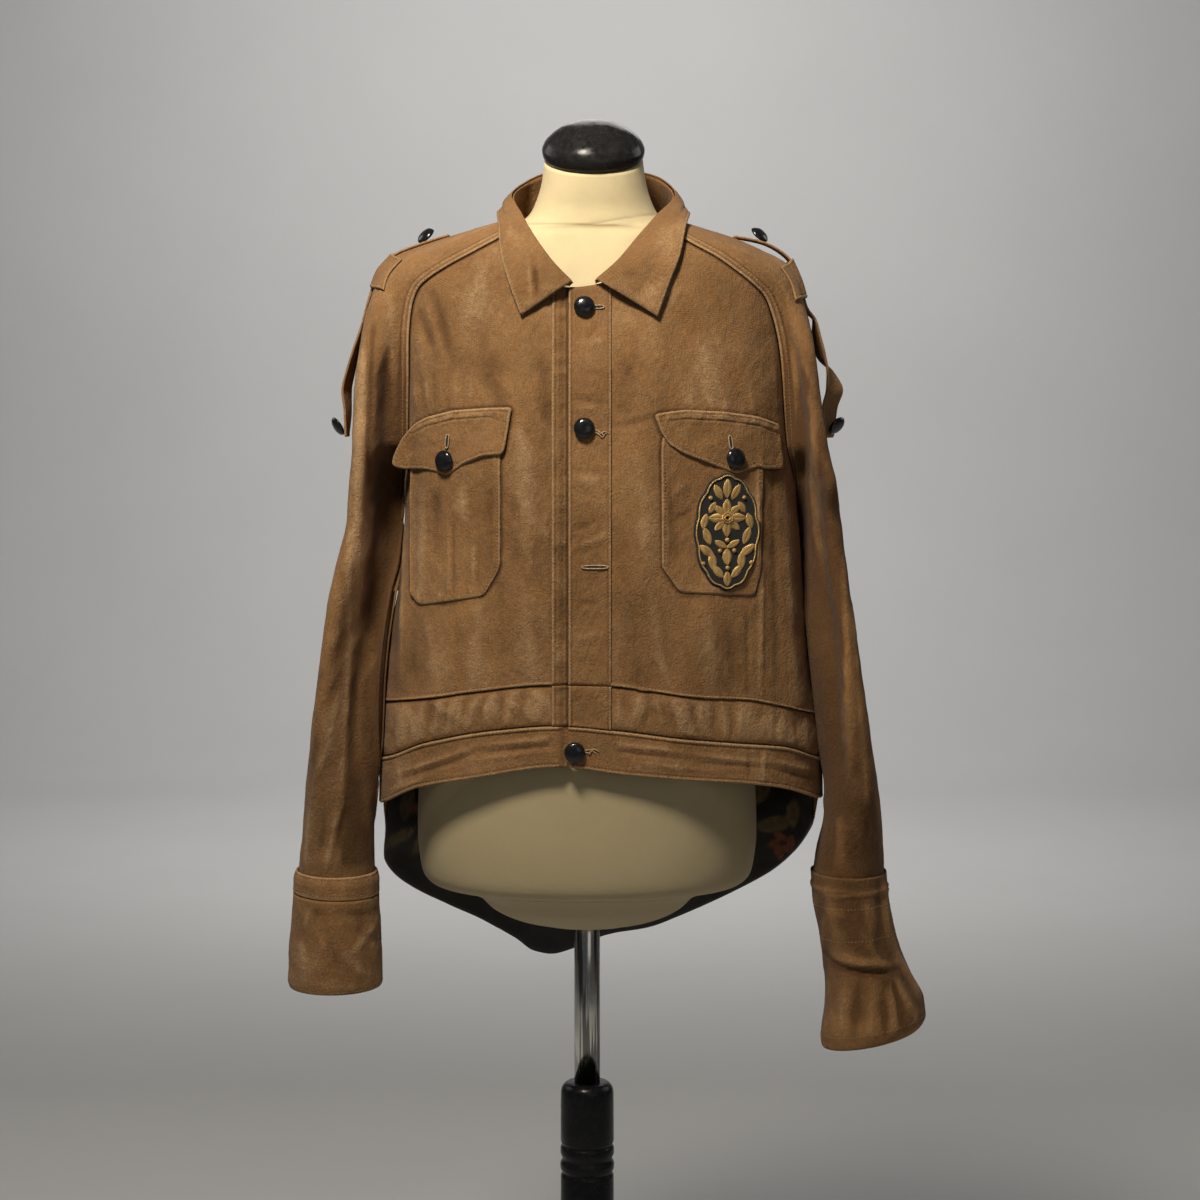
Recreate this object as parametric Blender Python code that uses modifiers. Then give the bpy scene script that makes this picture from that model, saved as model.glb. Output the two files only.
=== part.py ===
"""Cropped work jacket on a limbless dress form with a pole and a round base.

Metres, +Z up. The origin is the middle of the underside of the base.
X runs to the right in a front view and the front of the jacket faces -Y.
Tables are in millimetres, and left and right are those of a front view.
"""

import math

import bmesh
import bpy
import numpy as np
from mathutils import Matrix, Vector

MM = 0.001

# Cloth, mm
WALL = 1.2
GAP = 0.3
SEAM = 0.6
LAYER = WALL + GAP
UNDERLAP = -2 * LAYER - 0.3
ROUNDNESS = 2.5

# Outline of the worn jacket in level sections, from the tail to the neck
TORSO = (
    # height, left half width, right half width, front depth, back depth
    (630, 208, 222, 128, 138),
    (716, 216, 226, 128, 137),
    (750, 219, 231, 128, 136),
    (790, 211, 235, 128, 136),
    (828, 208, 236, 128, 136),
    (872, 207, 235, 128, 134),
    (930, 205, 229, 128, 132),
    (1000, 197, 221, 127, 130),
    (1050, 187, 215, 126, 129),
    (1112, 180, 209, 124, 127),
    (1182, 181, 204, 119, 124),
    (1228, 183, 202, 113, 120),
    (1264, 188, 200, 106, 115),
    (1294, 195, 198, 98, 109),
    (1321, 198, 198, 91, 103),
    (1343, 200, 200, 85, 97),
    (1364, 199, 199, 78, 90),
    (1380, 172, 176, 70, 84),
    (1390, 142, 150, 63, 80),
    (1400, 112, 122, 56, 76),
    (1410, 84, 96, 48, 70),
    (1425, 50, 60, 40, 60),
)

# Large folds of the front and back panels, straight in a front view
FRONT_FOLDS = (
    # x and height of one end, x and height of the other, width, rise
    (-60, 1290, -52, 1040, 26, 5),
    (-108, 1350, -150, 1240, 22, 4),
    (-120, 1010, -140, 945, 20, 5),
    (62, 1280, 50, 1060, 24, 5),
    (112, 1330, 168, 1240, 24, 4),
    (110, 1020, 96, 950, 20, 5),
    (196, 1120, 214, 940, 18, 5),
)
BACK_FOLDS = (
    (-100, 1340, -40, 1180, 34, 6),
    (110, 1340, 50, 1180, 34, 6),
    (-130, 1080, -110, 700, 30, 9),
    (-40, 1060, -46, 640, 28, 8),
    (45, 1080, 30, 660, 28, 8),
    (140, 1080, 125, 700, 30, 9),
)

# Head of each sleeve, from the neck to the underarm
HEAD_LEFT = (
    # front seam x, z; back seam x, z; over-arm x, y, z; bulge front, back; fullness; pinch
    (-72, 1388, -70, 1406, -80, 2, 1404, 0, 0, 0.0, 0.0),
    (-92, 1377, -92, 1398, -108, 2, 1396, 0, 0, 0.0, 0.0),
    (-112, 1366, -112, 1388, -135, 2, 1388, 6, 6, 0.02, 0.0),
    (-131, 1356, -131, 1375, -162, 2, 1379, 12, 12, 0.08, 0.2),
    (-148, 1346, -147, 1357, -190, 2, 1368, 20, 20, 0.25, 0.4),
    (-161, 1335, -160, 1333, -205, 2, 1351, 28, 28, 0.45, 0.6),
    (-168, 1317, -169, 1306, -213, 2, 1329, 36, 36, 0.65, 0.8),
    (-171, 1290, -173, 1275, -221, 1, 1296, 44, 44, 0.85, 0.9),
    (-172, 1256, -174, 1240, -227, 0, 1255, 48, 48, 1.0, 0.9),
    (-173, 1221, -175, 1207, -230, 0, 1216, 52, 52, 1.0, 0.9),
    (-174, 1186, -177, 1177, -231, 0, 1181, 58, 55, 1.0, 0.9),
    (-181, 1150, -181, 1150, -233, -1, 1146, 66, 61, 1.0, 0.9),
)
HEAD_RIGHT = (
    (84, 1387, 82, 1405, 92, 2, 1403, 0, 0, 0.0, 0.0),
    (104, 1375, 104, 1396, 118, 2, 1395, 0, 0, 0.0, 0.0),
    (124, 1364, 123, 1386, 144, 2, 1387, 6, 6, 0.02, 0.0),
    (143, 1351, 142, 1373, 172, 2, 1375, 12, 12, 0.08, 0.2),
    (160, 1338, 158, 1356, 198, 2, 1361, 20, 20, 0.25, 0.4),
    (172, 1326, 171, 1333, 209, 2, 1343, 28, 28, 0.45, 0.6),
    (180, 1307, 180, 1305, 216, 2, 1318, 36, 36, 0.65, 0.8),
    (186, 1283, 186, 1274, 222, 1, 1287, 44, 44, 0.85, 0.9),
    (190, 1252, 190, 1240, 226, 0, 1252, 48, 48, 1.0, 0.9),
    (192, 1220, 193, 1207, 230, 0, 1216, 52, 52, 1.0, 0.9),
    (195, 1186, 198, 1177, 236, 0, 1181, 58, 55, 1.0, 0.9),
    (204.5, 1150, 204.5, 1150, 243, -1, 1146, 66, 61, 1.0, 0.9),
)

# Hanging tube of each sleeve, from below the underarm to the cuff seam
ARM_LEFT = (
    # inner x, z; outer x, z; middle y; half depth; pinch; forward lead of the inner line
    (-182.5, 1108, -236, 1110, -7, 76, 1.2, -4),
    (-187.0, 1062, -248, 1062, -13, 78, 0.9, -9),
    (-193.0, 1020, -256, 1021, -20, 77, 1.5, -24),
    (-198.5, 975, -262, 977, -27, 75, 1.4, -27),
    (-201.5, 928, -269, 930, -31, 71, 1.0, -26),
    (-204.5, 868, -276, 870, -31, 62, 0.6, -17),
    (-211, 808, -282, 810, -28, 52, 0.2, -8),
    (-212, 756, -288, 758, -24, 46, 0.0, 0),
)
ARM_RIGHT = (
    (211.5, 1105, 250, 1107, -6, 70, 0.3, 0),
    (216.3, 1050, 257, 1053, -14, 70, 0.3, -7),
    (220.5, 990, 266, 993, -24, 70, 0.4, -24),
    (227.5, 930, 274, 932, -32, 68, 0.2, -14),
    (232.5, 872, 284, 873, -36, 61, 0.2, -9),
    (235, 832, 290, 833, -36, 53, 0.2, -10),
    (229, 790, 294, 790, -32, 49, 0.1, -4),
    (225, 757, 296, 757, -30, 46, 0.0, 0),
)
# Lengthwise folds of the hanging sleeves
ARM_FOLDS = (
    # turn round the arm, half turns from the over-arm line; upper and lower share; width; rise
    (-0.30, 0.40, 0.82, 0.09, 4.5),
    (-0.66, 0.42, 0.78, 0.10, -7.0),
    (0.45, 0.40, 0.80, 0.12, -2.5),
    (-0.05, 0.60, 0.80, 0.07, -3.5),
)

# Cuffs as stacked rings
CUFF_BAND_LEFT = (
    # middle x, y, z; half width; half depth; slope across
    (-250, -24, 761, 39.9, 47.9, -0.02),
    (-250.3, -24, 750, 42.6, 50.6, -0.03),
    (-250.6, -24, 738, 42.6, 50.4, -0.04),
)
CUFF_LEFT = (
    (-250.6, -24, 737.4, 42.6, 50.4, -0.04),
    (-251, -24, 705, 45, 51, -0.03),
    (-252, -24, 672, 46.5, 51, -0.01),
    (-252, -24, 648, 47, 50.5, 0.0),
    (-252, -24, 644, 45.5, 49, 0.0),
    (-252, -24, 650, 43.5, 47, 0.0),
    (-252, -24, 676, 43, 47, 0.0),
)
CUFF_RIGHT = (
    (260.5, -30, 761, 37.6, 48.3, 0.0),
    (262, -30, 738, 37.4, 48, 0.04),
    (267, -31, 710, 37.5, 47, 0.08),
    (273, -32, 680, 39, 46, 0.12),
    (281, -33, 650, 43, 46, 0.16),
    (286, -34, 624, 50, 47, 0.2),
    (286, -35, 606, 52.5, 48, 0.22),
    (283, -35, 594, 47, 44, 0.22),
    (281, -35, 599, 39, 37, 0.2),
    (280, -34, 614, 34, 32, 0.16),
)

# Level of each cross seam of the front, by x
WAIST_SEAM = (
    # x, height
    (-205, 931), (-170, 938), (-102, 950), (-34, 957), (23, 956), (61, 951),
    (115, 944), (154, 941), (190, 932), (232, 917),
)
BAND_SEAM = (
    (-205, 875), (-189, 882), (-155, 898), (-87, 913), (-28, 918), (32, 913),
    (91, 905), (146, 899), (190, 893), (236, 873),
)
HEM = (
    (-208, 827), (-163, 853), (-117, 864), (-24, 878), (32, 871), (91, 865),
    (146, 860), (190, 852), (236, 832),
)
# Lower edge of the long back, by share of the half width
TAIL = (
    # share, height
    (-1.0, 828), (-0.985, 795), (-0.96, 755), (-0.88, 726), (-0.70, 697), (-0.52, 674),
    (-0.37, 655), (-0.28, 640), (-0.19, 636), (-0.06, 644), (0.06, 655), (0.284, 666),
    (0.43, 679), (0.57, 693), (0.73, 716), (0.84, 736), (0.93, 763), (0.985, 797), (1.0, 831),
)

# Front opening
FRONT_EDGE = -17
UNDERLAP_EDGE = 17
STEP_OUT = -27
STEP_IN = -19.5
PLACKET_INNER = 24
UNDER_STITCH = -33

# Collar, from the left front round the back to the right front
COLLAR = (
    # neck seam x, y, z; fold x, y, z; edge x, y, z
    (-16, -89, 1335.0, -13, -93, 1338, -62, -101, 1307),
    (-45, -86, 1342.8, -31, -86, 1357, -74, -91, 1340),
    (-64, -75, 1370.8, -51, -66, 1386, -81, -80, 1367),
    (-72, -56, 1389.2, -63, -40, 1408, -84, -58, 1395),
    (-80, 2, 1405.0, -73, 4, 1428, -88, 8, 1412),
    (-70, 56, 1407.2, -58, 47, 1446, -80, 68, 1406),
    (-32, 67, 1411.0, -26, 58, 1458, -36, 83, 1405),
    (6, 70, 1412.0, 6, 61, 1461, 6, 87, 1404),
    (44, 67, 1411.0, 38, 58, 1458, 48, 83, 1405),
    (82, 56, 1406.2, 73, 47, 1448, 92, 68, 1405),
    (92, 2, 1404.0, 86, 5, 1429, 101, 8, 1411),
    (84, -56, 1388.2, 67, -40, 1405, 95, -58, 1395),
    (75, -69, 1378.0, 49, -66, 1383, 89, -81, 1366),
    (52, -80, 1358.0, 29, -86, 1358, 79, -91, 1338),
    (9, -87, 1337.6, 9, -93, 1340, 68, -101, 1306),
)

# Sewn-on pieces, outlines in a front view, each clockwise from its upper inner corner
POCKET_LEFT = (
    (-81, 1200), (-81, 1069), (-97, 1041), (-162, 1029), (-171, 1040), (-171, 1165), (-168, 1190),
)
FLAP_LEFT = ((-71, 1219), (-76, 1178), (-133, 1155), (-184, 1162), (-186, 1172), (-175, 1194))
POCKET_RIGHT = (
    (71, 1190), (83, 1206), (166, 1206), (169, 1160), (167, 1063), (161, 1040), (88, 1045), (71, 1069),
)
FLAP_RIGHT = (
    (63, 1214), (100, 1219), (146, 1216), (185, 1203), (187, 1162), (146, 1157), (83, 1180), (69, 1192),
)
BADGE = (
    (132, 1158), (150, 1150), (164, 1125), (165, 1085), (152, 1055), (134, 1045),
    (115, 1054), (101, 1084), (101, 1124), (115, 1150),
)

# Buttons: x, height, layer they stand on
FRONT_BUTTONS = (
    # name, x, height, cloth layers below
    ("front_button_top", -2, 1315, 1),
    ("front_button_middle", -2, 1200, 1),
    ("waist_button", -11, 893, 0),
    ("pocket_button_left", -133, 1169, 2),
    ("pocket_button_right", 140, 1171, 2),
)
BUTTON_PROFILE = (
    # radius, height above the cloth
    (0.0, 7.4), (5.0, 6.9), (8.6, 5.2), (10.0, 3.2), (9.0, 2.0), (3.0, 1.7), (3.0, 0.3), (0.0, 0.3),
)

# Shoulder straps: places of the hanging end, below the part that lies on the shoulder
STRAP_LEFT = (
    # x, y, z, turn of its width from front-to-back towards across
    (-222, -2, 1303, 0), (-229, -3, 1279, 6), (-235, -4, 1256, 12), (-239, -5, 1236, 14),
    (-238, -6, 1216, 8), (-239, -7, 1191, 0),
)
STRAP_RIGHT = (
    (226.5, 1, 1306, 0), (228.5, 0, 1289, 14), (233, -2, 1271, 14), (242, -4, 1255, -18),
    (246, -5, 1237, -46), (241.5, -6, 1219, -40), (241, -7, 1190, -24),
)
# Height of each strap over the shoulder, from its button to the foot of its loop
STRAP_LIFT_LEFT = (2.3, 3.0, 2.6, 2.3, 2.3)
STRAP_LIFT_RIGHT = (2.3, 8.5, 6.0, 2.6, 2.3)
# Direction that the shoulder buttons face, away from the neck and forward
SHOULDER_LEAN = (0.6, -0.42, 0.681)
STRAP_HALF = 13
STRAP_WALL = 2.0
LOOP_SHARE = 0.65
LOOP_WALL = 1.8
# Room under the loop's front end, where the sleeve bends most
LOOP_CLEAR = 0.9
STRAP_BUTTONS = (
    # name, x, y, z, direction the button faces
    ("strap_button_left_end", -243.8, -7, 1203, -0.78, -0.36, -0.5),
    ("strap_button_right_end", 245.2, -9.0, 1204, 0.62, -0.52, -0.58),
)

# Dress form in level rings, from its underside to the neck
FORM = (
    # middle x, middle y, height, half width, front depth, back depth, forward lean
    (0, 0, 742, 136, 96, 104, 0.0),
    (0, 0, 746, 154, 108, 116, 0.0),
    (0, 0, 757, 165, 114, 124, 0.0),
    (0, 0, 800, 170, 117, 128, 0.0),
    (0, 0, 860, 168, 116, 126, 0.0),
    (0, 0, 940, 150, 106, 110, 0.0),
    (0, 0, 1010, 137, 98, 98, 0.0),
    (0, 0, 1090, 146, 104, 100, 0.0),
    (0, 0, 1180, 160, 109, 106, 0.0),
    (1, 0, 1260, 166, 98, 104, 0.0),
    (2, 0, 1315, 171, 84, 96, 0.0),
    (3, 0, 1340, 171, 77, 89, 0.0),
    (3, 0, 1360, 167, 70, 82, 0.0),
    (4, 0, 1374.5, 157, 63, 74, 0.0),
    (4, 0, 1385.4, 138, 55, 66, 0.0),
    (5, 0, 1393.4, 111, 49, 58, 0.0),
    (6, 0, 1399.5, 80, 50, 52, 0.05),
    (7, -1, 1408, 65, 48, 50, 0.12),
    (7, -2, 1422, 57, 46, 49, 0.2),
    (7, -4, 1442, 51, 45, 47, 0.3),
    (7, -5, 1462, 48.5, 44, 46, 0.4),
)
FORM_ROUNDNESS = 2.3
COVER = (
    (0, 0, 741.6, 133, 93, 101, 0.0),
    (0, 0, 733, 110, 84, 90, 0.0),
    (0, 0, 720, 96, 74, 78, 0.0),
    (0, 0, 708, 72, 54, 58, 0.0),
    (0, 0, 700, 40, 30, 32, 0.0),
)
CAP_CENTRE = (6.5, -5, 1462)
CAP_LEAN = 22
CAP_PROFILE = (
    # radius, height over the neck
    (0.0, 39.0), (14.0, 37.8), (28.0, 33.5), (40.0, 26.0), (48.0, 17.5), (50.5, 11.0),
    (49.5, 5.0), (45.0, 0.6), (0.0, 0.6),
)
POLE_RADIUS = 13.0
POLE_TOP = 699.7
POLE_FOOT = 537.4
POST_PROFILE = (
    # radius, height
    (0.0, 537.0), (18.6, 537.0), (24.2, 534.0), (26.8, 527.0), (27.1, 477.0), (25.4, 473.0),
    (27.1, 470.0), (27.4, 464.5), (25.4, 458.5), (27.4, 453.0), (27.2, 448.0), (25.2, 444.0),
    (27.0, 440.0), (27.2, 90.0), (30.0, 60.0), (40.0, 36.0), (40.0, 26.3), (0.0, 26.3),
)
BASE_PROFILE = (
    (0.0, 26.0), (60.0, 25.0), (130.0, 20.0), (176.0, 13.0), (185.0, 8.0), (185.0, 0.0), (0.0, 0.0),
)

# Colours
DRILL = (0.19, 0.105, 0.048)
LINING = (0.035, 0.026, 0.016)
THREAD_GOLD = (0.36, 0.24, 0.08)
CREAM = (0.58, 0.52, 0.38)
BLACK = (0.012, 0.012, 0.013)
CHROME = (0.62, 0.62, 0.62)


# Curves and surfaces

def smooth(at, knots, values):
    """Cubic through the rows of a table that never runs past them."""
    knots = np.asarray(knots, float)
    values = np.asarray(values, float)
    at = np.clip(np.asarray(at, float), knots[0], knots[-1])
    step = np.diff(knots)
    rise = np.diff(values) / step
    slope = np.empty_like(values)
    slope[0] = rise[0]
    slope[-1] = rise[-1]
    before, after = rise[:-1], rise[1:]
    same = before * after > 0
    total = np.where(same, before + after, 1.0)
    slope[1:-1] = np.where(same, 2 * before * after / total, 0.0)
    cell = np.clip(np.searchsorted(knots, at, side="right") - 1, 0, len(knots) - 2)
    share = (at - knots[cell]) / step[cell]
    start, end = values[cell], values[cell + 1]
    bend = step[cell] * share * (1 - share)
    ease = share * share * (3 - 2 * share)
    return start + (end - start) * ease + bend * (slope[cell] * (1 - share) - slope[cell + 1] * share)


def table_curve(rows, at):
    """Values of every column of a table at row positions, as one array per place."""
    rows = np.asarray(rows, float)
    places = np.arange(len(rows))
    columns = [smooth(at, places, rows[:, column]) for column in range(rows.shape[1])]
    return np.stack(columns, axis=-1)


def seam_height(table, x):
    return smooth(x, [row[0] for row in table], [row[1] for row in table])


def torso_sizes(x, z):
    heights = [row[0] for row in TORSO]
    left = smooth(z, heights, [row[1] for row in TORSO])
    right = smooth(z, heights, [row[2] for row in TORSO])
    front = smooth(z, heights, [row[3] for row in TORSO])
    back = smooth(z, heights, [row[4] for row in TORSO])
    return np.where(np.asarray(x) < 0, left, right), front, back


def fold_rise(x, z, folds):
    """Height of the folds over the plain cloth, in a front view."""
    rise = np.zeros(np.broadcast(x, z).shape)
    for x_top, z_top, x_low, z_low, width, height in folds:
        along = np.array([x_low - x_top, z_low - z_top], float)
        length = float(np.hypot(*along))
        along /= length
        reach = (x - x_top) * along[0] + (z - z_top) * along[1]
        off = (x - x_top) * -along[1] + (z - z_top) * along[0]
        past = np.maximum(np.maximum(-reach, reach - length), 0) / (1.5 * width)
        rise = rise + height * np.exp(-(off / width) ** 2 - past ** 2)
    return rise


def torso(x, z, back=False):
    """Points of the worn front or back over places in a front view."""
    x = np.asarray(x, float)
    z = np.asarray(z, float)
    half, front_depth, back_depth = torso_sizes(x, z)
    depth = back_depth if back else front_depth
    share = np.clip(np.abs(x) / half, 0, 1)
    y = depth * (1 - share ** ROUNDNESS) ** (1 / ROUNDNESS)
    fade = np.clip((1 - share) * 8, 0, 1)
    y = y + fade * fold_rise(x, z, BACK_FOLDS if back else FRONT_FOLDS)
    y = y + SEAM / 2
    return np.stack([x, y if back else -y, z], axis=-1)


def normals(points, closed=False):
    """Unit normals of a grid of points, rows by columns."""
    down = np.gradient(points, axis=0)
    if closed:
        across = np.roll(points, -1, axis=1) - np.roll(points, 1, axis=1)
    else:
        across = np.gradient(points, axis=1)
    normal = np.cross(across, down)
    length = np.linalg.norm(normal, axis=-1, keepdims=True)
    return normal / np.maximum(length, 1e-9)


# Grids of the jacket panels

def front_panel(side, rows_head=12, rows_body=6, columns=12):
    """Front panel from the opening to the sleeve and side seams, neck to waist seam."""
    head = HEAD_LEFT if side < 0 else HEAD_RIGHT
    start = STEP_OUT if side < 0 else FRONT_EDGE
    seam_rows = table_curve(head, np.linspace(0, len(head) - 1, rows_head))
    turn = np.sin(np.linspace(0, math.pi / 2, columns))
    grid = []
    for row in range(rows_head + rows_body - 1):
        share = min(row / (rows_head - 1), 1.0)
        if row < rows_head:
            seam_x, seam_z = seam_rows[row, 0], seam_rows[row, 1]
            middle_z = 1334 + (1146 - 1334) * share
        else:
            drop = (row - rows_head + 1) / (rows_body - 1)
            foot_x = side * float(torso_sizes(side, 936)[0])
            seam_z = 1150 + (float(seam_height(WAIST_SEAM, foot_x)) + GAP - 1150) * drop
            middle_z = 1146 + (float(seam_height(WAIST_SEAM, start)) + GAP - 1146) * drop
            seam_x = side * float(torso_sizes(side, seam_z)[0])
        x = start + (seam_x - start) * turn
        lean = 1 + 1.2 * (1 - share) ** 2
        z = middle_z + (seam_z - middle_z) * turn ** lean
        if row >= rows_head:
            waist = seam_height(WAIST_SEAM, x) + GAP
            z = z + (waist - (middle_z + (seam_z - middle_z) * turn)) * drop ** 3
        line = torso(x, z)
        grid.append(line)
    return np.array(grid)


def under_edge(grid, depth=UNDERLAP):
    """Front edge columns that step in and run under the other front."""
    extra = []
    for row in grid:
        z = row[0, 2]
        edge = []
        for x in (UNDERLAP_EDGE, STEP_IN):
            point = torso(x, z)
            point[1] -= depth
            edge.append(point)
        extra.append(edge)
    return np.concatenate([np.array(extra), grid], axis=1)


def back_panel(rows_head=12, rows_body=9, columns=21):
    """One back from the neck to the curved tail."""
    left = table_curve(HEAD_LEFT, np.linspace(0, len(HEAD_LEFT) - 1, rows_head))
    right = table_curve(HEAD_RIGHT, np.linspace(0, len(HEAD_RIGHT) - 1, rows_head))
    share = np.sin(np.linspace(-math.pi / 2, math.pi / 2, columns))
    grid = []
    for row in range(rows_head + rows_body - 1):
        if row < rows_head:
            x_left, z_left = -left[row, 2], left[row, 3]
            x_right, z_right = right[row, 2], right[row, 3]
            x = np.where(share < 0, x_left * share, x_right * share)
            z = z_left + (z_right - z_left) * (share + 1) / 2
            z = z + 5 * (1 - share ** 2) * (1 - row / (rows_head - 1))
        else:
            drop = (row - rows_head + 1) / (rows_body - 1)
            z = 1150 + (seam_height(TAIL, share) - 1150) * drop
            x = share * torso_sizes(share, z)[0]
        grid.append(torso(x, z, back=True))
    return np.array(grid)


def strip_panel(side, top, foot, rows=3, columns=12, ripples=0.0):
    """Level strip between two cross seams of one front."""
    start = STEP_OUT if side < 0 else FRONT_EDGE
    turn = np.sin(np.linspace(0, math.pi / 2, columns))
    grid = []
    for row in range(rows):
        drop = row / (rows - 1)
        end = side * float(torso_sizes(side, 936 - 110 * drop)[0])
        z = np.full(columns, 936.0)
        for _ in range(3):
            end = side * float(torso_sizes(side, z[-1])[0])
            x = start + (end - start) * turn
            high = seam_height(top, x) - GAP
            low = seam_height(foot, x) + GAP
            z = high + (low - high) * drop
        line = torso(x, z)
        wave = ripples * math.sin(math.pi * drop) * (1 + np.arange(columns) % 2)
        wave[-1] = 0
        line[:, 1] -= wave
        grid.append(line)
    return np.array(grid)


def sleeve_ring(row, turns):
    """One section of a sleeve: turns run from the front seam over the arm to the back."""
    front_x, front_z, back_x, back_z, over_x, over_y, over_z, bulge_f, bulge_b, full, pinch = row
    front = torso(front_x, front_z)
    back = torso(back_x, back_z, back=True)
    over = np.array([over_x, over_y, over_z])
    ring = []
    for turn in turns:
        seam = front if turn < 0 else back
        bulge = bulge_f if turn < 0 else -bulge_b
        out = seam_gap(seam, over)
        seam = seam + out
        angle = abs(turn) * math.pi
        wide = math.cos(angle / 2)
        deep = math.sin(angle / 2)
        quarter = np.array([
            seam[0] + (over[0] - seam[0]) * wide,
            over[1] + (seam[1] - over[1]) * deep,
            seam[2] + (over[2] - seam[2]) * wide,
        ])
        half = over * wide ** 2 + seam * deep ** 2
        half[1] -= bulge * (math.sin(angle) + pinch / 2 * math.sin(2 * angle))
        ring.append(quarter * (1 - full) + half * full)
    return np.array(ring)


def seam_gap(seam, over):
    away = over - seam
    return away / np.linalg.norm(away) * SEAM


def arm_ring(values, turns):
    """One section of the hanging tube, closed at its inner line but for the seam."""
    inner_x, inner_z, outer_x, outer_z, middle_y, half_depth, pinch, lead = values
    side = math.copysign(1, outer_x)
    peak = pinch / (1 + pinch)
    most = math.sqrt(1 - peak * peak) * (1 + peak) ** pinch
    ring = []
    for turn in turns:
        angle = abs(turn) * math.pi
        front = -1 if turn < 0 else 1
        wide = math.cos(angle / 2) ** 2
        deep = math.sin(angle) * max(1 + math.cos(angle), 0.0) ** pinch / most
        y = middle_y + front * half_depth * deep + lead * (1 - wide) ** 4
        x = inner_x + (outer_x - inner_x) * wide
        z = inner_z + (outer_z - inner_z) * wide
        if abs(turn) == 1:
            y += front * SEAM / 2
            x += side * 0.1
        ring.append((x, y, z))
    return np.array(ring)


def arm_fold_rise(turn, share):
    rise = 0.0
    for centre, top, foot, width, height in ARM_FOLDS:
        off = (turn - centre) / width
        past = max(top - share, share - foot, 0) / 0.07
        rise += height * math.exp(-off * off - past * past)
    return rise


def sleeve(side, rows_head=12, rows_arm=9, columns=19):
    """Whole raglan sleeve as rows from the neck to the cuff seam."""
    head = HEAD_LEFT if side < 0 else HEAD_RIGHT
    arm = ARM_LEFT if side < 0 else ARM_RIGHT
    turns = np.linspace(-1, 1, columns)
    grid = []
    for values in table_curve(head, np.linspace(0, len(head) - 1, rows_head)):
        grid.append(sleeve_ring(values, turns))
    for values in table_curve(arm, np.linspace(0, len(arm) - 1, rows_arm)):
        grid.append(arm_ring(values, turns))
    grid = np.array(grid)
    out = normals(grid)
    middle = grid.mean(axis=1, keepdims=True)
    if np.sum(out * (grid - middle)) < 0:
        out = -out
    count = len(grid)
    for row in range(count):
        for column, turn in enumerate(turns):
            edge = 1 - abs(turn) ** 8
            grid[row, column] += out[row, column] * arm_fold_rise(turn, row / (count - 1)) * edge
    return grid


def ring_stack(rows, columns, places=None):
    """Closed rings from rows of middle, half width, half depth and slope."""
    places = np.arange(len(rows)) if places is None else places
    grid = []
    for x, y, z, half, deep, slope in table_curve(rows, places):
        angle = np.linspace(0, 2 * math.pi, columns, endpoint=False)
        grid.append(np.stack([
            x + half * np.cos(angle), y + deep * np.sin(angle), z + slope * half * np.cos(angle),
        ], axis=-1))
    return np.array(grid)


def form_rings(rows, columns, places=None):
    places = np.arange(len(rows)) if places is None else places
    grid = []
    for x, y, z, half, front, back, lean in table_curve(rows, places):
        angle = np.linspace(0, 2 * math.pi, columns, endpoint=False)
        cosine, sine = np.cos(angle), np.sin(angle)
        off_x = half * np.sign(cosine) * np.abs(cosine) ** (2 / FORM_ROUNDNESS)
        deep = np.where(sine > 0, back, front)
        off_y = deep * np.sign(sine) * np.abs(sine) ** (2 / FORM_ROUNDNESS)
        grid.append(np.stack([x + off_x, y + off_y, z + lean * off_y], axis=-1))
    return np.array(grid)


def collar_rows(columns):
    rows = table_curve(COLLAR, np.linspace(0, len(COLLAR) - 1, columns))
    return rows[:, 0:3], rows[:, 3:6], rows[:, 6:9]


def collar_stand(columns=21):
    neck, fold, _ = collar_rows(columns)
    middle = (neck + fold) / 2
    return np.array([neck, middle, fold])


def collar_leaf(columns=21, rows=5):
    """Turned-down leaf, from just outside the fold to its free edge."""
    _, fold, edge = collar_rows(columns)
    centre = np.array([6.0, 5.0, 0.0])
    out = fold - centre
    out[:, 2] = 0
    out /= np.linalg.norm(out, axis=1, keepdims=True)
    grid = []
    for share in np.linspace(0, 1, rows):
        roll = math.sin(math.pi * min(share * 1.6, 1)) * 2.5
        line = fold + (edge - fold) * share + out * (1.6 + roll)
        line[:, 2] += 2.0 * (1 - share)
        grid.append(line)
    return np.array(grid)


# Objects

def material(name, colour, roughness, metallic=0.0):
    made = bpy.data.materials.new(name)
    made.use_nodes = True
    shader = made.node_tree.nodes["Principled BSDF"]
    shader.inputs["Base Color"].default_value = (*colour, 1.0)
    shader.inputs["Roughness"].default_value = roughness
    shader.inputs["Metallic"].default_value = metallic
    return made


def add_object(name, mesh, finish):
    mesh.materials.append(material(name + "_finish", *finish))
    made = bpy.data.objects.new(name, mesh)
    bpy.data.collections["work_jacket"].objects.link(made)
    return made


def grid_triangles(rows, columns, closed):
    """Two triangles for each cell, all cut along the same diagonal."""
    faces = []
    for row in range(rows - 1):
        for column in range(columns if closed else columns - 1):
            after = (column + 1) % columns
            a, b = row * columns + column, row * columns + after
            c, d = a + columns, b + columns
            faces.append((a, c, d))
            faces.append((a, d, b))
    return faces


def sheet_mesh(name, grid, closed=False, inside=(0.0, 0.0)):
    """Open surface over a grid, facing away from an upright line inside the garment."""
    rows, columns = grid.shape[:2]
    shell = bmesh.new()
    points = [shell.verts.new(Vector(point) * MM) for point in grid.reshape(-1, 3)]
    for face in grid_triangles(rows, columns, closed):
        shell.faces.new([points[index] for index in face])
    shell.normal_update()
    face_out(shell, inside)
    return shell


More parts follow.
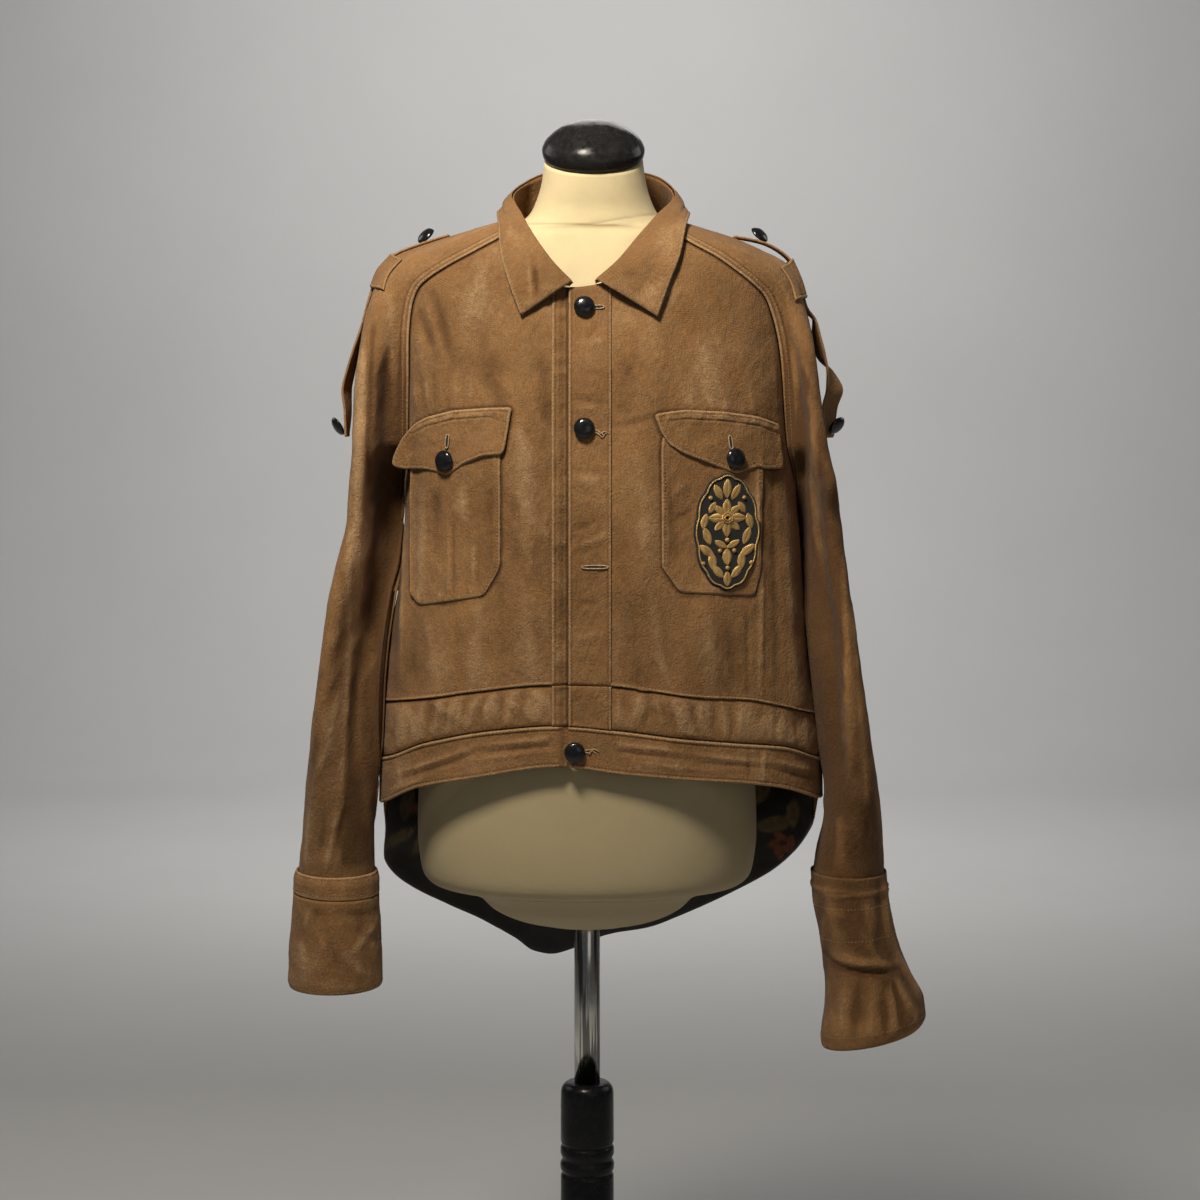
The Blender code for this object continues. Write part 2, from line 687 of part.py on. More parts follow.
def face_out(shell, inside):
    total = 0.0
    for face in shell.faces:
        middle = face.calc_center_median()
        away = Vector((middle.x - inside[0] * MM, middle.y - inside[1] * MM, 0.0))
        total += face.normal.dot(away.normalized()) * face.calc_area()
    if total < 0:
        bmesh.ops.reverse_faces(shell, faces=shell.faces)
        shell.normal_update()


def thicken(made, wall):
    solid = made.modifiers.new("wall", "SOLIDIFY")
    solid.thickness = wall * MM
    solid.offset = -1.0
    solid.use_even_offset = True
    solid.use_rim = True


def cloth(name, grid, finish, wall=WALL, closed=False, inside=(0.0, 0.0)):
    """Sewn piece: an open surface thickened inward."""
    shell = sheet_mesh(name, grid, closed, inside)
    mesh = bpy.data.meshes.new(name)
    shell.to_mesh(mesh)
    shell.free()
    made = add_object(name, mesh, finish)
    thicken(made, wall)
    return made


def laid_piece(name, grid, outline, out, finish, wall=WALL):
    """Sewn-on piece, cut from the panel's own surface and moved out over it."""
    shell = sheet_mesh(name, grid)
    moves = [(point, point.normal.copy()) for point in shell.verts]
    for point, normal in moves:
        point.co += normal * (out + wall) * MM
    turning = 0.0
    count = len(outline)
    for index in range(count):
        x, z = outline[index]
        next_x, next_z = outline[(index + 1) % count]
        turning += x * next_z - next_x * z
    for index in range(count):
        x, z = outline[index]
        next_x, next_z = outline[(index + 1) % count]
        away = Vector((next_z - z, 0.0, x - next_x))
        if turning < 0:
            away.negate()
        everything = list(shell.verts) + list(shell.edges) + list(shell.faces)
        bmesh.ops.bisect_plane(
            shell, geom=everything, dist=1e-6, plane_co=Vector((x, 0.0, z)) * MM,
            plane_no=away.normalized(), clear_outer=True,
        )
    bmesh.ops.remove_doubles(shell, verts=shell.verts, dist=0.4 * MM)
    bmesh.ops.triangulate(shell, faces=shell.faces)
    shell.normal_update()
    mesh = bpy.data.meshes.new(name)
    shell.to_mesh(mesh)
    shell.free()
    made = add_object(name, mesh, finish)
    thicken(made, wall)
    made.modifiers["wall"].use_even_offset = False
    return made


def closed_loft(name, grid, finish):
    """Solid through closed rings, flat at both ends."""
    rows, columns = grid.shape[:2]
    shell = bmesh.new()
    points = [shell.verts.new(Vector(point) * MM) for point in grid.reshape(-1, 3)]
    for face in grid_triangles(rows, columns, True):
        shell.faces.new([points[index] for index in face])
    shell.faces.new(points[:columns])
    shell.faces.new(points[-columns:])
    bmesh.ops.recalc_face_normals(shell, faces=shell.faces)
    bmesh.ops.triangulate(shell, faces=[face for face in shell.faces if len(face.verts) > 3])
    mesh = bpy.data.meshes.new(name)
    shell.to_mesh(mesh)
    shell.free()
    return add_object(name, mesh, finish)


def turned(name, profile, steps, finish, place=(0, 0, 0), axis=(0, 0, 1)):
    """Turned solid: its profile runs down the outer side, from the top to the bottom."""
    mesh = bpy.data.meshes.new(name)
    points = [(radius * MM, 0.0, height * MM) for radius, height in profile]
    edges = [(index, index + 1) for index in range(len(points) - 1)]
    mesh.from_pydata(points, edges, [])
    made = add_object(name, mesh, finish)
    screw = made.modifiers.new("turn", "SCREW")
    screw.angle = math.tau
    screw.steps = steps
    screw.render_steps = steps
    screw.use_merge_vertices = True
    screw.merge_threshold = 0.00001
    lean = Vector(axis).to_track_quat("Z", "Y").to_matrix().to_4x4()
    made.matrix_world = Matrix.Translation(Vector(place) * MM) @ lean
    return made


# Pieces

def surface_direction(x, z, back=False):
    """Outward direction of the front at a place in a front view."""
    span = 4.0
    across = torso(x + span, z, back) - torso(x - span, z, back)
    up = torso(x, z + span, back) - torso(x, z - span, back)
    out = np.cross(across, up)
    out /= np.linalg.norm(out)
    return out if out[1] < 0 else -out


def add_panels():
    drill = (DRILL, 0.85)
    left = front_panel(-1)
    right = front_panel(1)
    cloth("front_left", under_edge(left), drill)
    cloth("front_right", right, drill)
    cloth("back", back_panel(), drill)
    return left, right


def add_sleeves():
    drill = (DRILL, 0.85)
    left = sleeve(-1)
    right = sleeve(1)
    cloth("sleeve_left", left, drill, inside=(-200, 0))
    cloth("sleeve_right", right, drill, inside=(200, 0))
    add_strap(-1, left, STRAP_LEFT, STRAP_LIFT_LEFT, "left")
    add_strap(1, right, STRAP_RIGHT, STRAP_LIFT_RIGHT, "right")


def add_waist():
    drill = (DRILL, 0.85)
    left = strip_panel(-1, WAIST_SEAM, BAND_SEAM, ripples=1.5)
    right = strip_panel(1, WAIST_SEAM, BAND_SEAM, ripples=1.5)
    band_left = strip_panel(-1, BAND_SEAM, HEM)
    band_right = strip_panel(1, BAND_SEAM, HEM)
    cloth("waist_strip_left", under_edge(left), drill)
    cloth("waist_strip_right", right, drill)
    cloth("waistband_left", under_edge(band_left), drill)
    cloth("waistband_right", band_right, drill)
    return left, right


def add_opening(left, right, strip_left, strip_right):
    drill = (DRILL, 0.85)
    outer = ((FRONT_EDGE - 1, 1400), (PLACKET_INNER, 1400), (PLACKET_INNER, 500), (FRONT_EDGE - 1, 500))
    under = ((UNDER_STITCH, 1400), (UNDERLAP_EDGE + 1, 1400), (UNDERLAP_EDGE + 1, 500), (UNDER_STITCH, 500))
    laid_piece("placket_outer", right, outer, GAP, drill)
    laid_piece("placket_waist", strip_right, outer, GAP, drill)
    laid_piece("placket_under", under_edge(left), under, GAP, drill)
    laid_piece("placket_under_waist", under_edge(strip_left), under, GAP, drill)


def add_pockets(left, right):
    drill = (DRILL, 0.85)
    reach = left[:, 8:9, :] + (-24, 9, 0)
    wide_left = np.concatenate([left[:, :9], reach], axis=1)
    laid_piece("pocket_left", left, POCKET_LEFT, GAP, drill)
    laid_piece("flap_left", wide_left, FLAP_LEFT, GAP + LAYER, drill)
    laid_piece("pocket_right", right, POCKET_RIGHT, GAP, drill)
    laid_piece("flap_right", right, FLAP_RIGHT, GAP + LAYER, drill)
    laid_piece("badge", right, BADGE, GAP + LAYER, (THREAD_GOLD, 0.6), wall=1.5)


def add_collar():
    drill = (DRILL, 0.85)
    cloth("collar_stand", collar_stand(), drill, inside=(6, 5))
    cloth("collar_leaf", collar_leaf(), drill, inside=(6, 5))


def add_cuffs():
    drill = (DRILL, 0.85)
    cloth("cuff_band_left", ring_stack(CUFF_BAND_LEFT, 18), drill, closed=True, inside=(-251, -22))
    fold_left = ring_stack(CUFF_LEFT, 18)
    fold_right = ring_stack(CUFF_RIGHT, 18)
    cloth("cuff_left", fold_left, drill, closed=True, inside=(-251, -22))
    cloth("cuff_right", fold_right, drill, closed=True, inside=(275, -31))


def add_lining():
    grid = back_panel()
    low = grid[15:]
    inner = np.array(low)
    inner -= offset_out(low, LAYER)
    cloth("lining_tail", inner[:, 1:-1], (LINING, 0.7))


def offset_out(grid, distance):
    """Moves over the surface of a grid, away from the middle of the garment."""
    out = normals(grid)
    if np.sum(out[..., :2] * grid[..., :2]) < 0:
        out = -out
    return out * distance


def on_shoulder(grid, rows, columns, heights):
    """Part of a sleeve's own grid, moved out by a height for each row and column."""
    out = offset_out(grid, 1.0)
    return grid[rows, columns] + out[rows, columns] * np.asarray(heights)[..., None]


def add_strap(side, grid, path, lift, words):
    """Strap that lies along the shoulder under its loop and then hangs free."""
    drill = (DRILL, 0.85)
    middle = grid.shape[1] // 2
    lift = np.asarray(lift, float)[:, None]
    upper = on_shoulder(grid, slice(2, 7), slice(middle - 1, middle + 2), np.tile(lift, 3))
    path = np.asarray(path, float)
    turn = np.radians(path[:, 3]) * side
    wide = np.stack([-np.sin(turn), np.cos(turn), 0 * turn], axis=1) * STRAP_HALF
    path = path[:, :3]
    hanging = np.stack([path - wide, path, path + wide], axis=1)
    if np.dot(upper[-1, 0] - upper[-1, -1], hanging[0, 0] - hanging[0, -1]) < 0:
        hanging = hanging[:, ::-1]
    strap = np.concatenate([upper, hanging])
    cloth("strap_" + words, strap, drill, STRAP_WALL, inside=(side * 190, 0))
    over = np.tile(lift[2:] + 2 * GAP + LOOP_WALL, 3)
    low = np.full((3, 1), GAP + LOOP_WALL)
    heights = np.concatenate([low + LOOP_CLEAR, low + LOOP_CLEAR, low, over, low], axis=1)
    band = on_shoulder(grid, slice(4, 7), slice(middle - 4, middle + 3), heights)
    band[-1] = band[-2] + (band[-1] - band[-2]) * LOOP_SHARE
    cloth("loop_" + words, band, drill, LOOP_WALL, inside=(side * 190, 0))
    along = upper[1, 1] - upper[0, 1]
    across = upper[0, 2] - upper[0, 0]
    up = np.cross(along, across)
    up = up / np.linalg.norm(up) * math.copysign(1, up[2])
    axis = np.array([side * SHOULDER_LEAN[0], SHOULDER_LEAN[1], SHOULDER_LEAN[2]])
    upright = float(np.dot(up, axis))
    rise = 10.0 * math.sqrt(1 - upright ** 2) - 3.2 * upright + GAP
    place = (upper[0, 1] + 3 * upper[1, 1]) / 4 + up * max(rise, 0.0)
    turned("strap_button_%s_top" % words, BUTTON_PROFILE, 14, (BLACK, 0.2), place, axis)


def add_buttons():
    black = (BLACK, 0.2)
    for name, x, z, layers in FRONT_BUTTONS:
        out = surface_direction(x, z)
        place = torso(x, z) + out * layers * LAYER
        turned(name, BUTTON_PROFILE, 14, black, place, out)
    for name, x, y, z, *axis in STRAP_BUTTONS:
        turned(name, BUTTON_PROFILE, 14, black, (x, y, z), axis)


def add_form():
    cream = (CREAM, 0.8)
    closed_loft("form_torso", form_rings(FORM, 28), cream)
    closed_loft("form_cover", form_rings(COVER, 28), cream)
    lean = math.radians(CAP_LEAN)
    turned("neck_cap", CAP_PROFILE, 24, (BLACK, 0.15), CAP_CENTRE, (0.0, -math.sin(lean), math.cos(lean)))


def add_stand():
    pole = ((0.0, POLE_TOP), (POLE_RADIUS, POLE_TOP), (POLE_RADIUS, POLE_FOOT), (0.0, POLE_FOOT))
    turned("pole", pole, 20, (CHROME, 0.15, 1.0))
    turned("post", POST_PROFILE, 24, (BLACK, 0.3))
    turned("base", BASE_PROFILE, 32, (BLACK, 0.35))


def main():
    for made in list(bpy.data.objects):
        bpy.data.objects.remove(made, do_unlink=True)
    group = bpy.data.collections.new("work_jacket")
    bpy.context.scene.collection.children.link(group)
    left, right = add_panels()
    add_sleeves()
    strip_left, strip_right = add_waist()
    add_opening(left, right, strip_left, strip_right)
    add_pockets(left, right)
    add_collar()
    add_cuffs()
    add_lining()
    add_buttons()
    add_form()
    add_stand()


main()
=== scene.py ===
"""Cropped work jacket of garment-dyed drill, worn by a limbless dress form on a stand.

The cloth panels are shaped at the places of the frame's own panels, in one shared frame.
Tables are in millimetres, X to the right and the front facing -Y, and lengths in the
properties are in metres. Left and right are those of a front view.
"""

import math

import bmesh
import bpy
import numpy as np
from mathutils import Matrix, Vector


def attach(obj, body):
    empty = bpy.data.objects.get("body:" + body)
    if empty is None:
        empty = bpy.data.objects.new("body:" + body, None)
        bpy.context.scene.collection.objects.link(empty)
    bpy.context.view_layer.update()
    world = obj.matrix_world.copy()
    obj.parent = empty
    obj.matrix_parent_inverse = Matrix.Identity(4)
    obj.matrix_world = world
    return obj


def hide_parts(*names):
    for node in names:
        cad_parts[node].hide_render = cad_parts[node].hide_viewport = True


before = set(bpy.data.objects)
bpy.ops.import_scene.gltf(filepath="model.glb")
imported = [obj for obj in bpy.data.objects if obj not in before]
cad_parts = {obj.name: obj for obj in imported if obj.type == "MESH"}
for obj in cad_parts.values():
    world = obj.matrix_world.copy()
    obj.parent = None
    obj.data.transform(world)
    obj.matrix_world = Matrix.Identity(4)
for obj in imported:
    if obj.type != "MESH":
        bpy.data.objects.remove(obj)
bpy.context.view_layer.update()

bl_info = {
    "name": "Work Jacket on a Dress Form",
    "version": (1, 0, 0),
    "blender": (4, 5, 0),
    "location": "3D View > Sidebar > Work Jacket",
    "description": "Builds a worn cropped work jacket with its buttons, badge, dress form and stand",
    "category": "Add Mesh",
}

MM = 0.001

# Cloth, mm
WALL = 1.2
GAP = 0.3
SEAM = 0.6
LAYER = WALL + GAP
UNDERLAP = -2 * LAYER - 0.3
ROUNDNESS = 2.5

# Largest share of its width by its length that a cut may fill
FULL_CUT = 0.99

# Outline of the worn jacket in level sections, from the tail to the neck
TORSO = (
    # height, left half width, right half width, front depth, back depth
    (630, 208, 222, 128, 138),
    (716, 216, 226, 128, 137),
    (750, 219, 231, 128, 136),
    (790, 211, 235, 128, 136),
    (828, 208, 236, 128, 136),
    (872, 207, 235, 128, 134),
    (930, 205, 229, 128, 132),
    (1000, 197, 221, 127, 130),
    (1050, 187, 215, 126, 129),
    (1112, 180, 209, 124, 127),
    (1182, 181, 204, 119, 124),
    (1228, 183, 202, 113, 120),
    (1264, 188, 200, 106, 115),
    (1294, 195, 198, 98, 109),
    (1321, 198, 198, 91, 103),
    (1343, 200, 200, 85, 97),
    (1364, 199, 199, 78, 90),
    (1380, 172, 176, 70, 84),
    (1390, 142, 150, 63, 80),
    (1400, 112, 122, 56, 76),
    (1410, 84, 96, 48, 70),
    (1425, 50, 60, 40, 60),
)

# Large folds of the front and back panels, straight in a front view
FRONT_FOLDS = (
    # x and height of one end, x and height of the other, width, rise
    (-60, 1290, -52, 1040, 26, 5),
    (-108, 1350, -150, 1240, 22, 4),
    (-120, 1010, -140, 945, 20, 5),
    (62, 1280, 50, 1060, 24, 5),
    (112, 1330, 168, 1240, 24, 4),
    (110, 1020, 96, 950, 20, 5),
    (196, 1120, 214, 940, 18, 5),
)
BACK_FOLDS = (
    (-100, 1340, -40, 1180, 34, 6),
    (110, 1340, 50, 1180, 34, 6),
    (-130, 1080, -110, 700, 30, 9),
    (-40, 1060, -46, 640, 28, 8),
    (45, 1080, 30, 660, 28, 8),
    (140, 1080, 125, 700, 30, 9),
)

# Head of each sleeve, from the neck to the underarm
HEAD_LEFT = (
    # front seam x, z; back seam x, z; over-arm x, y, z; bulge front, back; fullness; pinch
    (-72, 1388, -70, 1406, -80, 2, 1404, 0, 0, 0.0, 0.0),
    (-92, 1377, -92, 1398, -108, 2, 1396, 0, 0, 0.0, 0.0),
    (-112, 1366, -112, 1388, -135, 2, 1388, 6, 6, 0.02, 0.0),
    (-131, 1356, -131, 1375, -162, 2, 1379, 12, 12, 0.08, 0.2),
    (-148, 1346, -147, 1357, -190, 2, 1368, 20, 20, 0.25, 0.4),
    (-161, 1335, -160, 1333, -205, 2, 1351, 28, 28, 0.45, 0.6),
    (-168, 1317, -169, 1306, -213, 2, 1329, 36, 36, 0.65, 0.8),
    (-171, 1290, -173, 1275, -221, 1, 1296, 44, 44, 0.85, 0.9),
    (-172, 1256, -174, 1240, -227, 0, 1255, 48, 48, 1.0, 0.9),
    (-173, 1221, -175, 1207, -230, 0, 1216, 52, 52, 1.0, 0.9),
    (-174, 1186, -177, 1177, -231, 0, 1181, 58, 55, 1.0, 0.9),
    (-181, 1150, -181, 1150, -233, -1, 1146, 66, 61, 1.0, 0.9),
)
HEAD_RIGHT = (
    (84, 1387, 82, 1405, 92, 2, 1403, 0, 0, 0.0, 0.0),
    (104, 1375, 104, 1396, 118, 2, 1395, 0, 0, 0.0, 0.0),
    (124, 1364, 123, 1386, 144, 2, 1387, 6, 6, 0.02, 0.0),
    (143, 1351, 142, 1373, 172, 2, 1375, 12, 12, 0.08, 0.2),
    (160, 1338, 158, 1356, 198, 2, 1361, 20, 20, 0.25, 0.4),
    (172, 1326, 171, 1333, 209, 2, 1343, 28, 28, 0.45, 0.6),
    (180, 1307, 180, 1305, 216, 2, 1318, 36, 36, 0.65, 0.8),
    (186, 1283, 186, 1274, 222, 1, 1287, 44, 44, 0.85, 0.9),
    (190, 1252, 190, 1240, 226, 0, 1252, 48, 48, 1.0, 0.9),
    (192, 1220, 193, 1207, 230, 0, 1216, 52, 52, 1.0, 0.9),
    (195, 1186, 198, 1177, 236, 0, 1181, 58, 55, 1.0, 0.9),
    (204.5, 1150, 204.5, 1150, 243, -1, 1146, 66, 61, 1.0, 0.9),
)

# Hanging tube of each sleeve, from below the underarm to the cuff seam
ARM_LEFT = (
    # inner x, z; outer x, z; middle y; half depth; pinch; forward lead of the inner line
    (-182.5, 1108, -236, 1110, -7, 76, 1.2, -4),
    (-187.0, 1062, -248, 1062, -13, 78, 0.9, -9),
    (-193.0, 1020, -256, 1021, -20, 77, 1.5, -24),
    (-198.5, 975, -262, 977, -27, 75, 1.4, -27),
    (-201.5, 928, -269, 930, -31, 71, 1.0, -26),
    (-204.5, 868, -276, 870, -31, 62, 0.6, -17),
    (-211, 808, -282, 810, -28, 52, 0.2, -8),
    (-212, 756, -288, 758, -24, 46, 0.0, 0),
)
ARM_RIGHT = (
    (211.5, 1105, 250, 1107, -6, 70, 0.3, 0),
    (216.3, 1050, 257, 1053, -14, 70, 0.3, -7),
    (220.5, 990, 266, 993, -24, 70, 0.4, -24),
    (227.5, 930, 274, 932, -32, 68, 0.2, -14),
    (232.5, 872, 284, 873, -36, 61, 0.2, -9),
    (235, 832, 290, 833, -36, 53, 0.2, -10),
    (229, 790, 294, 790, -32, 49, 0.1, -4),
    (225, 757, 296, 757, -30, 46, 0.0, 0),
)
# Lengthwise folds of the hanging sleeves
ARM_FOLDS = (
    # turn round the arm, half turns from the over-arm line; upper and lower share; width; rise
    (-0.30, 0.40, 0.82, 0.09, 4.5),
    (-0.66, 0.42, 0.78, 0.10, -7.0),
    (0.45, 0.40, 0.80, 0.12, -2.5),
    (-0.05, 0.60, 0.80, 0.07, -3.5),
)

# Cuffs as stacked rings
CUFF_BAND_LEFT = (
    # middle x, y, z; half width; half depth; slope across
    (-250, -24, 761, 39.9, 47.9, -0.02),
    (-250.3, -24, 750, 42.6, 50.6, -0.03),
    (-250.6, -24, 738, 42.6, 50.4, -0.04),
)
CUFF_LEFT = (
    (-250.6, -24, 737.4, 42.6, 50.4, -0.04),
    (-251, -24, 705, 45, 51, -0.03),
    (-252, -24, 672, 46.5, 51, -0.01),
    (-252, -24, 648, 47, 50.5, 0.0),
    (-252, -24, 644, 45.5, 49, 0.0),
    (-252, -24, 650, 43.5, 47, 0.0),
    (-252, -24, 676, 43, 47, 0.0),
)
CUFF_RIGHT = (
    (260.5, -30, 761, 37.6, 48.3, 0.0),
    (262, -30, 738, 37.4, 48, 0.04),
    (267, -31, 710, 37.5, 47, 0.08),
    (273, -32, 680, 39, 46, 0.12),
    (281, -33, 650, 43, 46, 0.16),
    (286, -34, 624, 50, 47, 0.2),
    (286, -35, 606, 52.5, 48, 0.22),
    (283, -35, 594, 47, 44, 0.22),
    (281, -35, 599, 39, 37, 0.2),
    (280, -34, 614, 34, 32, 0.16),
)

# Level of each cross seam of the front, by x
WAIST_SEAM = (
    # x, height
    (-205, 931), (-170, 938), (-102, 950), (-34, 957), (23, 956), (61, 951),
    (115, 944), (154, 941), (190, 932), (232, 917),
)
BAND_SEAM = (
    (-205, 875), (-189, 882), (-155, 898), (-87, 913), (-28, 918), (32, 913),
    (91, 905), (146, 899), (190, 893), (236, 873),
)
HEM = (
    (-208, 827), (-163, 853), (-117, 864), (-24, 878), (32, 871), (91, 865),
    (146, 860), (190, 852), (236, 832),
)
# Lower edge of the long back, by share of the half width
TAIL = (
    # share, height
    (-1.0, 828), (-0.985, 795), (-0.96, 755), (-0.88, 726), (-0.70, 697), (-0.52, 674),
    (-0.37, 655), (-0.28, 640), (-0.19, 636), (-0.06, 644), (0.06, 655), (0.284, 666),
    (0.43, 679), (0.57, 693), (0.73, 716), (0.84, 736), (0.93, 763), (0.985, 797), (1.0, 831),
)

# Front opening
FRONT_EDGE = -17
UNDERLAP_EDGE = 17
STEP_OUT = -27
STEP_IN = -19.5
PLACKET_INNER = 24
UNDER_STITCH = -33

# Collar, from the left front round the back to the right front
COLLAR = (
    # neck seam x, y, z; fold x, y, z; edge x, y, z
    (-16, -89, 1335.0, -13, -93, 1338, -62, -101, 1307),
    (-45, -86, 1342.8, -31, -86, 1357, -74, -91, 1340),
    (-64, -75, 1370.8, -51, -66, 1386, -81, -80, 1367),
    (-72, -56, 1389.2, -63, -40, 1408, -84, -58, 1395),
    (-80, 2, 1405.0, -73, 4, 1428, -88, 8, 1412),
    (-70, 56, 1407.2, -58, 47, 1446, -80, 68, 1406),
    (-32, 67, 1411.0, -26, 58, 1458, -36, 83, 1405),
    (6, 70, 1412.0, 6, 61, 1461, 6, 87, 1404),
    (44, 67, 1411.0, 38, 58, 1458, 48, 83, 1405),
    (82, 56, 1406.2, 73, 47, 1448, 92, 68, 1405),
    (92, 2, 1404.0, 86, 5, 1429, 101, 8, 1411),
    (84, -56, 1388.2, 67, -40, 1405, 95, -58, 1395),
    (75, -69, 1378.0, 49, -66, 1383, 89, -81, 1366),
    (52, -80, 1358.0, 29, -86, 1358, 79, -91, 1338),
    (9, -87, 1337.6, 9, -93, 1340, 68, -101, 1306),
)

# Sewn-on pieces, outlines in a front view, each clockwise from its upper inner corner
POCKET_LEFT = (
    (-81, 1200), (-81, 1069), (-97, 1041), (-162, 1029), (-171, 1040), (-171, 1165), (-168, 1190),
)
POCKET_RIGHT = (
    (71, 1190), (83, 1206), (166, 1206), (169, 1160), (167, 1063), (161, 1040), (88, 1045), (71, 1069),
)
# Buttons: x, height, layer they stand on
FRONT_BUTTONS = (
    # name, x, height, cloth layers below
    ("front_button_top", -2, 1315, 1),
    ("front_button_middle", -2, 1200, 1),
    ("waist_button", -11, 893, 0),
    ("pocket_button_left", -133, 1169, 2),
    ("pocket_button_right", 140, 1171, 2),
)
# Shoulder straps: places of the hanging end, below the part that lies on the shoulder
STRAP_LEFT = (
    # x, y, z, turn of its width from front-to-back towards across
    (-222, -2, 1303, 0), (-229, -3, 1279, 6), (-235, -4, 1256, 12), (-239, -5, 1236, 14),
    (-238, -6, 1216, 8), (-239, -7, 1191, 0),
)
STRAP_RIGHT = (
    (226.5, 1, 1306, 0), (228.5, 0, 1289, 14), (233, -2, 1271, 14), (242, -4, 1255, -18),
    (246, -5, 1237, -46), (241.5, -6, 1219, -40), (241, -7, 1190, -24),
)
# Height of each strap over the shoulder, from its button to the foot of its loop
STRAP_LIFT_LEFT = (2.3, 3.0, 2.6, 2.3, 2.3)
STRAP_LIFT_RIGHT = (2.3, 8.5, 6.0, 2.6, 2.3)
STRAP_HALF = 13
STRAP_WALL = 2.0
LOOP_SHARE = 0.65
LOOP_WALL = 1.8
LOOP_CLEAR = 0.9
SHOULDER_LEAN = (0.6, -0.42, 0.681)
STRAP_BUTTONS = (
    # name, x, y, z, direction the button faces
    ("strap_button_left_end", -243.8, -7, 1203, -0.78, -0.36, -0.5),
    ("strap_button_right_end", 245.2, -9.0, 1204, 0.62, -0.52, -0.58),
)

# Dress form in level rings, from its underside to the neck
FORM = (
    # middle x, middle y, height, half width, front depth, back depth, forward lean
    (0, 0, 742, 136, 96, 104, 0.0),
    (0, 0, 746, 154, 108, 116, 0.0),
    (0, 0, 757, 165, 114, 124, 0.0),
    (0, 0, 800, 170, 117, 128, 0.0),
    (0, 0, 860, 168, 116, 126, 0.0),
    (0, 0, 940, 150, 106, 110, 0.0),
    (0, 0, 1010, 137, 98, 98, 0.0),
    (0, 0, 1090, 146, 104, 100, 0.0),
    (0, 0, 1180, 160, 109, 106, 0.0),
    (1, 0, 1260, 166, 98, 104, 0.0),
    (2, 0, 1315, 171, 84, 96, 0.0),
    (3, 0, 1340, 171, 77, 89, 0.0),
    (3, 0, 1360, 167, 70, 82, 0.0),
    (4, 0, 1374.5, 157, 63, 74, 0.0),
    (4, 0, 1385.4, 138, 55, 66, 0.0),
    (5, 0, 1393.4, 111, 49, 58, 0.0),
    (6, 0, 1399.5, 80, 50, 52, 0.05),
    (7, -1, 1408, 65, 48, 50, 0.12),
    (7, -2, 1422, 57, 46, 49, 0.2),
    (7, -4, 1442, 51, 45, 47, 0.3),
    (7, -5, 1462, 48.5, 44, 46, 0.4),
)
FORM_ROUNDNESS = 2.3
COVER = (
    (0, 0, 741.6, 133, 93, 101, 0.0),
    (0, 0, 733, 110, 84, 90, 0.0),
    (0, 0, 720, 96, 74, 78, 0.0),
    (0, 0, 708, 72, 54, 58, 0.0),
    (0, 0, 700, 40, 30, 32, 0.0),
)
CAP_CENTRE = (6.5, -5, 1462)
CAP_LEAN = 22
CAP_PROFILE = (
    # radius, height over the neck
    (0.0, 39.0), (14.0, 37.8), (28.0, 33.5), (40.0, 26.0), (48.0, 17.5), (50.5, 11.0),
    (49.5, 5.0), (45.0, 0.6), (0.0, 0.6),
)
POLE_RADIUS = 13.0
POLE_TOP = 699.7
POLE_FOOT = 537.4
POST_PROFILE = (
    # radius, height
    (0.0, 537.0), (18.6, 537.0), (24.2, 534.0), (26.8, 527.0), (27.1, 477.0), (25.4, 473.0),
    (27.1, 470.0), (27.4, 464.5), (25.4, 458.5), (27.4, 453.0), (27.2, 448.0), (25.2, 444.0),
    (27.0, 440.0), (27.2, 90.0), (30.0, 60.0), (40.0, 36.0), (40.0, 26.3), (0.0, 26.3),
)
BASE_PROFILE = (
    (0.0, 26.0), (60.0, 25.0), (130.0, 20.0), (176.0, 13.0), (185.0, 8.0), (185.0, 0.0), (0.0, 0.0),
)

# Fold and crease tables: one end x, height; other end x, height; width; rise

CREASES_LEFT = (
    (-178, 1150, -181, 955, 2.6, 1.5),
    (-185, 1140, -188, 950, 5, -1.6),
    (-145, 1323, -128, 1261, 7, -2),
    (-165, 1323, -142, 1260, 6, -1.4),
    (-155, 1323, -136, 1263, 4, 1),
    (-167, 1254, -164, 1216, 2.2, 0.8),
    (-161, 1252, -158, 1215, 2, -0.7),
    (-154, 1256, -152, 1218, 2.2, 0.9),
    (-147, 1254, -146, 1218, 2, -0.8),
    (-140, 1252, -139, 1218, 2.2, 0.8),
    (-132, 1254, -132, 1219, 2, -0.6),
    (-124, 1256, -125, 1219, 2.4, 0.9),
    (-117, 1250, -117, 1219, 2, -0.7),
    (-109, 1252, -111, 1220, 2.2, 0.7),
    (-101, 1294, -82, 1227, 12, -1.2),
    (-63, 1208, -53, 1076, 10, 1.2),
    (-70, 1151, -67, 1038, 6, -0.8),
    (-44, 1293, -36, 1199, 8, -0.8),
    (-82, 1274, -53, 1161, 9, 0.9),
    (-160, 1294, -156, 1254, 4, 0.7),
    (-93, 1371, -111, 1294, 12, 1.5),
    (-155, 1024, -141, 950, 6, 1),
    (-125, 1027, -119, 951, 5, -0.9),
    (-101, 1037, -107, 951, 6, 1.1),
    (-82, 1061, -77, 952, 6, -0.9),
    (-58, 1038, -49, 962, 7, 1),
    (-171, 1023, -165, 948, 4, -0.7),
    (-39, 1161, -36, 1000, 4, 0.6),
)
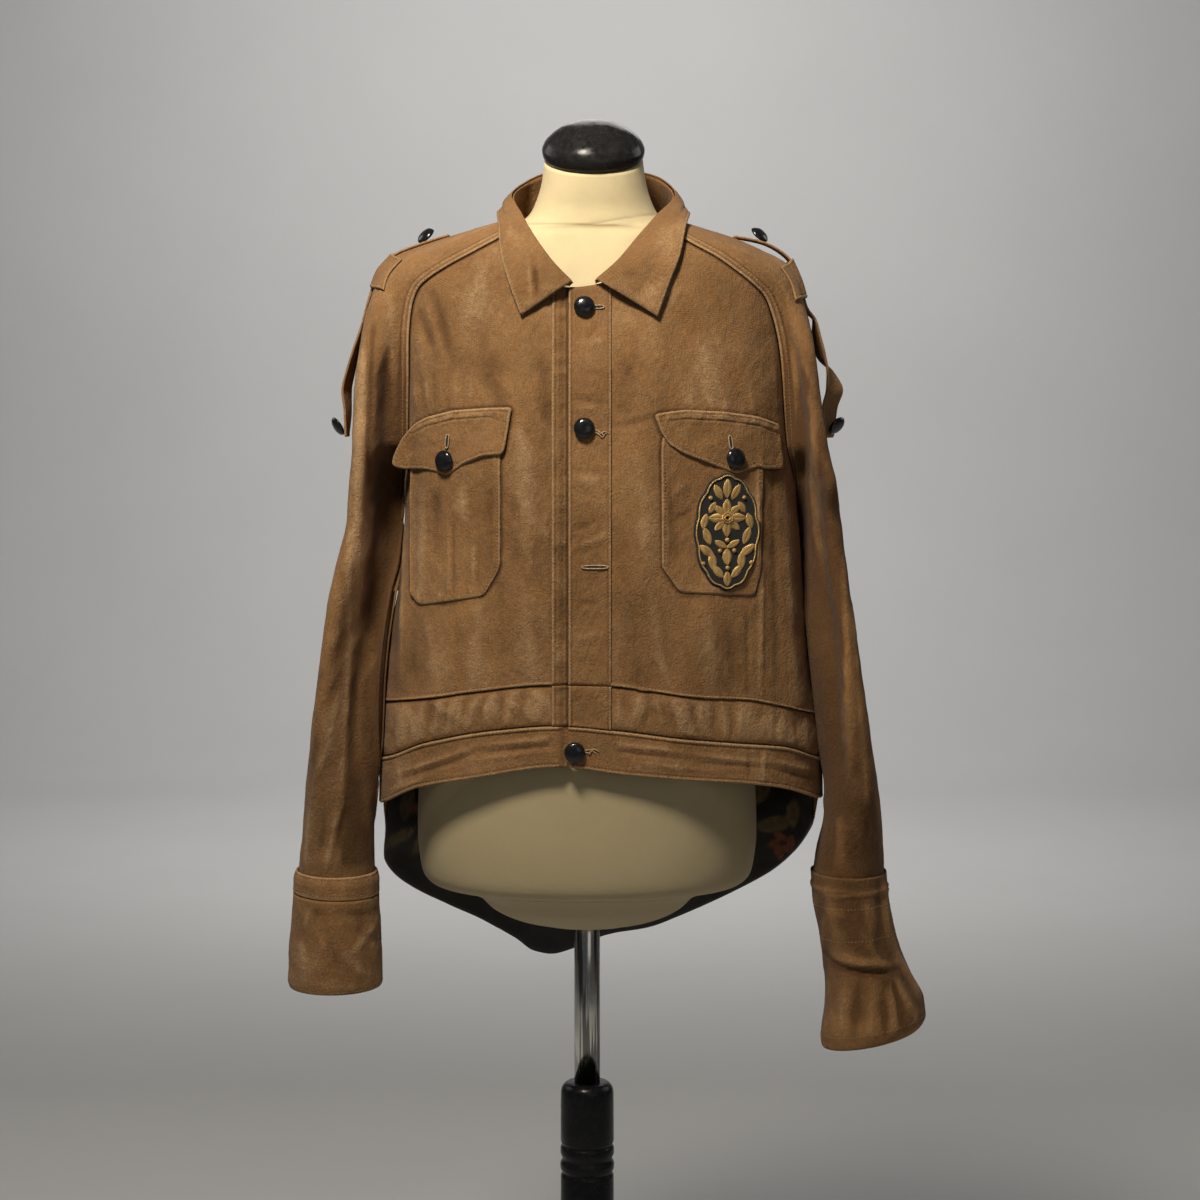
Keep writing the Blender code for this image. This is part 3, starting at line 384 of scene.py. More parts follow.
CREASES_RIGHT = (
    (26, 1202, 62, 1210, 3.5, -0.9),
    (26, 1207, 60, 1215, 3, 0.5),
    (51, 1293, 32, 1227, 10, -1),
    (108, 1294, 123, 1227, 14, 1),
    (65, 1231, 72, 1218, 2.2, 0.6),
    (81, 1229, 85, 1218, 2.2, 0.6),
    (98, 1231, 102, 1218, 2, 0.6),
    (116, 1229, 120, 1217, 2.2, 0.6),
    (131, 1225, 135, 1215, 2, 0.6),
    (149, 1223, 152, 1211, 2, 0.6),
    (157, 1246, 159, 1212, 3, 0.7),
    (51, 1161, 57, 1076, 8, 0.9),
    (41, 1057, 51, 952, 7, -1),
    (62, 1038, 78, 947, 7, 1.1),
    (91, 1034, 103, 945, 6, -0.9),
    (116, 1033, 124, 943, 7, 1.1),
    (135, 1033, 141, 943, 5, -0.8),
    (167, 1198, 163, 1074, 3, 1.2),
    (169, 1074, 167, 940, 2.6, 1.6),
    (154, 1036, 155, 940, 1.6, -1.2),
    (179, 1208, 185, 938, 5, -1.2),
    (193, 1130, 203, 937, 6, 1),
    (210, 1070, 221, 926, 5, -1),
    (178, 1295, 186, 1208, 5, 0.8),
    (51, 1341, 109, 1322, 10, 0.6),
)
POCKET_CREASES_LEFT = (
    (-132, 1120, -130, 1033, 2.6, 1.1),
    (-127, 1113, -126, 1035, 2.2, -0.8),
    (-106, 1092, -107, 1043, 2.4, 0.9),
    (-102, 1094, -103, 1045, 2.2, -0.6),
    (-156, 1131, -160, 1035, 6, 0.8),
    (-144, 1151, -144, 1074, 7, -1),
    (-118, 1151, -115, 1104, 6, 0.8),
    (-91, 1161, -90, 1076, 5, -0.6),
    (-160, 1047, -161, 1029, 1.8, 0.7),
    (-150, 1045, -150, 1030, 1.8, -0.6),
    (-140, 1048, -139, 1031, 1.8, 0.7),
    (-121, 1050, -120, 1035, 1.8, 0.7),
    (-113, 1052, -113, 1037, 1.6, -0.6),
)
POCKET_CREASES_RIGHT = (
    (77, 1161, 85, 1076, 6, -1),
    (85, 1114, 96, 1121, 3, -0.8),
    (77, 1133, 98, 1151, 4, 0.6),
    (162, 1151, 164, 1050, 4, 0.9),
    (108, 1056, 147, 1046, 5, 0.6),
)
PLACKET_CREASES = (
    (-13, 1229, 21, 1223, 3, -0.9),
    (-11, 1218, 13, 1221, 3, 0.6),
    (-13, 1161, 19, 1157, 3, -0.8),
    (-13, 1150, 13, 1153, 3, 0.5),
    (-12, 1104, 13, 1114, 3, -0.8),
    (-6, 1090, 21, 1100, 3, 0.7),
    (-12, 1080, 9, 1087, 3, -0.7),
    (-11, 1038, 17, 1032, 3, -0.7),
    (4, 1027, 21, 1038, 2.4, 0.6),
    (-13, 1000, 13, 1006, 3, 0.5),
    (-10, 1279, 19, 1284, 4, 0.5),
    (-12, 1253, 20, 1249, 3, -0.5),
    (-13, 1133, 19, 1130, 3, 0.5),
    (-10, 981, 19, 974, 3, -0.5),
)
STRIP_CREASES_LEFT = (
    (-157, 935, -162, 903, 3, 1.4),
    (-149, 938, -153, 906, 2.4, -1.2),
    (-140, 940, -146, 909, 3, 1.5),
    (-132, 942, -136, 911, 2.2, -1.1),
    (-124, 943, -132, 911, 3, 1.4),
    (-115, 944, -120, 914, 2.4, -1.3),
    (-104, 947, -113, 915, 3, 1.5),
    (-96, 950, -102, 919, 2.4, -1.1),
    (-88, 948, -94, 919, 3, 1.3),
    (-79, 952, -82, 921, 2.4, -1.2),
    (-69, 952, -75, 921, 3, 1.3),
    (-58, 954, -63, 923, 2.6, -1.2),
    (-50, 952, -46, 924, 3, 1.1),
    (-39, 952, -38, 926, 2.2, -0.9),
    (-177, 921, -182, 893, 3, 1.2),
    (-186, 916, -191, 888, 3, -1.2),
    (-169, 926, -173, 898, 2.4, -1),
)
STRIP_CREASES_RIGHT = (
    (30, 948, 28, 919, 2.6, 1),
    (40, 951, 34, 920, 2.6, -1.1),
    (51, 947, 42, 917, 3, 1.4),
    (61, 949, 55, 916, 2.6, -1.3),
    (65, 945, 74, 916, 3, 1.4),
    (78, 943, 85, 912, 2.6, -1.3),
    (85, 939, 99, 908, 3.2, 1.6),
    (99, 938, 108, 906, 2.6, -1.4),
    (106, 938, 118, 904, 3.2, 1.5),
    (120, 936, 124, 901, 2.6, -1.3),
    (130, 938, 135, 900, 3, 1.4),
    (140, 935, 140, 901, 2.4, -1.3),
    (149, 937, 148, 900, 3, 1.2),
    (181, 935, 183, 898, 3, -1.2),
    (191, 932, 189, 895, 3, 1.2),
    (202, 929, 205, 890, 3, -1.2),
    (214, 923, 214, 886, 3, 1.1),
)
BAND_CREASES_LEFT = (
    (-182, 866, -111, 895, 3, 0.9),
    (-178, 861, -102, 892, 2.4, -0.8),
    (-102, 898, -27, 907, 3, 0.8),
    (-96, 892, -25, 900, 2.6, -0.8),
    (-111, 884, -44, 893, 3, 0.6),
    (-191, 847, -151, 866, 3, 0.7),
    (-184, 877, -180, 849, 3, 0.7),
    (-171, 883, -165, 855, 3, -0.7),
)
BAND_CREASES_RIGHT = (
    (23, 901, 89, 893, 3, 0.8),
    (17, 895, 99, 885, 2.6, -0.8),
    (99, 890, 167, 880, 3, 0.8),
    (108, 882, 171, 874, 2.6, -0.7),
    (177, 881, 228, 863, 3, 0.8),
    (177, 873, 228, 855, 2.6, -0.8),
    (171, 891, 170, 860, 3, 1.2),
    (156, 894, 157, 863, 2, -1),
    (51, 883, 128, 872, 3, 0.6),
)
SLEEVE_CREASES_LEFT = (
    (-206, 1295, -209, 1130, 3, -2),
    (-214, 1300, -223, 993, 6, 2),
    (-224, 993, -223, 874, 6, 1.2),
    (-227, 1130, -230, 993, 2, 1.3),
    (-230, 993, -235, 894, 2, 1.4),
    (-235, 894, -239, 834, 2.2, 1.4),
    (-239, 834, -247, 808, 2.4, 1.4),
    (-247, 808, -258, 756, 2.4, 1.4),
    (-225, 983, -230, 874, 3, -0.9),
    (-233, 828, -250, 774, 3, -0.8),
    (-240, 943, -250, 894, 3, 0.9),
    (-250, 894, -265, 858, 3, 1),
    (-265, 858, -270, 832, 2.6, 1),
    (-270, 832, -278, 758, 2.4, 1.1),
    (-257, 933, -271, 834, 5, -0.8),
    (-253, 844, -262, 774, 4, -0.8),
    (-194, 1284, -183, 1259, 1.6, 0.8),
    (-189, 1324, -186, 1208, 5, 0.9),
    (-180, 1295, -180, 1198, 3, -0.7),
    (-197, 1266, -201, 1159, 5, -1),
    (-194, 1159, -197, 933, 8, -1.2),
    (-218, 854, -212, 766, 5, 0.8),
    (-228, 814, -222, 762, 4, -0.7),
    (-241, 794, -244, 758, 3, 0.7),
)
SLEEVE_CREASES_RIGHT = (
    (195, 1274, 198, 1149, 3, -1.5),
    (201, 1295, 205, 1130, 3.5, 1.2),
    (208, 1247, 215, 1071, 4, -2),
    (215, 1227, 228, 1052, 4, 1.2),
    (228, 1052, 234, 914, 4, 0.9),
    (237, 1091, 243, 874, 5, -1.8),
    (248, 1071, 255, 874, 4, 1.5),
    (257, 1032, 261, 953, 1.8, 0.9),
    (261, 953, 267, 894, 1.8, 0.9),
    (267, 894, 272, 844, 2, 1),
    (272, 844, 282, 800, 2.2, 1),
    (276, 839, 274, 788, 4, -1.6),
    (226, 1071, 231, 993, 2.4, -0.8),
    (221, 993, 224, 834, 3, 0.7),
    (228, 874, 232, 766, 5, -0.9),
    (244, 834, 250, 766, 5, 0.9),
    (262, 794, 264, 766, 3, -0.6),
    (285, 874, 289, 774, 3, 0.8),
    (236, 814, 232, 766, 4, 0.7),
    (223, 1188, 234, 1071, 3, -0.9),
)
CUFF_CREASES_LEFT = (
    (-283, 733, -252, 723, 3, -0.8),
    (-271, 734, -278, 709, 2.6, 0.8),
    (-264, 733, -268, 713, 2.2, -0.7),
    (-242, 727, -207, 721, 3.5, -0.9),
    (-207, 713, -231, 685, 4, 1),
    (-252, 699, -243, 671, 4, -0.8),
    (-282, 699, -276, 664, 4, 0.8),
    (-231, 677, -217, 659, 3, 0.8),
    (-285, 737, -283, 723, 2, 0.8),
    (-252, 736, -211, 733, 2.6, -0.8),
    (-221, 704, -205, 689, 3, -0.7),
    (-266, 709, -254, 689, 3.5, 0.7),
)
CUFF_CREASES_RIGHT = (
    (227, 681, 251, 672, 3.5, -1.6),
    (250, 671, 301, 666, 3.2, -3),
    (245, 679, 300, 674, 4, 2.2),
    (301, 664, 324, 621, 2.6, 1.6),
    (301, 659, 314, 603, 2.6, -1.3),
    (298, 655, 305, 593, 2.8, 1.4),
    (290, 651, 293, 593, 3, -1.2),
    (281, 653, 277, 593, 3.4, 1.2),
    (293, 758, 297, 689, 3, 1.4),
    (286, 758, 290, 689, 3, -1),
    (234, 758, 247, 689, 5, 0.8),
    (258, 754, 264, 689, 6, -0.8),
    (272, 748, 280, 691, 4, 0.7),
    (255, 649, 251, 609, 4, 1.4),
    (267, 659, 261, 599, 4, -1),
    (306, 669, 330, 629, 2.4, -1),
    (308, 679, 333, 639, 2.6, 1),
)
BACK_CREASES = (
    (-150, 1120, -120, 1000, 8, -1.5),
    (-90, 1040, -84, 900, 6, 1.2),
    (-20, 1300, -10, 1180, 10, 1.2),
    (30, 1290, 60, 1170, 9, -1.2),
    (88, 1050, 82, 880, 6, -1.3),
    (150, 1130, 128, 1010, 8, 1.4),
    (-60, 900, -66, 720, 6, -1.3),
    (10, 980, 6, 740, 7, 1.4),
    (66, 900, 60, 720, 6, 1.2),
    (-176, 1000, -170, 820, 5, 1.2),
    (186, 1000, 190, 820, 5, -1.2),
    (-110, 1330, -20, 1300, 8, 0.9),
    (110, 1330, 20, 1296, 8, 0.9),
)
LINING_CREASES = (
    (-170, 850, -130, 740, 8, -2.0),
    (-120, 840, -100, 700, 8, 2.0),
    (120, 850, 150, 730, 7, 2.0),
    (160, 860, 190, 770, 7, -2.0),
    (176, 820, 150, 760, 5, 1.6),
)
COLLAR_CREASES = (
    # one end: place along the collar, share from fold to edge; other end; width in places; rise
    (0.25, 0.62, 1.1, 0.36, 0.10, -1.6),
    (0.3, 0.72, 1.15, 0.46, 0.12, 1.0),
    (2.0, 0.3, 2.6, 0.8, 0.4, 0.7),
    (12.1, 0.3, 11.6, 0.8, 0.4, 0.8),
    (13.2, 0.85, 13.9, 0.7, 0.2, 0.8),
    (13.0, 0.4, 13.6, 0.3, 0.4, -0.6),
)

SLEEVE_BACK_CREASES = {
    True: (
        (-215, 1230, -228, 1090, 7, 1.5), (-196, 1200, -214, 1060, 6, -1.4), (-232, 1060, -244, 900, 7, 1.4),
        (-216, 1020, -226, 880, 6, -1.3), (-262, 960, -270, 800, 6, 1.2), (-190, 1290, -215, 1230, 8, 1.2),
        (-232, 880, -240, 790, 5, 1.1), (-250, 860, -262, 780, 5, -1.0),
    ),
    False: (
        (215, 1230, 226, 1090, 7, 1.5), (204, 1200, 218, 1060, 6, -1.4), (234, 1060, 246, 900, 7, 1.4),
        (228, 1020, 238, 880, 6, -1.3), (262, 960, 276, 820, 6, 1.2), (196, 1290, 212, 1230, 8, 1.2),
        (250, 880, 258, 790, 5, 1.1), (270, 860, 280, 780, 5, -1.0),
    ),
}

# Leaves and petals of the lining's print, in a front view
LEAVES = (
    # middle x, z; length; width; turn
    (182, 818, 44, 17, 60), (158, 800, 40, 15, 115), (196, 786, 46, 18, 20), (170, 764, 42, 16, 75),
    (204, 838, 40, 15, 130), (140, 774, 44, 17, 35), (214, 800, 36, 14, 85), (120, 744, 44, 16, 105),
    (150, 736, 38, 14, 10), (96, 724, 42, 16, 60), (70, 704, 40, 15, 130), (40, 694, 44, 16, 40),
    (10, 690, 42, 15, 100), (-22, 684, 44, 16, 20), (-54, 700, 40, 15, 70), (-86, 716, 44, 17, 120),
    (-116, 726, 40, 15, 45), (-146, 744, 42, 16, 90), (-172, 770, 44, 17, 55), (-150, 800, 40, 15, 130),
    (-188, 812, 42, 16, 80), (-196, 776, 36, 14, 20), (-176, 838, 40, 15, 110), (-128, 780, 38, 14, 15),
    (128, 820, 42, 15, 70), (100, 790, 40, 15, 20), (60, 770, 42, 16, 110), (20, 750, 40, 15, 60),
    (-20, 740, 42, 16, 130), (-60, 760, 40, 15, 30), (-96, 790, 42, 16, 75), (188, 856, 36, 14, 40),
)
PETALS = (
    (176, 838, 20, 10, 0), (186, 846, 20, 10, 72), (178, 852, 20, 10, 144),
    (168, 846, 20, 10, 216), (168, 836, 20, 10, 288),
    (206, 762, 18, 9, 10), (212, 770, 18, 9, 82),
    (202, 774, 18, 9, 154), (196, 766, 18, 9, 226), (200, 758, 18, 9, 298),
    (150, 758, 20, 10, 20), (158, 766, 20, 10, 92), (148, 772, 20, 10, 164), (140, 764, 20, 10, 236),
    (-170, 796, 20, 10, 0), (-160, 804, 20, 10, 72), (-168, 812, 20, 10, 144), (-180, 804, 20, 10, 216),
    (-140, 762, 18, 9, 30), (-132, 770, 18, 9, 102), (-142, 776, 18, 9, 174),
    (-60, 732, 18, 9, 0), (-52, 740, 18, 9, 80),
    (-62, 744, 18, 9, 160), (40, 726, 18, 9, 20), (48, 734, 18, 9, 100),
)

# Badge: raised leaves of gilt thread, and their places
BADGE_LEAVES = (
    # middle x, z; length; width; turn; rise
    (133, 1124.5, 17, 8.5, 90, 1.6), (142.5, 1115, 17, 8.5, 0, 1.6),
    (133, 1105.5, 17, 8.5, 270, 1.6), (123.5, 1115, 17, 8.5, 180, 1.6),
    (140, 1122, 13, 6.5, 45, 1.2), (140, 1108, 13, 6.5, 315, 1.2),
    (126, 1108, 13, 6.5, 225, 1.2), (126, 1122, 13, 6.5, 135, 1.2),
    (133, 1143, 18, 8, 90, 1.4), (124.5, 1139.5, 16, 7, 118, 1.2), (141.5, 1139.5, 16, 7, 62, 1.2),
    (114, 1098, 17, 7.5, 110, 1.3), (152, 1098, 17, 7.5, 70, 1.3),
    (111.5, 1112, 15, 7, 75, 1.2), (154.5, 1112, 15, 7, 105, 1.2),
    (113.5, 1084, 17, 7.5, 140, 1.3), (152.5, 1084, 17, 7.5, 40, 1.3),
    (119, 1074, 17, 7.5, 95, 1.3), (147, 1074, 17, 7.5, 85, 1.3),
    (119, 1125, 12, 6, 60, 1.0), (147, 1125, 12, 6, 120, 1.0),
    (124, 1064, 15, 7, 130, 1.3), (142, 1064, 15, 7, 50, 1.3),
    (133, 1057, 14, 7.5, 90, 1.4), (133, 1078, 16, 9, 90, 1.5),
    (127, 1090, 14, 6, 150, 1.2), (139, 1090, 14, 6, 30, 1.2),
)
BADGE_BEADS = (
    (133, 1094), (126, 1084), (140, 1084), (117, 1134), (149, 1134), (110, 1072), (156, 1072), (133, 1067.5),
)

# Flap outlines of the right and left pockets, with the small dip at each button
FLAP_SHAPES = (
    (
        (63.9, 1213.3), (77, 1215.7), (93.7, 1217.5), (129.8, 1215.6), (161.9, 1211.8), (184.6, 1204),
        (187.5, 1160.5), (166.2, 1161), (164.2, 1163.5), (154.2, 1160.3), (141.9, 1156.6), (129.7, 1161.5),
        (108, 1169.7), (88.8, 1177.4), (76.9, 1185.4), (69.8, 1196.3), (66, 1207.2),
    ),
    (
        (-176, 1191.4), (-165.3, 1204), (-152.5, 1210.8), (-127.7, 1217.1), (-91.4, 1219.6), (-69.5, 1219.9),
        (-70.9, 1212.8), (-76.1, 1178.8), (-78.9, 1175), (-96.2, 1174), (-115.5, 1166.3), (-124.7, 1160.1),
        (-132.6, 1154.7), (-141, 1157.9), (-152.5, 1160.6), (-177.1, 1160.4), (-186.4, 1163.9),
        (-184.6, 1173.7), (-180.4, 1183.6),
    ),
)
BUTTONHOLES = (
    # middle x, z; length; turn; side; height over the front
    (8.3, 1069.4, 25, 0, 1, 2.0),
    (9.5, 1314.6, 15, 0, 1, 2.0),
    (-131.1, 1187.5, 13, 84, -1, 3.6),
    (136.0, 1186.5, 13, 98, 1, 3.6),
)
FRAYS = (
    # x, z; loose ends as runs of x, z and height; height over the front
    (8.5, 1198, (
        ((-3, 1, 0.4), (2, 0, 1.2), (5, -3, 0.6), (9, -1, 0.5), (13, -3, 0.4)),
        ((-2, -1, 0.4), (3, -3, 1.0), (6, -6, 0.8), (9, -5, 0.4)),
        ((0, 1, 0.6), (4, -1, 1.4), (8, -4, 0.8), (11, -2, 0.3)),
    ), 1.9),
    (-1.5, 894.5, (
        ((-2, 0, 0.5), (4, 1, 1.0), (9, 1.5, 0.8), (14, -1, 0.4)),
        ((-1, -1, 0.5), (4, -2, 1.0), (7, 0, 0.6), (11, -3, 0.4)),
    ), 0.4),
    (-16.5, 889, (
        ((0, 4, 0.6), (-0.5, -4, 0.8), (1.5, -10, 0.8), (5.5, -14.5, 0.6)),
        ((1, 2, 0.6), (1.5, -6, 1.0), (4, -11, 0.8), (8, -14, 0.8)),
    ), 0.6),
)
BUTTON_FINE = (
    (0.0, 7.3), (3.0, 7.15), (6.0, 6.6), (8.3, 5.5), (9.6, 4.1), (10.0, 3.1), (9.7, 2.4),
    (8.6, 1.9), (3.0, 1.7), (3.0, 0.3), (0.0, 0.3),
)

FLAP_BUTTON_X = (142.5, -132.5)
FLAP_CURL = 2.0
INNER_SWELL = 4.6
POCKETS = (POCKET_RIGHT, POCKET_LEFT)


# Curves and surfaces

def unit(value):
    """Value kept between 0 and 1."""
    return np.clip(value, 0, 1)


def bell(off):
    """Bell curve that is 1 in its middle."""
    return np.exp(-off ** 2)


def smooth(at, knots, values):
    """Cubic through the rows of a table that never runs past them."""
    knots = np.asarray(knots, float)
    values = np.asarray(values, float)
    at = np.clip(np.asarray(at, float), knots[0], knots[-1])
    step = np.diff(knots)
    rise = np.diff(values) / step
    slope = np.empty_like(values)
    slope[0] = rise[0]
    slope[-1] = rise[-1]
    before, after = rise[:-1], rise[1:]
    same = before * after > 0
    total = np.where(same, before + after, 1.0)
    slope[1:-1] = np.where(same, 2 * before * after / total, 0.0)
    cell = np.clip(np.searchsorted(knots, at, side="right") - 1, 0, len(knots) - 2)
    share = (at - knots[cell]) / step[cell]
    start, end = values[cell], values[cell + 1]
    bend = step[cell] * share * (1 - share)
    ease = share * share * (3 - 2 * share)
    return start + (end - start) * ease + bend * (slope[cell] * (1 - share) - slope[cell + 1] * share)


def table_curve(rows, at):
    """Values of every column of a table at row positions, as one array per place."""
    rows = np.asarray(rows, float)
    places = np.arange(len(rows))
    columns = [smooth(at, places, rows[:, column]) for column in range(rows.shape[1])]
    return np.stack(columns, axis=-1)


def seam_height(table, x):
    return smooth(x, [row[0] for row in table], [row[1] for row in table])


def torso_sizes(x, z):
    heights = [row[0] for row in TORSO]
    left = smooth(z, heights, [row[1] for row in TORSO])
    right = smooth(z, heights, [row[2] for row in TORSO])
    front = smooth(z, heights, [row[3] for row in TORSO])
    back = smooth(z, heights, [row[4] for row in TORSO])
    return np.where(np.asarray(x) < 0, left, right), front, back


def fold_rise(x, z, folds):
    """Height of the folds over the plain cloth, in a front view."""
    rise = np.zeros(np.broadcast(x, z).shape)
    for x_top, z_top, x_low, z_low, width, height in folds:
        along = np.array([x_low - x_top, z_low - z_top], float)
        length = float(np.hypot(*along))
        along /= length
        reach = (x - x_top) * along[0] + (z - z_top) * along[1]
        off = (x - x_top) * -along[1] + (z - z_top) * along[0]
        past = np.maximum(np.maximum(-reach, reach - length), 0) / (1.5 * width)
        rise = rise + height * np.exp(-(off / width) ** 2 - past ** 2)
    return rise


def torso(x, z, back=False):
    """Points of the worn front or back over places in a front view."""
    x = np.asarray(x, float)
    z = np.asarray(z, float)
    half, front_depth, back_depth = torso_sizes(x, z)
    depth = back_depth if back else front_depth
    share = unit(np.abs(x) / half)
    y = depth * (1 - share ** ROUNDNESS) ** (1 / ROUNDNESS)
    fade = unit((1 - share) * 8)
    y = y + fade * fold_rise(x, z, BACK_FOLDS if back else FRONT_FOLDS)
    y = y + SEAM / 2
    return np.stack([x, y if back else -y, z], axis=-1)


def normals(points, closed=False):
    """Unit normals of a grid of points, rows by columns."""
    down = np.gradient(points, axis=0)
    if closed:
        across = np.roll(points, -1, axis=1) - np.roll(points, 1, axis=1)
    else:
        across = np.gradient(points, axis=1)
    normal = np.cross(across, down)
    length = np.linalg.norm(normal, axis=-1, keepdims=True)
    return normal / np.maximum(length, 1e-9)


# Grids of the jacket panels

def front_panel(side, rows_head, rows_body, columns):
    """Front panel from the opening to the sleeve and side seams, neck to waist seam."""
    head = HEAD_LEFT if side < 0 else HEAD_RIGHT
    start = STEP_OUT if side < 0 else FRONT_EDGE
    seam_rows = table_curve(head, np.linspace(0, len(head) - 1, rows_head))
    turn = np.sin(np.linspace(0, math.pi / 2, columns))
    grid = []
    for row in range(rows_head + rows_body - 1):
        share = min(row / (rows_head - 1), 1.0)
        if row < rows_head:
            seam_x, seam_z = seam_rows[row, 0], seam_rows[row, 1]
            middle_z = 1334 + (1146 - 1334) * share
        else:
            drop = (row - rows_head + 1) / (rows_body - 1)
            foot_x = side * float(torso_sizes(side, 936)[0])
            seam_z = 1150 + (float(seam_height(WAIST_SEAM, foot_x)) + GAP - 1150) * drop
            middle_z = 1146 + (float(seam_height(WAIST_SEAM, start)) + GAP - 1146) * drop
            seam_x = side * float(torso_sizes(side, seam_z)[0])
        x = start + (seam_x - start) * turn
        lean = 1 + 1.2 * (1 - share) ** 2
        z = middle_z + (seam_z - middle_z) * turn ** lean
        if row >= rows_head:
            waist = seam_height(WAIST_SEAM, x) + GAP
            z = z + (waist - (middle_z + (seam_z - middle_z) * turn)) * drop ** 3
        grid.append(torso(x, z))
    return np.array(grid)


def strip_panel(side, top, foot, rows, columns):
    """Level strip between two cross seams of one front."""
    start = STEP_OUT if side < 0 else FRONT_EDGE
    turn = np.sin(np.linspace(0, math.pi / 2, columns))
    grid = []
    for row in range(rows):
        drop = row / (rows - 1)
        z = np.full(columns, 936.0)
        for _ in range(3):
            end = side * float(torso_sizes(side, z[-1])[0])
            x = start + (end - start) * turn
            high = seam_height(top, x) - GAP
            low = seam_height(foot, x) + GAP
            z = high + (low - high) * drop
        grid.append(torso(x, z))
    return np.array(grid)


def sleeve_ring(row, turns):
    """One section of a sleeve: turns run from the front seam over the arm to the back."""
    front_x, front_z, back_x, back_z, over_x, over_y, over_z, bulge_f, bulge_b, full, pinch = row
    ahead = (turns < 0)[:, None]
    over = np.array([over_x, over_y, over_z])
    seam = np.where(ahead, torso(front_x, front_z), torso(back_x, back_z, back=True))
    away = over - seam
    seam = seam + away / np.linalg.norm(away, axis=1, keepdims=True) * SEAM
    bulge = np.where(turns < 0, bulge_f, -bulge_b)
    angle = np.abs(turns) * math.pi
    wide = np.cos(angle / 2)
    deep = np.sin(angle / 2)
    quarter = np.stack([
        seam[:, 0] + (over[0] - seam[:, 0]) * wide,
        over[1] + (seam[:, 1] - over[1]) * deep,
        seam[:, 2] + (over[2] - seam[:, 2]) * wide,
    ], axis=1)
    half = over * wide[:, None] ** 2 + seam * deep[:, None] ** 2
    half[:, 1] -= bulge * (np.sin(angle) + pinch / 2 * np.sin(2 * angle))
    return quarter * (1 - full) + half * full


def arm_ring(values, turns):
    """One section of the hanging tube, closed at its inner line but for the seam."""
    inner_x, inner_z, outer_x, outer_z, middle_y, half_depth, pinch, lead = values
    peak = pinch / (1 + pinch)
    most = math.sqrt(1 - peak * peak) * (1 + peak) ** pinch
    side = math.copysign(1, outer_x)
    angle = np.abs(turns) * math.pi
    front = np.where(turns < 0, -1, 1)
    ends = np.abs(turns) == 1
    wide = np.cos(angle / 2) ** 2
    deep = np.sin(angle) * np.maximum(1 + np.cos(angle), 0) ** pinch / most
    y = middle_y + front * half_depth * deep + lead * (1 - wide) ** 4
    y = y + ends * front * SEAM / 2
    x = inner_x + (outer_x - inner_x) * wide + ends * side * 0.1
    z = inner_z + (outer_z - inner_z) * wide
    return np.stack([x, y, z], axis=1)


def arm_fold_rise(turns, share):
    """Large lengthwise folds of a hanging sleeve over its turns and rows."""
    rise = np.zeros(np.broadcast(turns, share).shape)
    for centre, top, foot, width, height in ARM_FOLDS:
        off = (turns - centre) / width
        past = np.maximum(np.maximum(top - share, share - foot), 0) / 0.07
        rise = rise + height * np.exp(-off * off - past * past)
    return rise


def sleeve_turns(columns):
    """Turns round a sleeve, closer together beside its seams."""
    even = np.linspace(-1, 1, columns)
    return 0.45 * even + 0.55 * np.sin(even * math.pi / 2)


def sleeve_base(side, turns):
    """Plain sleeve of one side as rows from the neck to the cuff seam, as many as its solid has."""
    head = HEAD_LEFT if side < 0 else HEAD_RIGHT
    arm = ARM_LEFT if side < 0 else ARM_RIGHT
    grid = [sleeve_ring(values, turns) for values in table_curve(head, np.linspace(0, len(head) - 1, 12))]
    grid += [arm_ring(values, turns) for values in table_curve(arm, np.linspace(0, len(arm) - 1, 9))]
    return np.array(grid)


def outward(grid, middle=None):
    """Unit normals of a grid that point away from its middle."""
    out = normals(grid)
    middle = grid.mean(axis=1, keepdims=True) if middle is None else middle
    return -out if np.sum(out * (grid - middle)) < 0 else out


def ring_stack(rows, columns, places):
    """Closed rings from rows of middle, half width, half depth and slope."""
    x, y, z, half, deep, slope = table_curve(rows, places).T[:, :, None]
    angle = np.linspace(0, 2 * math.pi, columns, endpoint=False)[None, :]
    return np.stack(
        [x + half * np.cos(angle), y + deep * np.sin(angle), z + slope * half * np.cos(angle)], axis=-1,
    )


def form_rings(rows, columns, places):
    """Closed rings of the dress form."""
    x, y, z, half, front, back, lean = table_curve(rows, places).T[:, :, None]
    angle = np.linspace(0, 2 * math.pi, columns, endpoint=False)[None, :]
    cosine, sine = np.cos(angle), np.sin(angle)
    off_x = half * np.sign(cosine) * np.abs(cosine) ** (2 / FORM_ROUNDNESS)
    deep = np.where(sine > 0, back, front)
    off_y = deep * np.sign(sine) * np.abs(sine) ** (2 / FORM_ROUNDNESS)
    return np.stack([x + off_x, y + off_y, z + lean * off_y], axis=-1)


# Creases, gathers, rubbed edges and the painted shade beside seams

def crease_rise(x, z, rows):
    """Height of listed creases, each fading out towards its two ends."""
    rise = np.zeros(np.broadcast(x, z).shape)
    for x_start, z_start, x_end, z_end, width, height in rows:
        along = np.array([x_end - x_start, z_end - z_start], float)
        length = float(np.hypot(*along))
        along /= length
        reach = ((x - x_start) * along[0] + (z - z_start) * along[1]) / length
        off = (x - x_start) * -along[1] + (z - z_start) * along[0]
        past = np.maximum(np.maximum(-reach, reach - 1), 0) * length / (2 * width)
        body = 0.35 + 0.65 * np.sin(math.pi * unit(reach))
        rise = rise + 1.4 * height * body * np.exp(-np.abs(off / width) ** 1.5 - past ** 2)
    return rise


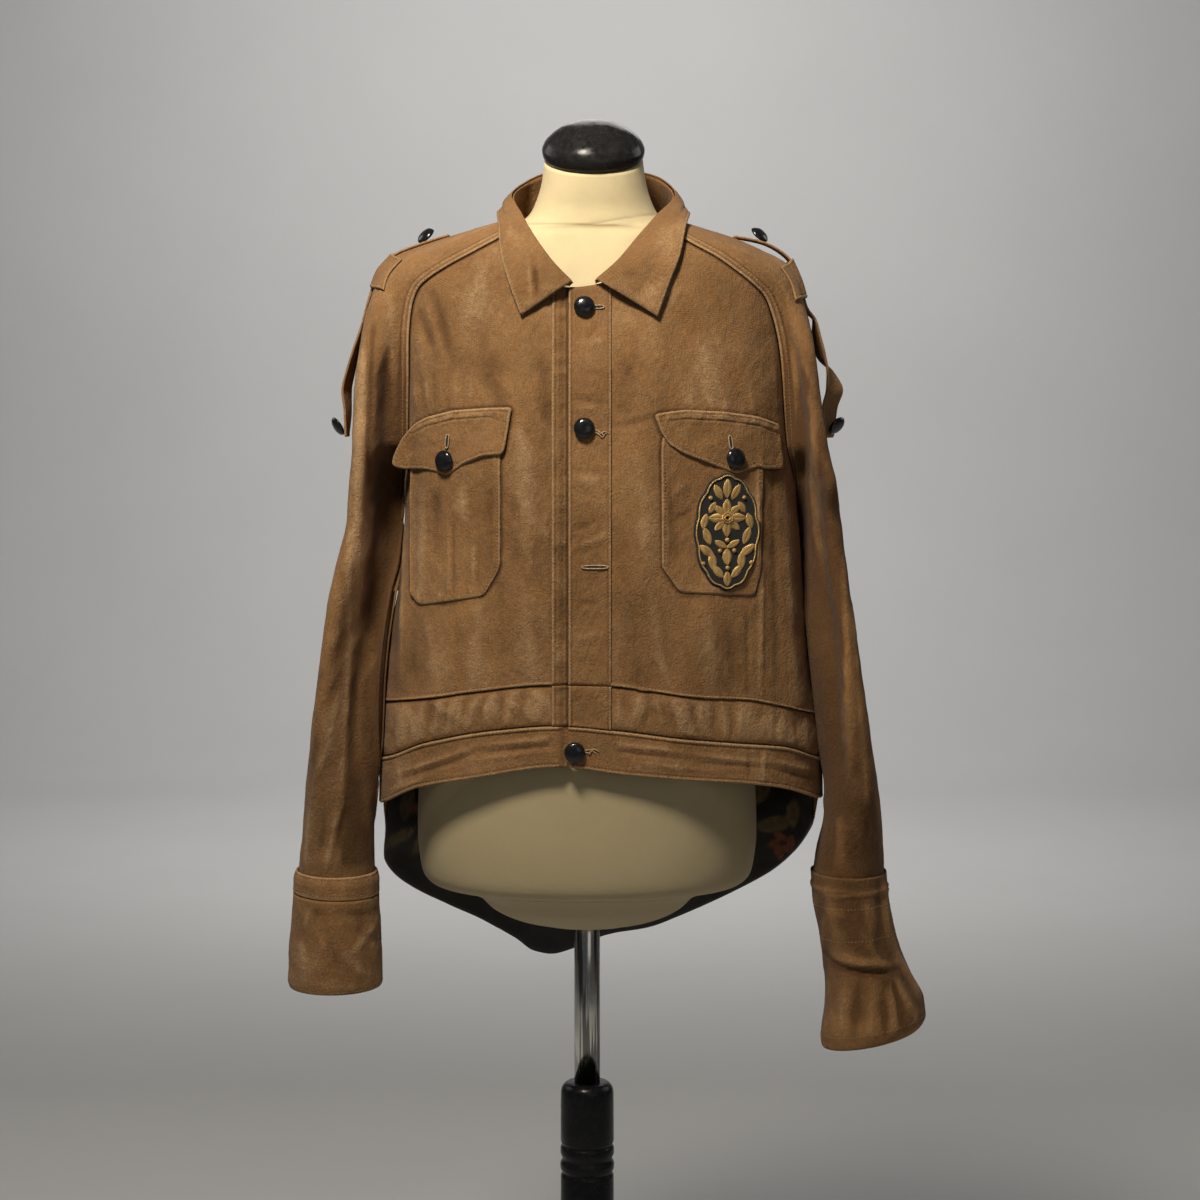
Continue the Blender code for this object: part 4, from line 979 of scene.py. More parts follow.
def crumple(x, z, size, seed, stretch=1.0):
    """Smooth seeded unevenness between -1 and 1, with bumps of a given size."""
    across = np.asarray(x, float) / size + 400.0
    up = np.asarray(z, float) / (size * stretch) + 400.0
    table = np.random.default_rng(seed).uniform(-1, 1, (128, 128))
    column = np.floor(across).astype(int)
    row = np.floor(up).astype(int)
    a = across - column
    b = up - row
    a = a * a * (3 - 2 * a)
    b = b * b * (3 - 2 * b)
    low = table[row % 128, column % 128] * (1 - a) + table[row % 128, (column + 1) % 128] * a
    high = table[(row + 1) % 128, column % 128] * (1 - a) + table[(row + 1) % 128, (column + 1) % 128] * a
    return low * (1 - b) + high * b


def worn_relief(x, z, seed):
    """Soft rumples that years of wear and washing leave in the cloth."""
    broad = 0.6 * crumple(x, z, 34, seed, 1.8) + 0.4 * crumple(x + z * 0.35, z, 15, seed + 1, 1.5)
    ridge = 0.35 - np.abs(crumple(x + z * 0.5, z, 19, seed + 4, 2.2)) * 0.9
    fine = 0.2 * crumple(x - z * 0.3, z, 6.5, seed + 2)
    sharp = 0.3 - np.abs(crumple(x - z * 0.55, z, 11, seed + 5, 3.0)) * 0.8
    return broad + fine + 0.9 * ridge + 0.6 * sharp + 0.07 * crumple(x, z + x * 0.4, 3.0, seed + 3)


def edge_profile(distance, rows):
    """Height over the plain cloth by distance from an edge or seam."""
    knots = [row[0] for row in rows]
    heights = [row[1] for row in rows]
    return np.interp(distance, knots, heights)


# Distance from the edge and height: a rolled free edge with one row of stitches, a double
# row, the lapped side of a cross seam, and the side that it laps over
SINGLE_EDGE = ((0, -0.75), (0.8, 0.1), (1.6, 0.45), (2.6, 0.3), (3.4, -0.4), (4.3, 0.1), (8, 0))
DOUBLE_EDGE = (
    (0, -0.75), (0.8, 0.1), (1.6, 0.5), (2.5, 0.3), (3.2, -0.3),
    (4.0, 0.3), (7.0, 0.35), (8.2, -0.35), (9.2, 0.05), (14, 0),
)
LAP_OVER = ((0, 0.1), (0.7, 1.1), (2.0, 1.3), (3.2, 0.45), (4.2, 0.0), (5.2, 0.15), (9, 0))
LAP_UNDER = ((0, -0.7), (1.2, -0.55), (3.5, -0.1), (7, 0))
RAGLAN = (
    (0, -0.2), (0.9, 1.2), (2.2, 1.4), (3.4, 0.3), (4.2, 0.45), (7.0, 0.5), (8.0, -0.3), (9.0, 0.1), (14, 0),
)


def seam_wear_and_shade(distance, kind):
    """How pale the ridge of a seam is rubbed, and the painted shade that darkens the cloth down beside it."""
    # A lapped-under edge gets only painted shade where the panel over it falls; other seams get a pale rubbed
    # ridge and painted shade in the groove beside it
    if kind == "under":
        return -1.1 * bell(distance / 1.7)
    ridge = 1.0 * bell((distance - 1.5) / 1.2)
    groove = -0.7 * bell((distance - 3.7) / 0.8)
    if kind == "double":
        groove = groove + 0.3 * bell((distance - 6.0) / 1.6) - 0.7 * bell((distance - 8.3) / 0.8)
    return ridge + groove


def arc_lengths(grid):
    """Running lengths across and down a grid, in millimetres."""
    across = np.zeros(grid.shape[:2])
    across[:, 1:] = np.cumsum(np.linalg.norm(np.diff(grid, axis=1), axis=2), axis=1)
    down = np.zeros(grid.shape[:2])
    down[1:] = np.cumsum(np.linalg.norm(np.diff(grid, axis=0), axis=2), axis=0)
    return across, down


def front_base(side, x, z):
    """Point and outward direction of one front, flat beyond its side for the flap."""
    x = np.asarray(x, float)
    inner = np.maximum(x, -166.0) if side < 0 else x
    point = torso(inner, z)
    beyond = x - inner
    point[..., 0] += beyond
    point[..., 1] -= 0.375 * beyond
    span = 1.5
    step = torso(inner + span, z) - torso(inner - span, z)
    rise = torso(inner, z + span) - torso(inner, z - span)
    out = np.cross(step, rise)
    out /= np.linalg.norm(out, axis=-1, keepdims=True)
    return point, np.where(out[..., 1:2] > 0, -out, out)


def front_relief(side, x, z):
    """Creases and rumples of one front."""
    rows = CREASES_LEFT if side < 0 else CREASES_RIGHT
    return crease_rise(x, z, rows) + worn_relief(x, z, 11 if side < 0 else 31)


def front_place(side, x, z, lift):
    """Place a given height over the creased front of one side, and its direction."""
    point, out = front_base(side, x, z)
    height = np.asarray(front_relief(side, x, z) + lift)
    return point + out * height[..., None], out


# Making of meshes

def settings(group):
    """Property group of the scene by its short name."""
    return getattr(bpy.context.scene, "work_jacket_" + group)


def quad_faces(rows, columns, closed=False):
    """Corner numbers of the cells of a grid, and whether a cell crosses the closing column."""
    row = np.arange(rows - 1)[:, None]
    column = np.arange(columns if closed else columns - 1)[None, :]
    after = (column + 1) % columns
    a = row * columns + column
    b = row * columns + after
    faces = np.stack([a, b, b + columns, a + columns], axis=-1).reshape(-1, 4)
    wraps = np.broadcast_to(after == 0, (rows - 1, column.shape[1])).reshape(-1)
    return faces, wraps if closed else np.zeros(len(faces), bool)


def add_mesh(name, points, faces, finish, wear_and_shading=None, corners=None):
    """Object of a mesh in millimetres, with smooth shading, its wear together with painted light and shade,
    and cloth coordinates.
    """
    mesh = bpy.data.meshes.new(name)
    mesh.from_pydata((np.asarray(points, float) * MM).tolist(), [], [list(map(int, face)) for face in faces])
    mesh.polygons.foreach_set("use_smooth", [True] * len(mesh.polygons))
    # Per-point amount of rubbed wear and of painted highlight and shade, which the finishes read
    amount = mesh.attributes.new("wear_and_shading", "FLOAT", "POINT")
    amount.data.foreach_set(
        "value", np.zeros(len(points)) if wear_and_shading is None else np.asarray(wear_and_shading, float).ravel(),
    )
    if corners is not None:
        layer = mesh.uv_layers.new(name="weave")
        layer.data.foreach_set("uv", np.asarray(corners, float).ravel() * MM)
    mesh.materials.append(finish)
    mesh.update()
    made = bpy.data.objects.new(name, mesh)
    bpy.context.scene.collection.objects.link(made)
    return made


def thicken(made, wall):
    """Wall of a cloth piece, inward from its outer surface."""
    solid = made.modifiers.new("wall", "SOLIDIFY")
    solid.thickness = wall * MM
    solid.offset = -1.0
    solid.use_rim = True
    return made


def cloth_grid(name, grid, finish, wall=WALL, wear_and_shading=None, closed=False, inside=(0.0, 0.0)):
    """Cloth piece over a fine grid, with its outer surface facing away from its inside."""
    rows, columns = grid.shape[:2]
    faces, wraps = quad_faces(rows, columns, closed)
    across, down = arc_lengths(grid)
    flat = np.stack([across, down], axis=-1).reshape(-1, 2)
    corners = flat[faces]
    if closed:
        last = across[:, -1] + np.linalg.norm(grid[:, 0] - grid[:, -1], axis=1)
        row = faces // columns
        for corner in (1, 2):
            corners[wraps, corner, 0] = last[row[wraps, corner]]
    points = grid.reshape(-1, 3)
    first, second, third = points[faces[:, 0]], points[faces[:, 1]], points[faces[:, 2]]
    facing = np.cross(second - first, third - first)
    away = (first - (inside[0], inside[1], 0)) * (1, 1, 0)
    if np.sum(facing * away) < 0:
        faces = faces[:, ::-1]
        corners = corners[:, ::-1]
    made = add_mesh(name, points, faces, finish, wear_and_shading, corners)
    return thicken(made, wall)


def rounded_outline(outline, radius, count):
    """Outline with rounded corners, as evenly spaced places."""
    corners = np.asarray(outline, float)
    places = []
    for index, corner in enumerate(corners):
        before = corners[index - 1] - corner
        after = corners[(index + 1) % len(corners)] - corner
        reach_before = min(radius, 0.45 * np.linalg.norm(before))
        reach_after = min(radius, 0.45 * np.linalg.norm(after))
        start = corner + before / np.linalg.norm(before) * reach_before
        end = corner + after / np.linalg.norm(after) * reach_after
        for share in np.linspace(0, 1, 7):
            places.append(start * (1 - share) ** 2 + corner * 2 * share * (1 - share) + end * share ** 2)
    places = np.array(places + places[:1])
    run = np.concatenate([[0], np.cumsum(np.linalg.norm(np.diff(places, axis=0), axis=1))])
    at = np.linspace(0, run[-1], count, endpoint=False)
    return np.stack([np.interp(at, run, places[:, axis]) for axis in (0, 1)], axis=1)


def edge_distance(places, outline):
    """Distance of places from the sides of a closed outline."""
    start = outline[None]
    side = np.roll(outline, -1, axis=0)[None] - start
    away = places[:, None] - start
    share = unit(np.sum(away * side, axis=2) / np.maximum(np.sum(side * side, axis=2), 1e-9))
    return np.linalg.norm(away - side * share[..., None], axis=2).min(axis=1)


def patch(name, outline, place, finish, lift, wall=WALL, profile=SINGLE_EDGE, own=None, count=220, rings=44):
    """Sewn-on piece of any convex outline, laid over the surface that place gives."""
    centre = outline.mean(axis=0)
    even = np.linspace(0, 1, rings)
    shares = 1 - 0.97 * (0.35 * even ** 2 + 0.65 * even)
    flat = np.concatenate([centre + (outline - centre) * share for share in shares] + [centre[None]])
    distance = edge_distance(flat, outline)
    height = edge_profile(distance, profile)
    if own is not None:
        height = height + own(flat[:, 0], flat[:, 1]) * unit(distance / 4)
    points, _ = place(flat[:, 0], flat[:, 1], lift + wall + height)
    faces, _ = quad_faces(rings, count, True)
    faces = faces.tolist()
    hub = rings * count
    ring = (rings - 1) * count
    faces += [[ring + index, ring + (index + 1) % count, hub] for index in range(count)]
    facing = sum(
        np.cross(points[face[1]] - points[face[0]], points[face[2]] - points[face[0]])[1]
        for face in faces[:count]
    )
    if facing > 0:
        faces = [face[::-1] for face in faces]
    corners = np.concatenate([flat[face] for face in faces])
    # Edges rubbed pale, with painted shade in the dips of the edge and in crease troughs
    wear_and_shading = 0.9 * bell(distance / 1.6) + 0.5 * height
    made = add_mesh(name, points, faces, finish, wear_and_shading, corners)
    return thicken(made, wall)


def inset_outline(outline, distance):
    """Outline moved inward by a distance."""
    along = np.roll(outline, -1, axis=0) - np.roll(outline, 1, axis=0)
    inward = np.stack([along[:, 1], -along[:, 0]], axis=1)
    inward /= np.linalg.norm(inward, axis=1, keepdims=True)
    middle = outline.mean(axis=0)
    if np.sum(inward * (middle - outline)) < 0:
        inward = -inward
    return outline + inward * distance


def edge_line(grid, edge, distance):
    """Places of a grid at a distance from one of its edges: top, foot, start or end."""
    turned_grid = grid if edge in ("top", "foot") else grid.transpose(1, 0, 2)
    if edge in ("foot", "end"):
        turned_grid = turned_grid[::-1]
    step = np.linalg.norm(np.diff(turned_grid, axis=0), axis=2)
    run = np.concatenate([np.zeros((1, step.shape[1])), np.cumsum(step, axis=0)])
    row = np.clip((run < distance).sum(axis=0), 1, len(turned_grid) - 1)
    column = np.arange(turned_grid.shape[1])
    before = run[row - 1, column]
    share = (distance - before) / np.maximum(run[row, column] - before, 1e-9)
    share = unit(share)[:, None]
    return turned_grid[row - 1, column] * (1 - share) + turned_grid[row, column] * share


def walk(line, pitch):
    """Places and directions at an even pitch along a line."""
    step = np.linalg.norm(np.diff(line, axis=0), axis=1)
    run = np.concatenate([[0], np.cumsum(step)])
    at = np.arange(pitch, run[-1] - pitch, pitch)
    spot = np.stack([np.interp(at, run, line[:, axis]) for axis in range(3)], axis=1)
    ahead = np.stack([np.interp(at + 0.4, run, line[:, axis]) for axis in range(3)], axis=1)
    along = ahead - spot
    return spot, along / np.maximum(np.linalg.norm(along, axis=1, keepdims=True), 1e-9)


def stitches(name, lines, finish, middle=(0.0, 0.0), width=0.42, height=0.34):
    """Rows of sewn stitches, each a small spindle of thread lying on the cloth."""
    pitch = settings("trims").stitch_pitch / MM
    length = 0.36 * pitch
    points = []
    faces = []
    for line in lines:
        line = np.asarray(line, float)
        spot, along = walk(line, pitch)
        if len(spot) < 2:
            continue
        away = (spot - (middle[0], middle[1], 0)) * (1, 1, 0.0)
        away -= along * np.sum(away * along, axis=1, keepdims=True)
        out = away / np.maximum(np.linalg.norm(away, axis=1, keepdims=True), 1e-9)
        side = np.cross(along, out)
        base = spot + out * 0.12
        for a, o, s, place in zip(along, out, side, base):
            first = len(points)
            points += [
                place - a * length - o * 0.2, place + a * length - o * 0.2,
                place + s * width, place + o * height, place - s * width, place - o * 0.25,
            ]
            for left, right in ((2, 3), (3, 4), (4, 5), (5, 2)):
                faces.append((first, first + left, first + right))
                faces.append((first + 1, first + right, first + left))
    return add_mesh(name, np.array(points), faces, finish)


def tube(path, radius, sides=8, ends=0.4):
    """Points and faces of a thin tube along a path, narrower at its ends."""
    path = np.asarray(path, float)
    along = np.gradient(path, axis=0)
    along /= np.maximum(np.linalg.norm(along, axis=1, keepdims=True), 1e-9)
    first = np.cross(along, (0.13, -0.9, 0.4))
    first /= np.maximum(np.linalg.norm(first, axis=1, keepdims=True), 1e-9)
    second = np.cross(along, first)
    angle = np.linspace(0, 2 * math.pi, sides, endpoint=False)
    share = np.linspace(-1, 1, len(path))
    size = radius * (1 - (1 - ends) * np.abs(share) ** 6)
    ring = (np.cos(angle)[None, :, None] * first[:, None] + np.sin(angle)[None, :, None] * second[:, None])
    points = path[:, None] + ring * size[:, None, None]
    faces, _ = quad_faces(len(path), sides, True)
    faces = faces.tolist()
    faces.append(list(range(sides)))
    faces.append([(len(path) - 1) * sides + index for index in range(sides)][::-1])
    return points.reshape(-1, 3), faces


def join_parts(parts):
    """Points and faces of several meshes as one."""
    points = []
    faces = []
    for some_points, some_faces in parts:
        start = len(points)
        points += [list(point) for point in some_points]
        faces += [[index + start for index in face] for face in some_faces]
    return np.array(points), faces


def turned_part(profile, steps, place=(0, 0, 0), axis=(0, 0, 1)):
    """Points and faces of a turned form, its profile running from the top to the bottom."""
    profile = np.asarray(profile, float)
    angle = np.linspace(0, 2 * math.pi, steps, endpoint=False)
    ring = profile[1:-1]
    points = np.stack([
        ring[:, :1] * np.cos(angle)[None], ring[:, :1] * np.sin(angle)[None],
        np.broadcast_to(ring[:, 1:], (len(ring), steps)),
    ], axis=-1).reshape(-1, 3)
    faces, _ = quad_faces(len(ring), steps, True)
    faces = faces[:, ::-1].tolist()
    top = len(points)
    last = (len(ring) - 1) * steps
    points = np.concatenate([points, [(0, 0, profile[0, 1])], [(0, 0, profile[-1, 1])]])
    for index in range(steps):
        after = (index + 1) % steps
        faces.append([top, index, after])
        faces.append([top + 1, last + after, last + index])
    lean = np.array(Vector(axis).to_track_quat("Z", "Y").to_matrix())
    return points @ lean.T + np.asarray(place, float), faces


def finer_profile(profile, parts):
    """Profile with curved stretches between its rows."""
    rows = np.asarray(profile, float)
    places = np.linspace(0, len(rows) - 1, (len(rows) - 1) * parts + 1)
    return table_curve(rows, places)


def owned(made, slot, *nodes):
    """Puts a piece on the root body and hides the parts that it replaces; its slot is not used."""
    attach(made, "root")
    if nodes:
        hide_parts(*nodes)
    return made


# Shapes of the pieces at full detail

def smooth_rows(grid, places):
    """Finer rows of a grid on smooth curves through its own rows."""
    rows = len(grid)
    flat = grid.reshape(rows, -1)
    knots = np.arange(rows)
    fine = np.stack([smooth(places, knots, flat[:, column]) for column in range(flat.shape[1])], axis=1)
    return fine.reshape((len(places),) + grid.shape[1:])


def from_edge(grid, edge):
    """Distance of each place of a grid from one of its edges."""
    across, down = arc_lengths(grid)
    if edge == "start":
        return across
    if edge == "end":
        return across[:, -1:] - across
    if edge == "top":
        return down
    return down[-1:] - down


def lift_grid(grid, height, middle=None):
    """Grid moved out by a height at each place."""
    if middle is None:
        middle = grid * (0, 0, 1)
    factor = settings("cloth").crease_depth
    return grid + outward(grid, middle) * (height * factor)[..., None]


def front_shape(side):
    """One front with its creases, its wear and its painted shading."""
    grid = front_panel(side, 98, 58, 124)
    height = front_relief(side, grid[..., 0], grid[..., 2])
    flat = np.stack([grid[..., 0], grid[..., 2]], axis=-1).reshape(-1, 2)
    # Painted shadow that the pocket and the flap cast on the front around them
    shadow = np.zeros(len(flat))
    for outline in (POCKETS[side < 0], FLAP_SHAPES[side < 0]):
        beside = edge_distance(flat, rounded_outline(np.array(outline, float), 5, 160))
        shadow = np.maximum(shadow, bell(beside / 2.2))
    shadow = shadow.reshape(grid.shape[:2])
    height = height * np.clip(from_edge(grid, "end") / 10, 0.15, 1)
    height = height + edge_profile(from_edge(grid, "end"), LAP_UNDER)
    foot = edge_profile(from_edge(grid, "foot"), LAP_OVER)
    # Crease troughs painted darker as shade and ridges paler; the waist seam's ridge rubbed pale with painted
    # shade beside it, and painted shade along the side edge under the sleeve
    wear_and_shading = np.clip(0.36 * height, -0.7, 0.6) + seam_wear_and_shade(from_edge(grid, "foot"), "over")
    wear_and_shading = wear_and_shading + seam_wear_and_shade(from_edge(grid, "end"), "under")
    wear_and_shading = wear_and_shading - 1.3 * shadow
    # Painted shade low in the recess between the front and the sleeve
    low = unit((1180 - grid[..., 2]) / 60)
    wear_and_shading = wear_and_shading - 0.75 * low * bell(from_edge(grid, "end") / (18 if side < 0 else 10))
    height = height * np.clip(from_edge(grid, "foot") / 6, 0.3, 1) + foot
    return lift_grid(grid, height), wear_and_shading


def add_underlap(grid, wear_and_shading):
    """Edge of the left front that steps in and runs under the right front."""
    rows = grid[:, 0]
    places = np.concatenate(
        [np.linspace(UNDERLAP_EDGE, STEP_IN, 16), np.linspace(STEP_IN, STEP_OUT, 7)[1:-1]]
    )
    share = unit((places - STEP_IN) / (STEP_OUT - STEP_IN))
    share = share * share * (3 - 2 * share)
    extra = []
    for row in rows:
        line = torso(places, np.full(len(places), row[2]))
        line[:, 1] -= UNDERLAP * (1 - share)
        start = torso(STEP_OUT, row[2])
        line += (row - start) * share[:, None]
        extra.append(line)
    return np.concatenate([np.array(extra), grid], axis=1), np.pad(wear_and_shading, ((0, 0), (len(places), 0)))


def back_shape():
    """The back with its creases, from the neck to the curved tail."""
    share = np.sin(np.linspace(-math.pi / 2, math.pi / 2, 115))
    grid = back_grid(60, 96, share)
    x, z = grid[..., 0], grid[..., 2]
    side = np.minimum(from_edge(grid, "start"), from_edge(grid, "end"))
    height = (crease_rise(x, z, BACK_CREASES) + 1.1 * worn_relief(x, z, 57)) * np.clip(side / 12, 0.15, 1)
    height = height + edge_profile(side, LAP_UNDER)
    hem = edge_profile(from_edge(grid, "foot"), DOUBLE_EDGE)
    band = 0.5 * bell((z - np.interp(x, (-205, 0, 232), (900, 930, 895))) / 1.6)
    # Creases painted darker in their troughs as shade and paler on their ridges; the hem and the cross band
    # paler on their ridges, with painted shade in the hem's dips
    wear_and_shading = np.clip(0.5 * height, -0.8, 0.8) + 0.6 * hem + band
    return lift_grid(grid, height + hem + band), wear_and_shading


def back_grid(rows_head, rows_body, share):
    """Plain back from the neck to the tail, for shares of its half width."""
    left = table_curve(HEAD_LEFT, np.linspace(0, len(HEAD_LEFT) - 1, rows_head))
    right = table_curve(HEAD_RIGHT, np.linspace(0, len(HEAD_RIGHT) - 1, rows_head))
    grid = []
    for row in range(rows_head + rows_body - 1):
        if row < rows_head:
            x = np.where(share < 0, -left[row, 2] * share, right[row, 2] * share)
            z = left[row, 3] + (right[row, 3] - left[row, 3]) * (share + 1) / 2
            z = z + 5 * (1 - share ** 2) * (1 - row / (rows_head - 1))
        else:
            drop = (row - rows_head + 1) / (rows_body - 1)
            z = 1150 + (seam_height(TAIL, share) - 1150) * drop
            x = share * torso_sizes(share, z)[0]
        grid.append(torso(x, z, back=True))
    return np.array(grid)


def sleeve_plain(side, turns):
    """Rows of a plain sleeve with its large folds."""
    grid = sleeve_base(side, turns)
    share = np.linspace(0, 1, len(grid))[:, None]
    edge = 1 - np.abs(turns)[None, :] ** 8
    return grid + outward(grid) * (arm_fold_rise(turns[None, :], share) * edge)[..., None]


def sleeve_shape(side):
    """One sleeve with its seams and creases, its wear and its painted shading."""
    turns = sleeve_turns(101)
    places = np.linspace(0, 20, 216)
    grid = smooth_rows(sleeve_plain(side, turns), places)
    x, z = grid[..., 0], grid[..., 2]
    rows = SLEEVE_CREASES_LEFT if side < 0 else SLEEVE_CREASES_RIGHT
    ahead = unit(-turns * 5)[None, :]
    height = crease_rise(x, z, rows) * ahead
    behind = unit(turns * 5)[None, :]
    height = height + crease_rise(x, z, SLEEVE_BACK_CREASES[side < 0]) * behind
    height = height + 0.85 * worn_relief(turns[None, :] * 105 + side * 300, z, 71 + side)
    front = from_edge(grid, "start")
    back = from_edge(grid, "end")
    head = unit((12.2 - places) / 0.8)[:, None]
    height = height * np.clip(np.minimum(front, back) / 10, 0.1, 1)
    seam = edge_profile(front, RAGLAN) + edge_profile(back, RAGLAN)
    over_arm = 0.55 * bell((turns[None, :] - 0.02) * 95 / 1.3) * unit((places - 13) / 2)[:, None]
    under_strap = (np.abs(turns)[None, :] < 0.17) & (places[:, None] > 1.2) & (places[:, None] < 6.4)
    height = np.where(under_strap, np.minimum(height, 0) * 0.5, height)
    foot = unit((z - 765) / 12)
    inner = unit((np.abs(turns)[None, :] - 0.8) / 0.2)
    swell = INNER_SWELL * inner * unit((z - 850) / 40) * unit((1115 - z) / 40)
    height = (height + over_arm) * foot + seam * head
    # Creases painted darker in their troughs as shade and paler on their ridges
    wear_and_shading = np.clip(0.55 * height, -0.8, 0.9)
    # Turn round the arm from which the inner front of the sleeve gets painted shade, where it turns back into
    # the recess beside the body
    recess_shade_turn = 0.5 if side < 0 else 0.68
    # The right sleeve is painted darker below its shoulder, as shade on the side away from the light
    if side > 0:
        wear_and_shading = wear_and_shading - 0.75 * unit((1330 - z) / 100)
    wear_and_shading = wear_and_shading - 1.1 * unit((-turns[None, :] - recess_shade_turn) / 0.08) * unit((1300 - z) / 90) * foot
    wear_and_shading = wear_and_shading + (seam_wear_and_shade(front, "double") + seam_wear_and_shade(back, "double")) * head
    # The inner swell is painted a little darker as shade
    return lift_grid(grid, height + swell, grid.mean(axis=1, keepdims=True)), wear_and_shading - 0.2 * swell


def strip_shape(side, top, foot, rows, creases, seed, is_band):
    """Waist strip or waistband of one front."""
    grid = strip_panel(side, top, foot, rows, 132)
    drop = np.linspace(0, 1, rows)[:, None]
    x, z = grid[..., 0], grid[..., 2]
    gather = crease_rise(x, z, creases) * (1.0 if is_band else 0.62) + 0.7 * worn_relief(x, z, seed)
    if not is_band:
        slant = x - side * 0.3 * (z - 920)
        gather = gather + np.sin(math.pi * drop) * (
            1.5 + 0.9 * crumple(slant + 0.8 * (z - 920), z, 15, seed + 9, 2.2)
            - 1.1 * np.abs(crumple(slant, z, 11, seed + 11, 4)) + 0.3 * crumple(slant, z, 5.5, seed + 10, 5)
        )
    height = gather * np.clip(np.minimum(from_edge(grid, "top"), from_edge(grid, "foot")) / 5, 0.1, 1)
    height = height * np.clip(from_edge(grid, "end") / 8, 0.15, 1)
    height = height * np.clip((side * x - (26 if side > 0 else 31)) / 6, 0.05, 1)
    if is_band:
        edges = (
            edge_profile(from_edge(grid, "top"), LAP_OVER)
            + edge_profile(from_edge(grid, "foot"), SINGLE_EDGE)
        )
    else:
        edges = (
            edge_profile(from_edge(grid, "top"), LAP_UNDER)
            + edge_profile(from_edge(grid, "foot"), LAP_UNDER)
        )
    edges = edges + edge_profile(from_edge(grid, "end"), LAP_UNDER)
    # Troughs of the gathers painted darker as shade and ridges paler; seam ridges rubbed pale, with painted
    # shade beside them and under the lapping panels
    wear_and_shading = (
        np.clip(0.5 * height, -0.8, 0.8)
        + seam_wear_and_shade(from_edge(grid, "top"), "over" if is_band else "under")
    )
    wear_and_shading = wear_and_shading + seam_wear_and_shade(from_edge(grid, "foot"), "over" if is_band else "under")
    wear_and_shading = wear_and_shading + seam_wear_and_shade(from_edge(grid, "end"), "under")
    return lift_grid(grid, height + edges), wear_and_shading


def step_depth(x):
    """How far the underlap lies behind the front's own surface."""
    share = unit((x - STEP_OUT) / (STEP_IN - STEP_OUT))
    return UNDERLAP * share * share * (3 - 2 * share)


def refine(grid, rows, columns):
    """Finer grid on smooth curves through a coarse one."""
    grid = smooth_rows(grid, np.linspace(0, len(grid) - 1, rows))
    turned_grid = smooth_rows(grid.transpose(1, 0, 2), np.linspace(0, grid.shape[1] - 1, columns))
    return turned_grid.transpose(1, 0, 2)


def strap_shapes(side):
    """Shoulder strap and its loop, over the sleeve's own shape."""
    turns = np.linspace(-1, 1, 19)
    grid = sleeve_plain(side, turns)
    out = outward(grid)
    lift = np.array(STRAP_LIFT_LEFT if side < 0 else STRAP_LIFT_RIGHT)[:, None, None]
    upper = grid[2:7, 8:11] + out[2:7, 8:11] * lift
    path = np.asarray(STRAP_LEFT if side < 0 else STRAP_RIGHT, float)
    turn = np.radians(path[:, 3]) * side
    wide = np.stack([-np.sin(turn), np.cos(turn), 0 * turn], axis=1) * STRAP_HALF
    path = path[:, :3]
    hanging = np.stack([path - wide, path, path + wide], axis=1)
    if np.dot(upper[-1, 0] - upper[-1, -1], hanging[0, 0] - hanging[0, -1]) < 0:
        hanging = hanging[:, ::-1]
    strap = np.concatenate([upper, hanging])
    low = np.full((3, 1, 1), GAP + LOOP_WALL)
    over = np.tile(lift[2:] + 2 * GAP + LOOP_WALL, (1, 3, 1))
    heights = np.concatenate([low + LOOP_CLEAR, low + LOOP_CLEAR, low, over, low], axis=1)
    band = grid[4:7, 5:12] + out[4:7, 5:12] * heights
    band[-1] = band[-2] + (band[-1] - band[-2]) * LOOP_SHARE
    up = np.cross(upper[1, 1] - upper[0, 1], upper[0, 2] - upper[0, 0])
    up = up / np.linalg.norm(up) * math.copysign(1, up[2])
    axis = np.array([side * SHOULDER_LEAN[0], SHOULDER_LEAN[1], SHOULDER_LEAN[2]])
    upright = float(np.dot(up, axis))
    rise = 10.0 * math.sqrt(1 - upright ** 2) - 3.2 * upright + GAP
    return strap, band, (upper[0, 1] + 3 * upper[1, 1]) / 4 + up * max(rise, 0.0), axis


def collar_shapes():
    """Collar stand and turned-down leaf with their creases."""
    places = np.linspace(0, len(COLLAR) - 1, 176)
    rows = table_curve(COLLAR, places)
    neck, fold, edge = rows[:, 0:3], rows[:, 3:6], rows[:, 6:9]
    stand = neck + (fold - neck) * np.linspace(0, 1, 12)[:, None, None]
    centre = np.array([6.0, 5.0, 0.0])
    out = fold - centre
    out[:, 2] = 0
    out /= np.linalg.norm(out, axis=1, keepdims=True)
    share = np.linspace(0, 1, 40)[:, None]
    roll = np.sin(math.pi * np.minimum(share * 1.6, 1)) * 2.5
    leaf = fold + (edge - fold) * share[..., None] + out * (1.6 + roll)[..., None]
    leaf[..., 2] += 2.0 * (1 - share)
    creases = [(a, 2 * b, c, 2 * d, width, rise) for a, b, c, d, width, rise in COLLAR_CREASES]
    height = (
        crease_rise(places[None, :], 2 * share, creases)
        + 0.6 * worn_relief(places[None, :] * 28, share * 52, 91)
    )
    distance = np.minimum(
        np.minimum(from_edge(leaf, "start"), from_edge(leaf, "end")), from_edge(leaf, "foot"),
    )
    height = height * np.clip(distance / 5, 0.1, 1) * unit(share * 5)
    edges = edge_profile(distance, SINGLE_EDGE)
    # Edge rubbed pale, creases painted darker in their troughs as shade and paler on their ridges
    wear_and_shading = np.clip(0.6 * height, -0.8, 0.8) + 0.9 * bell(distance / 1.8)
    return stand, lift_grid(leaf, height + edges, centre + leaf * (0, 0, 1)), wear_and_shading


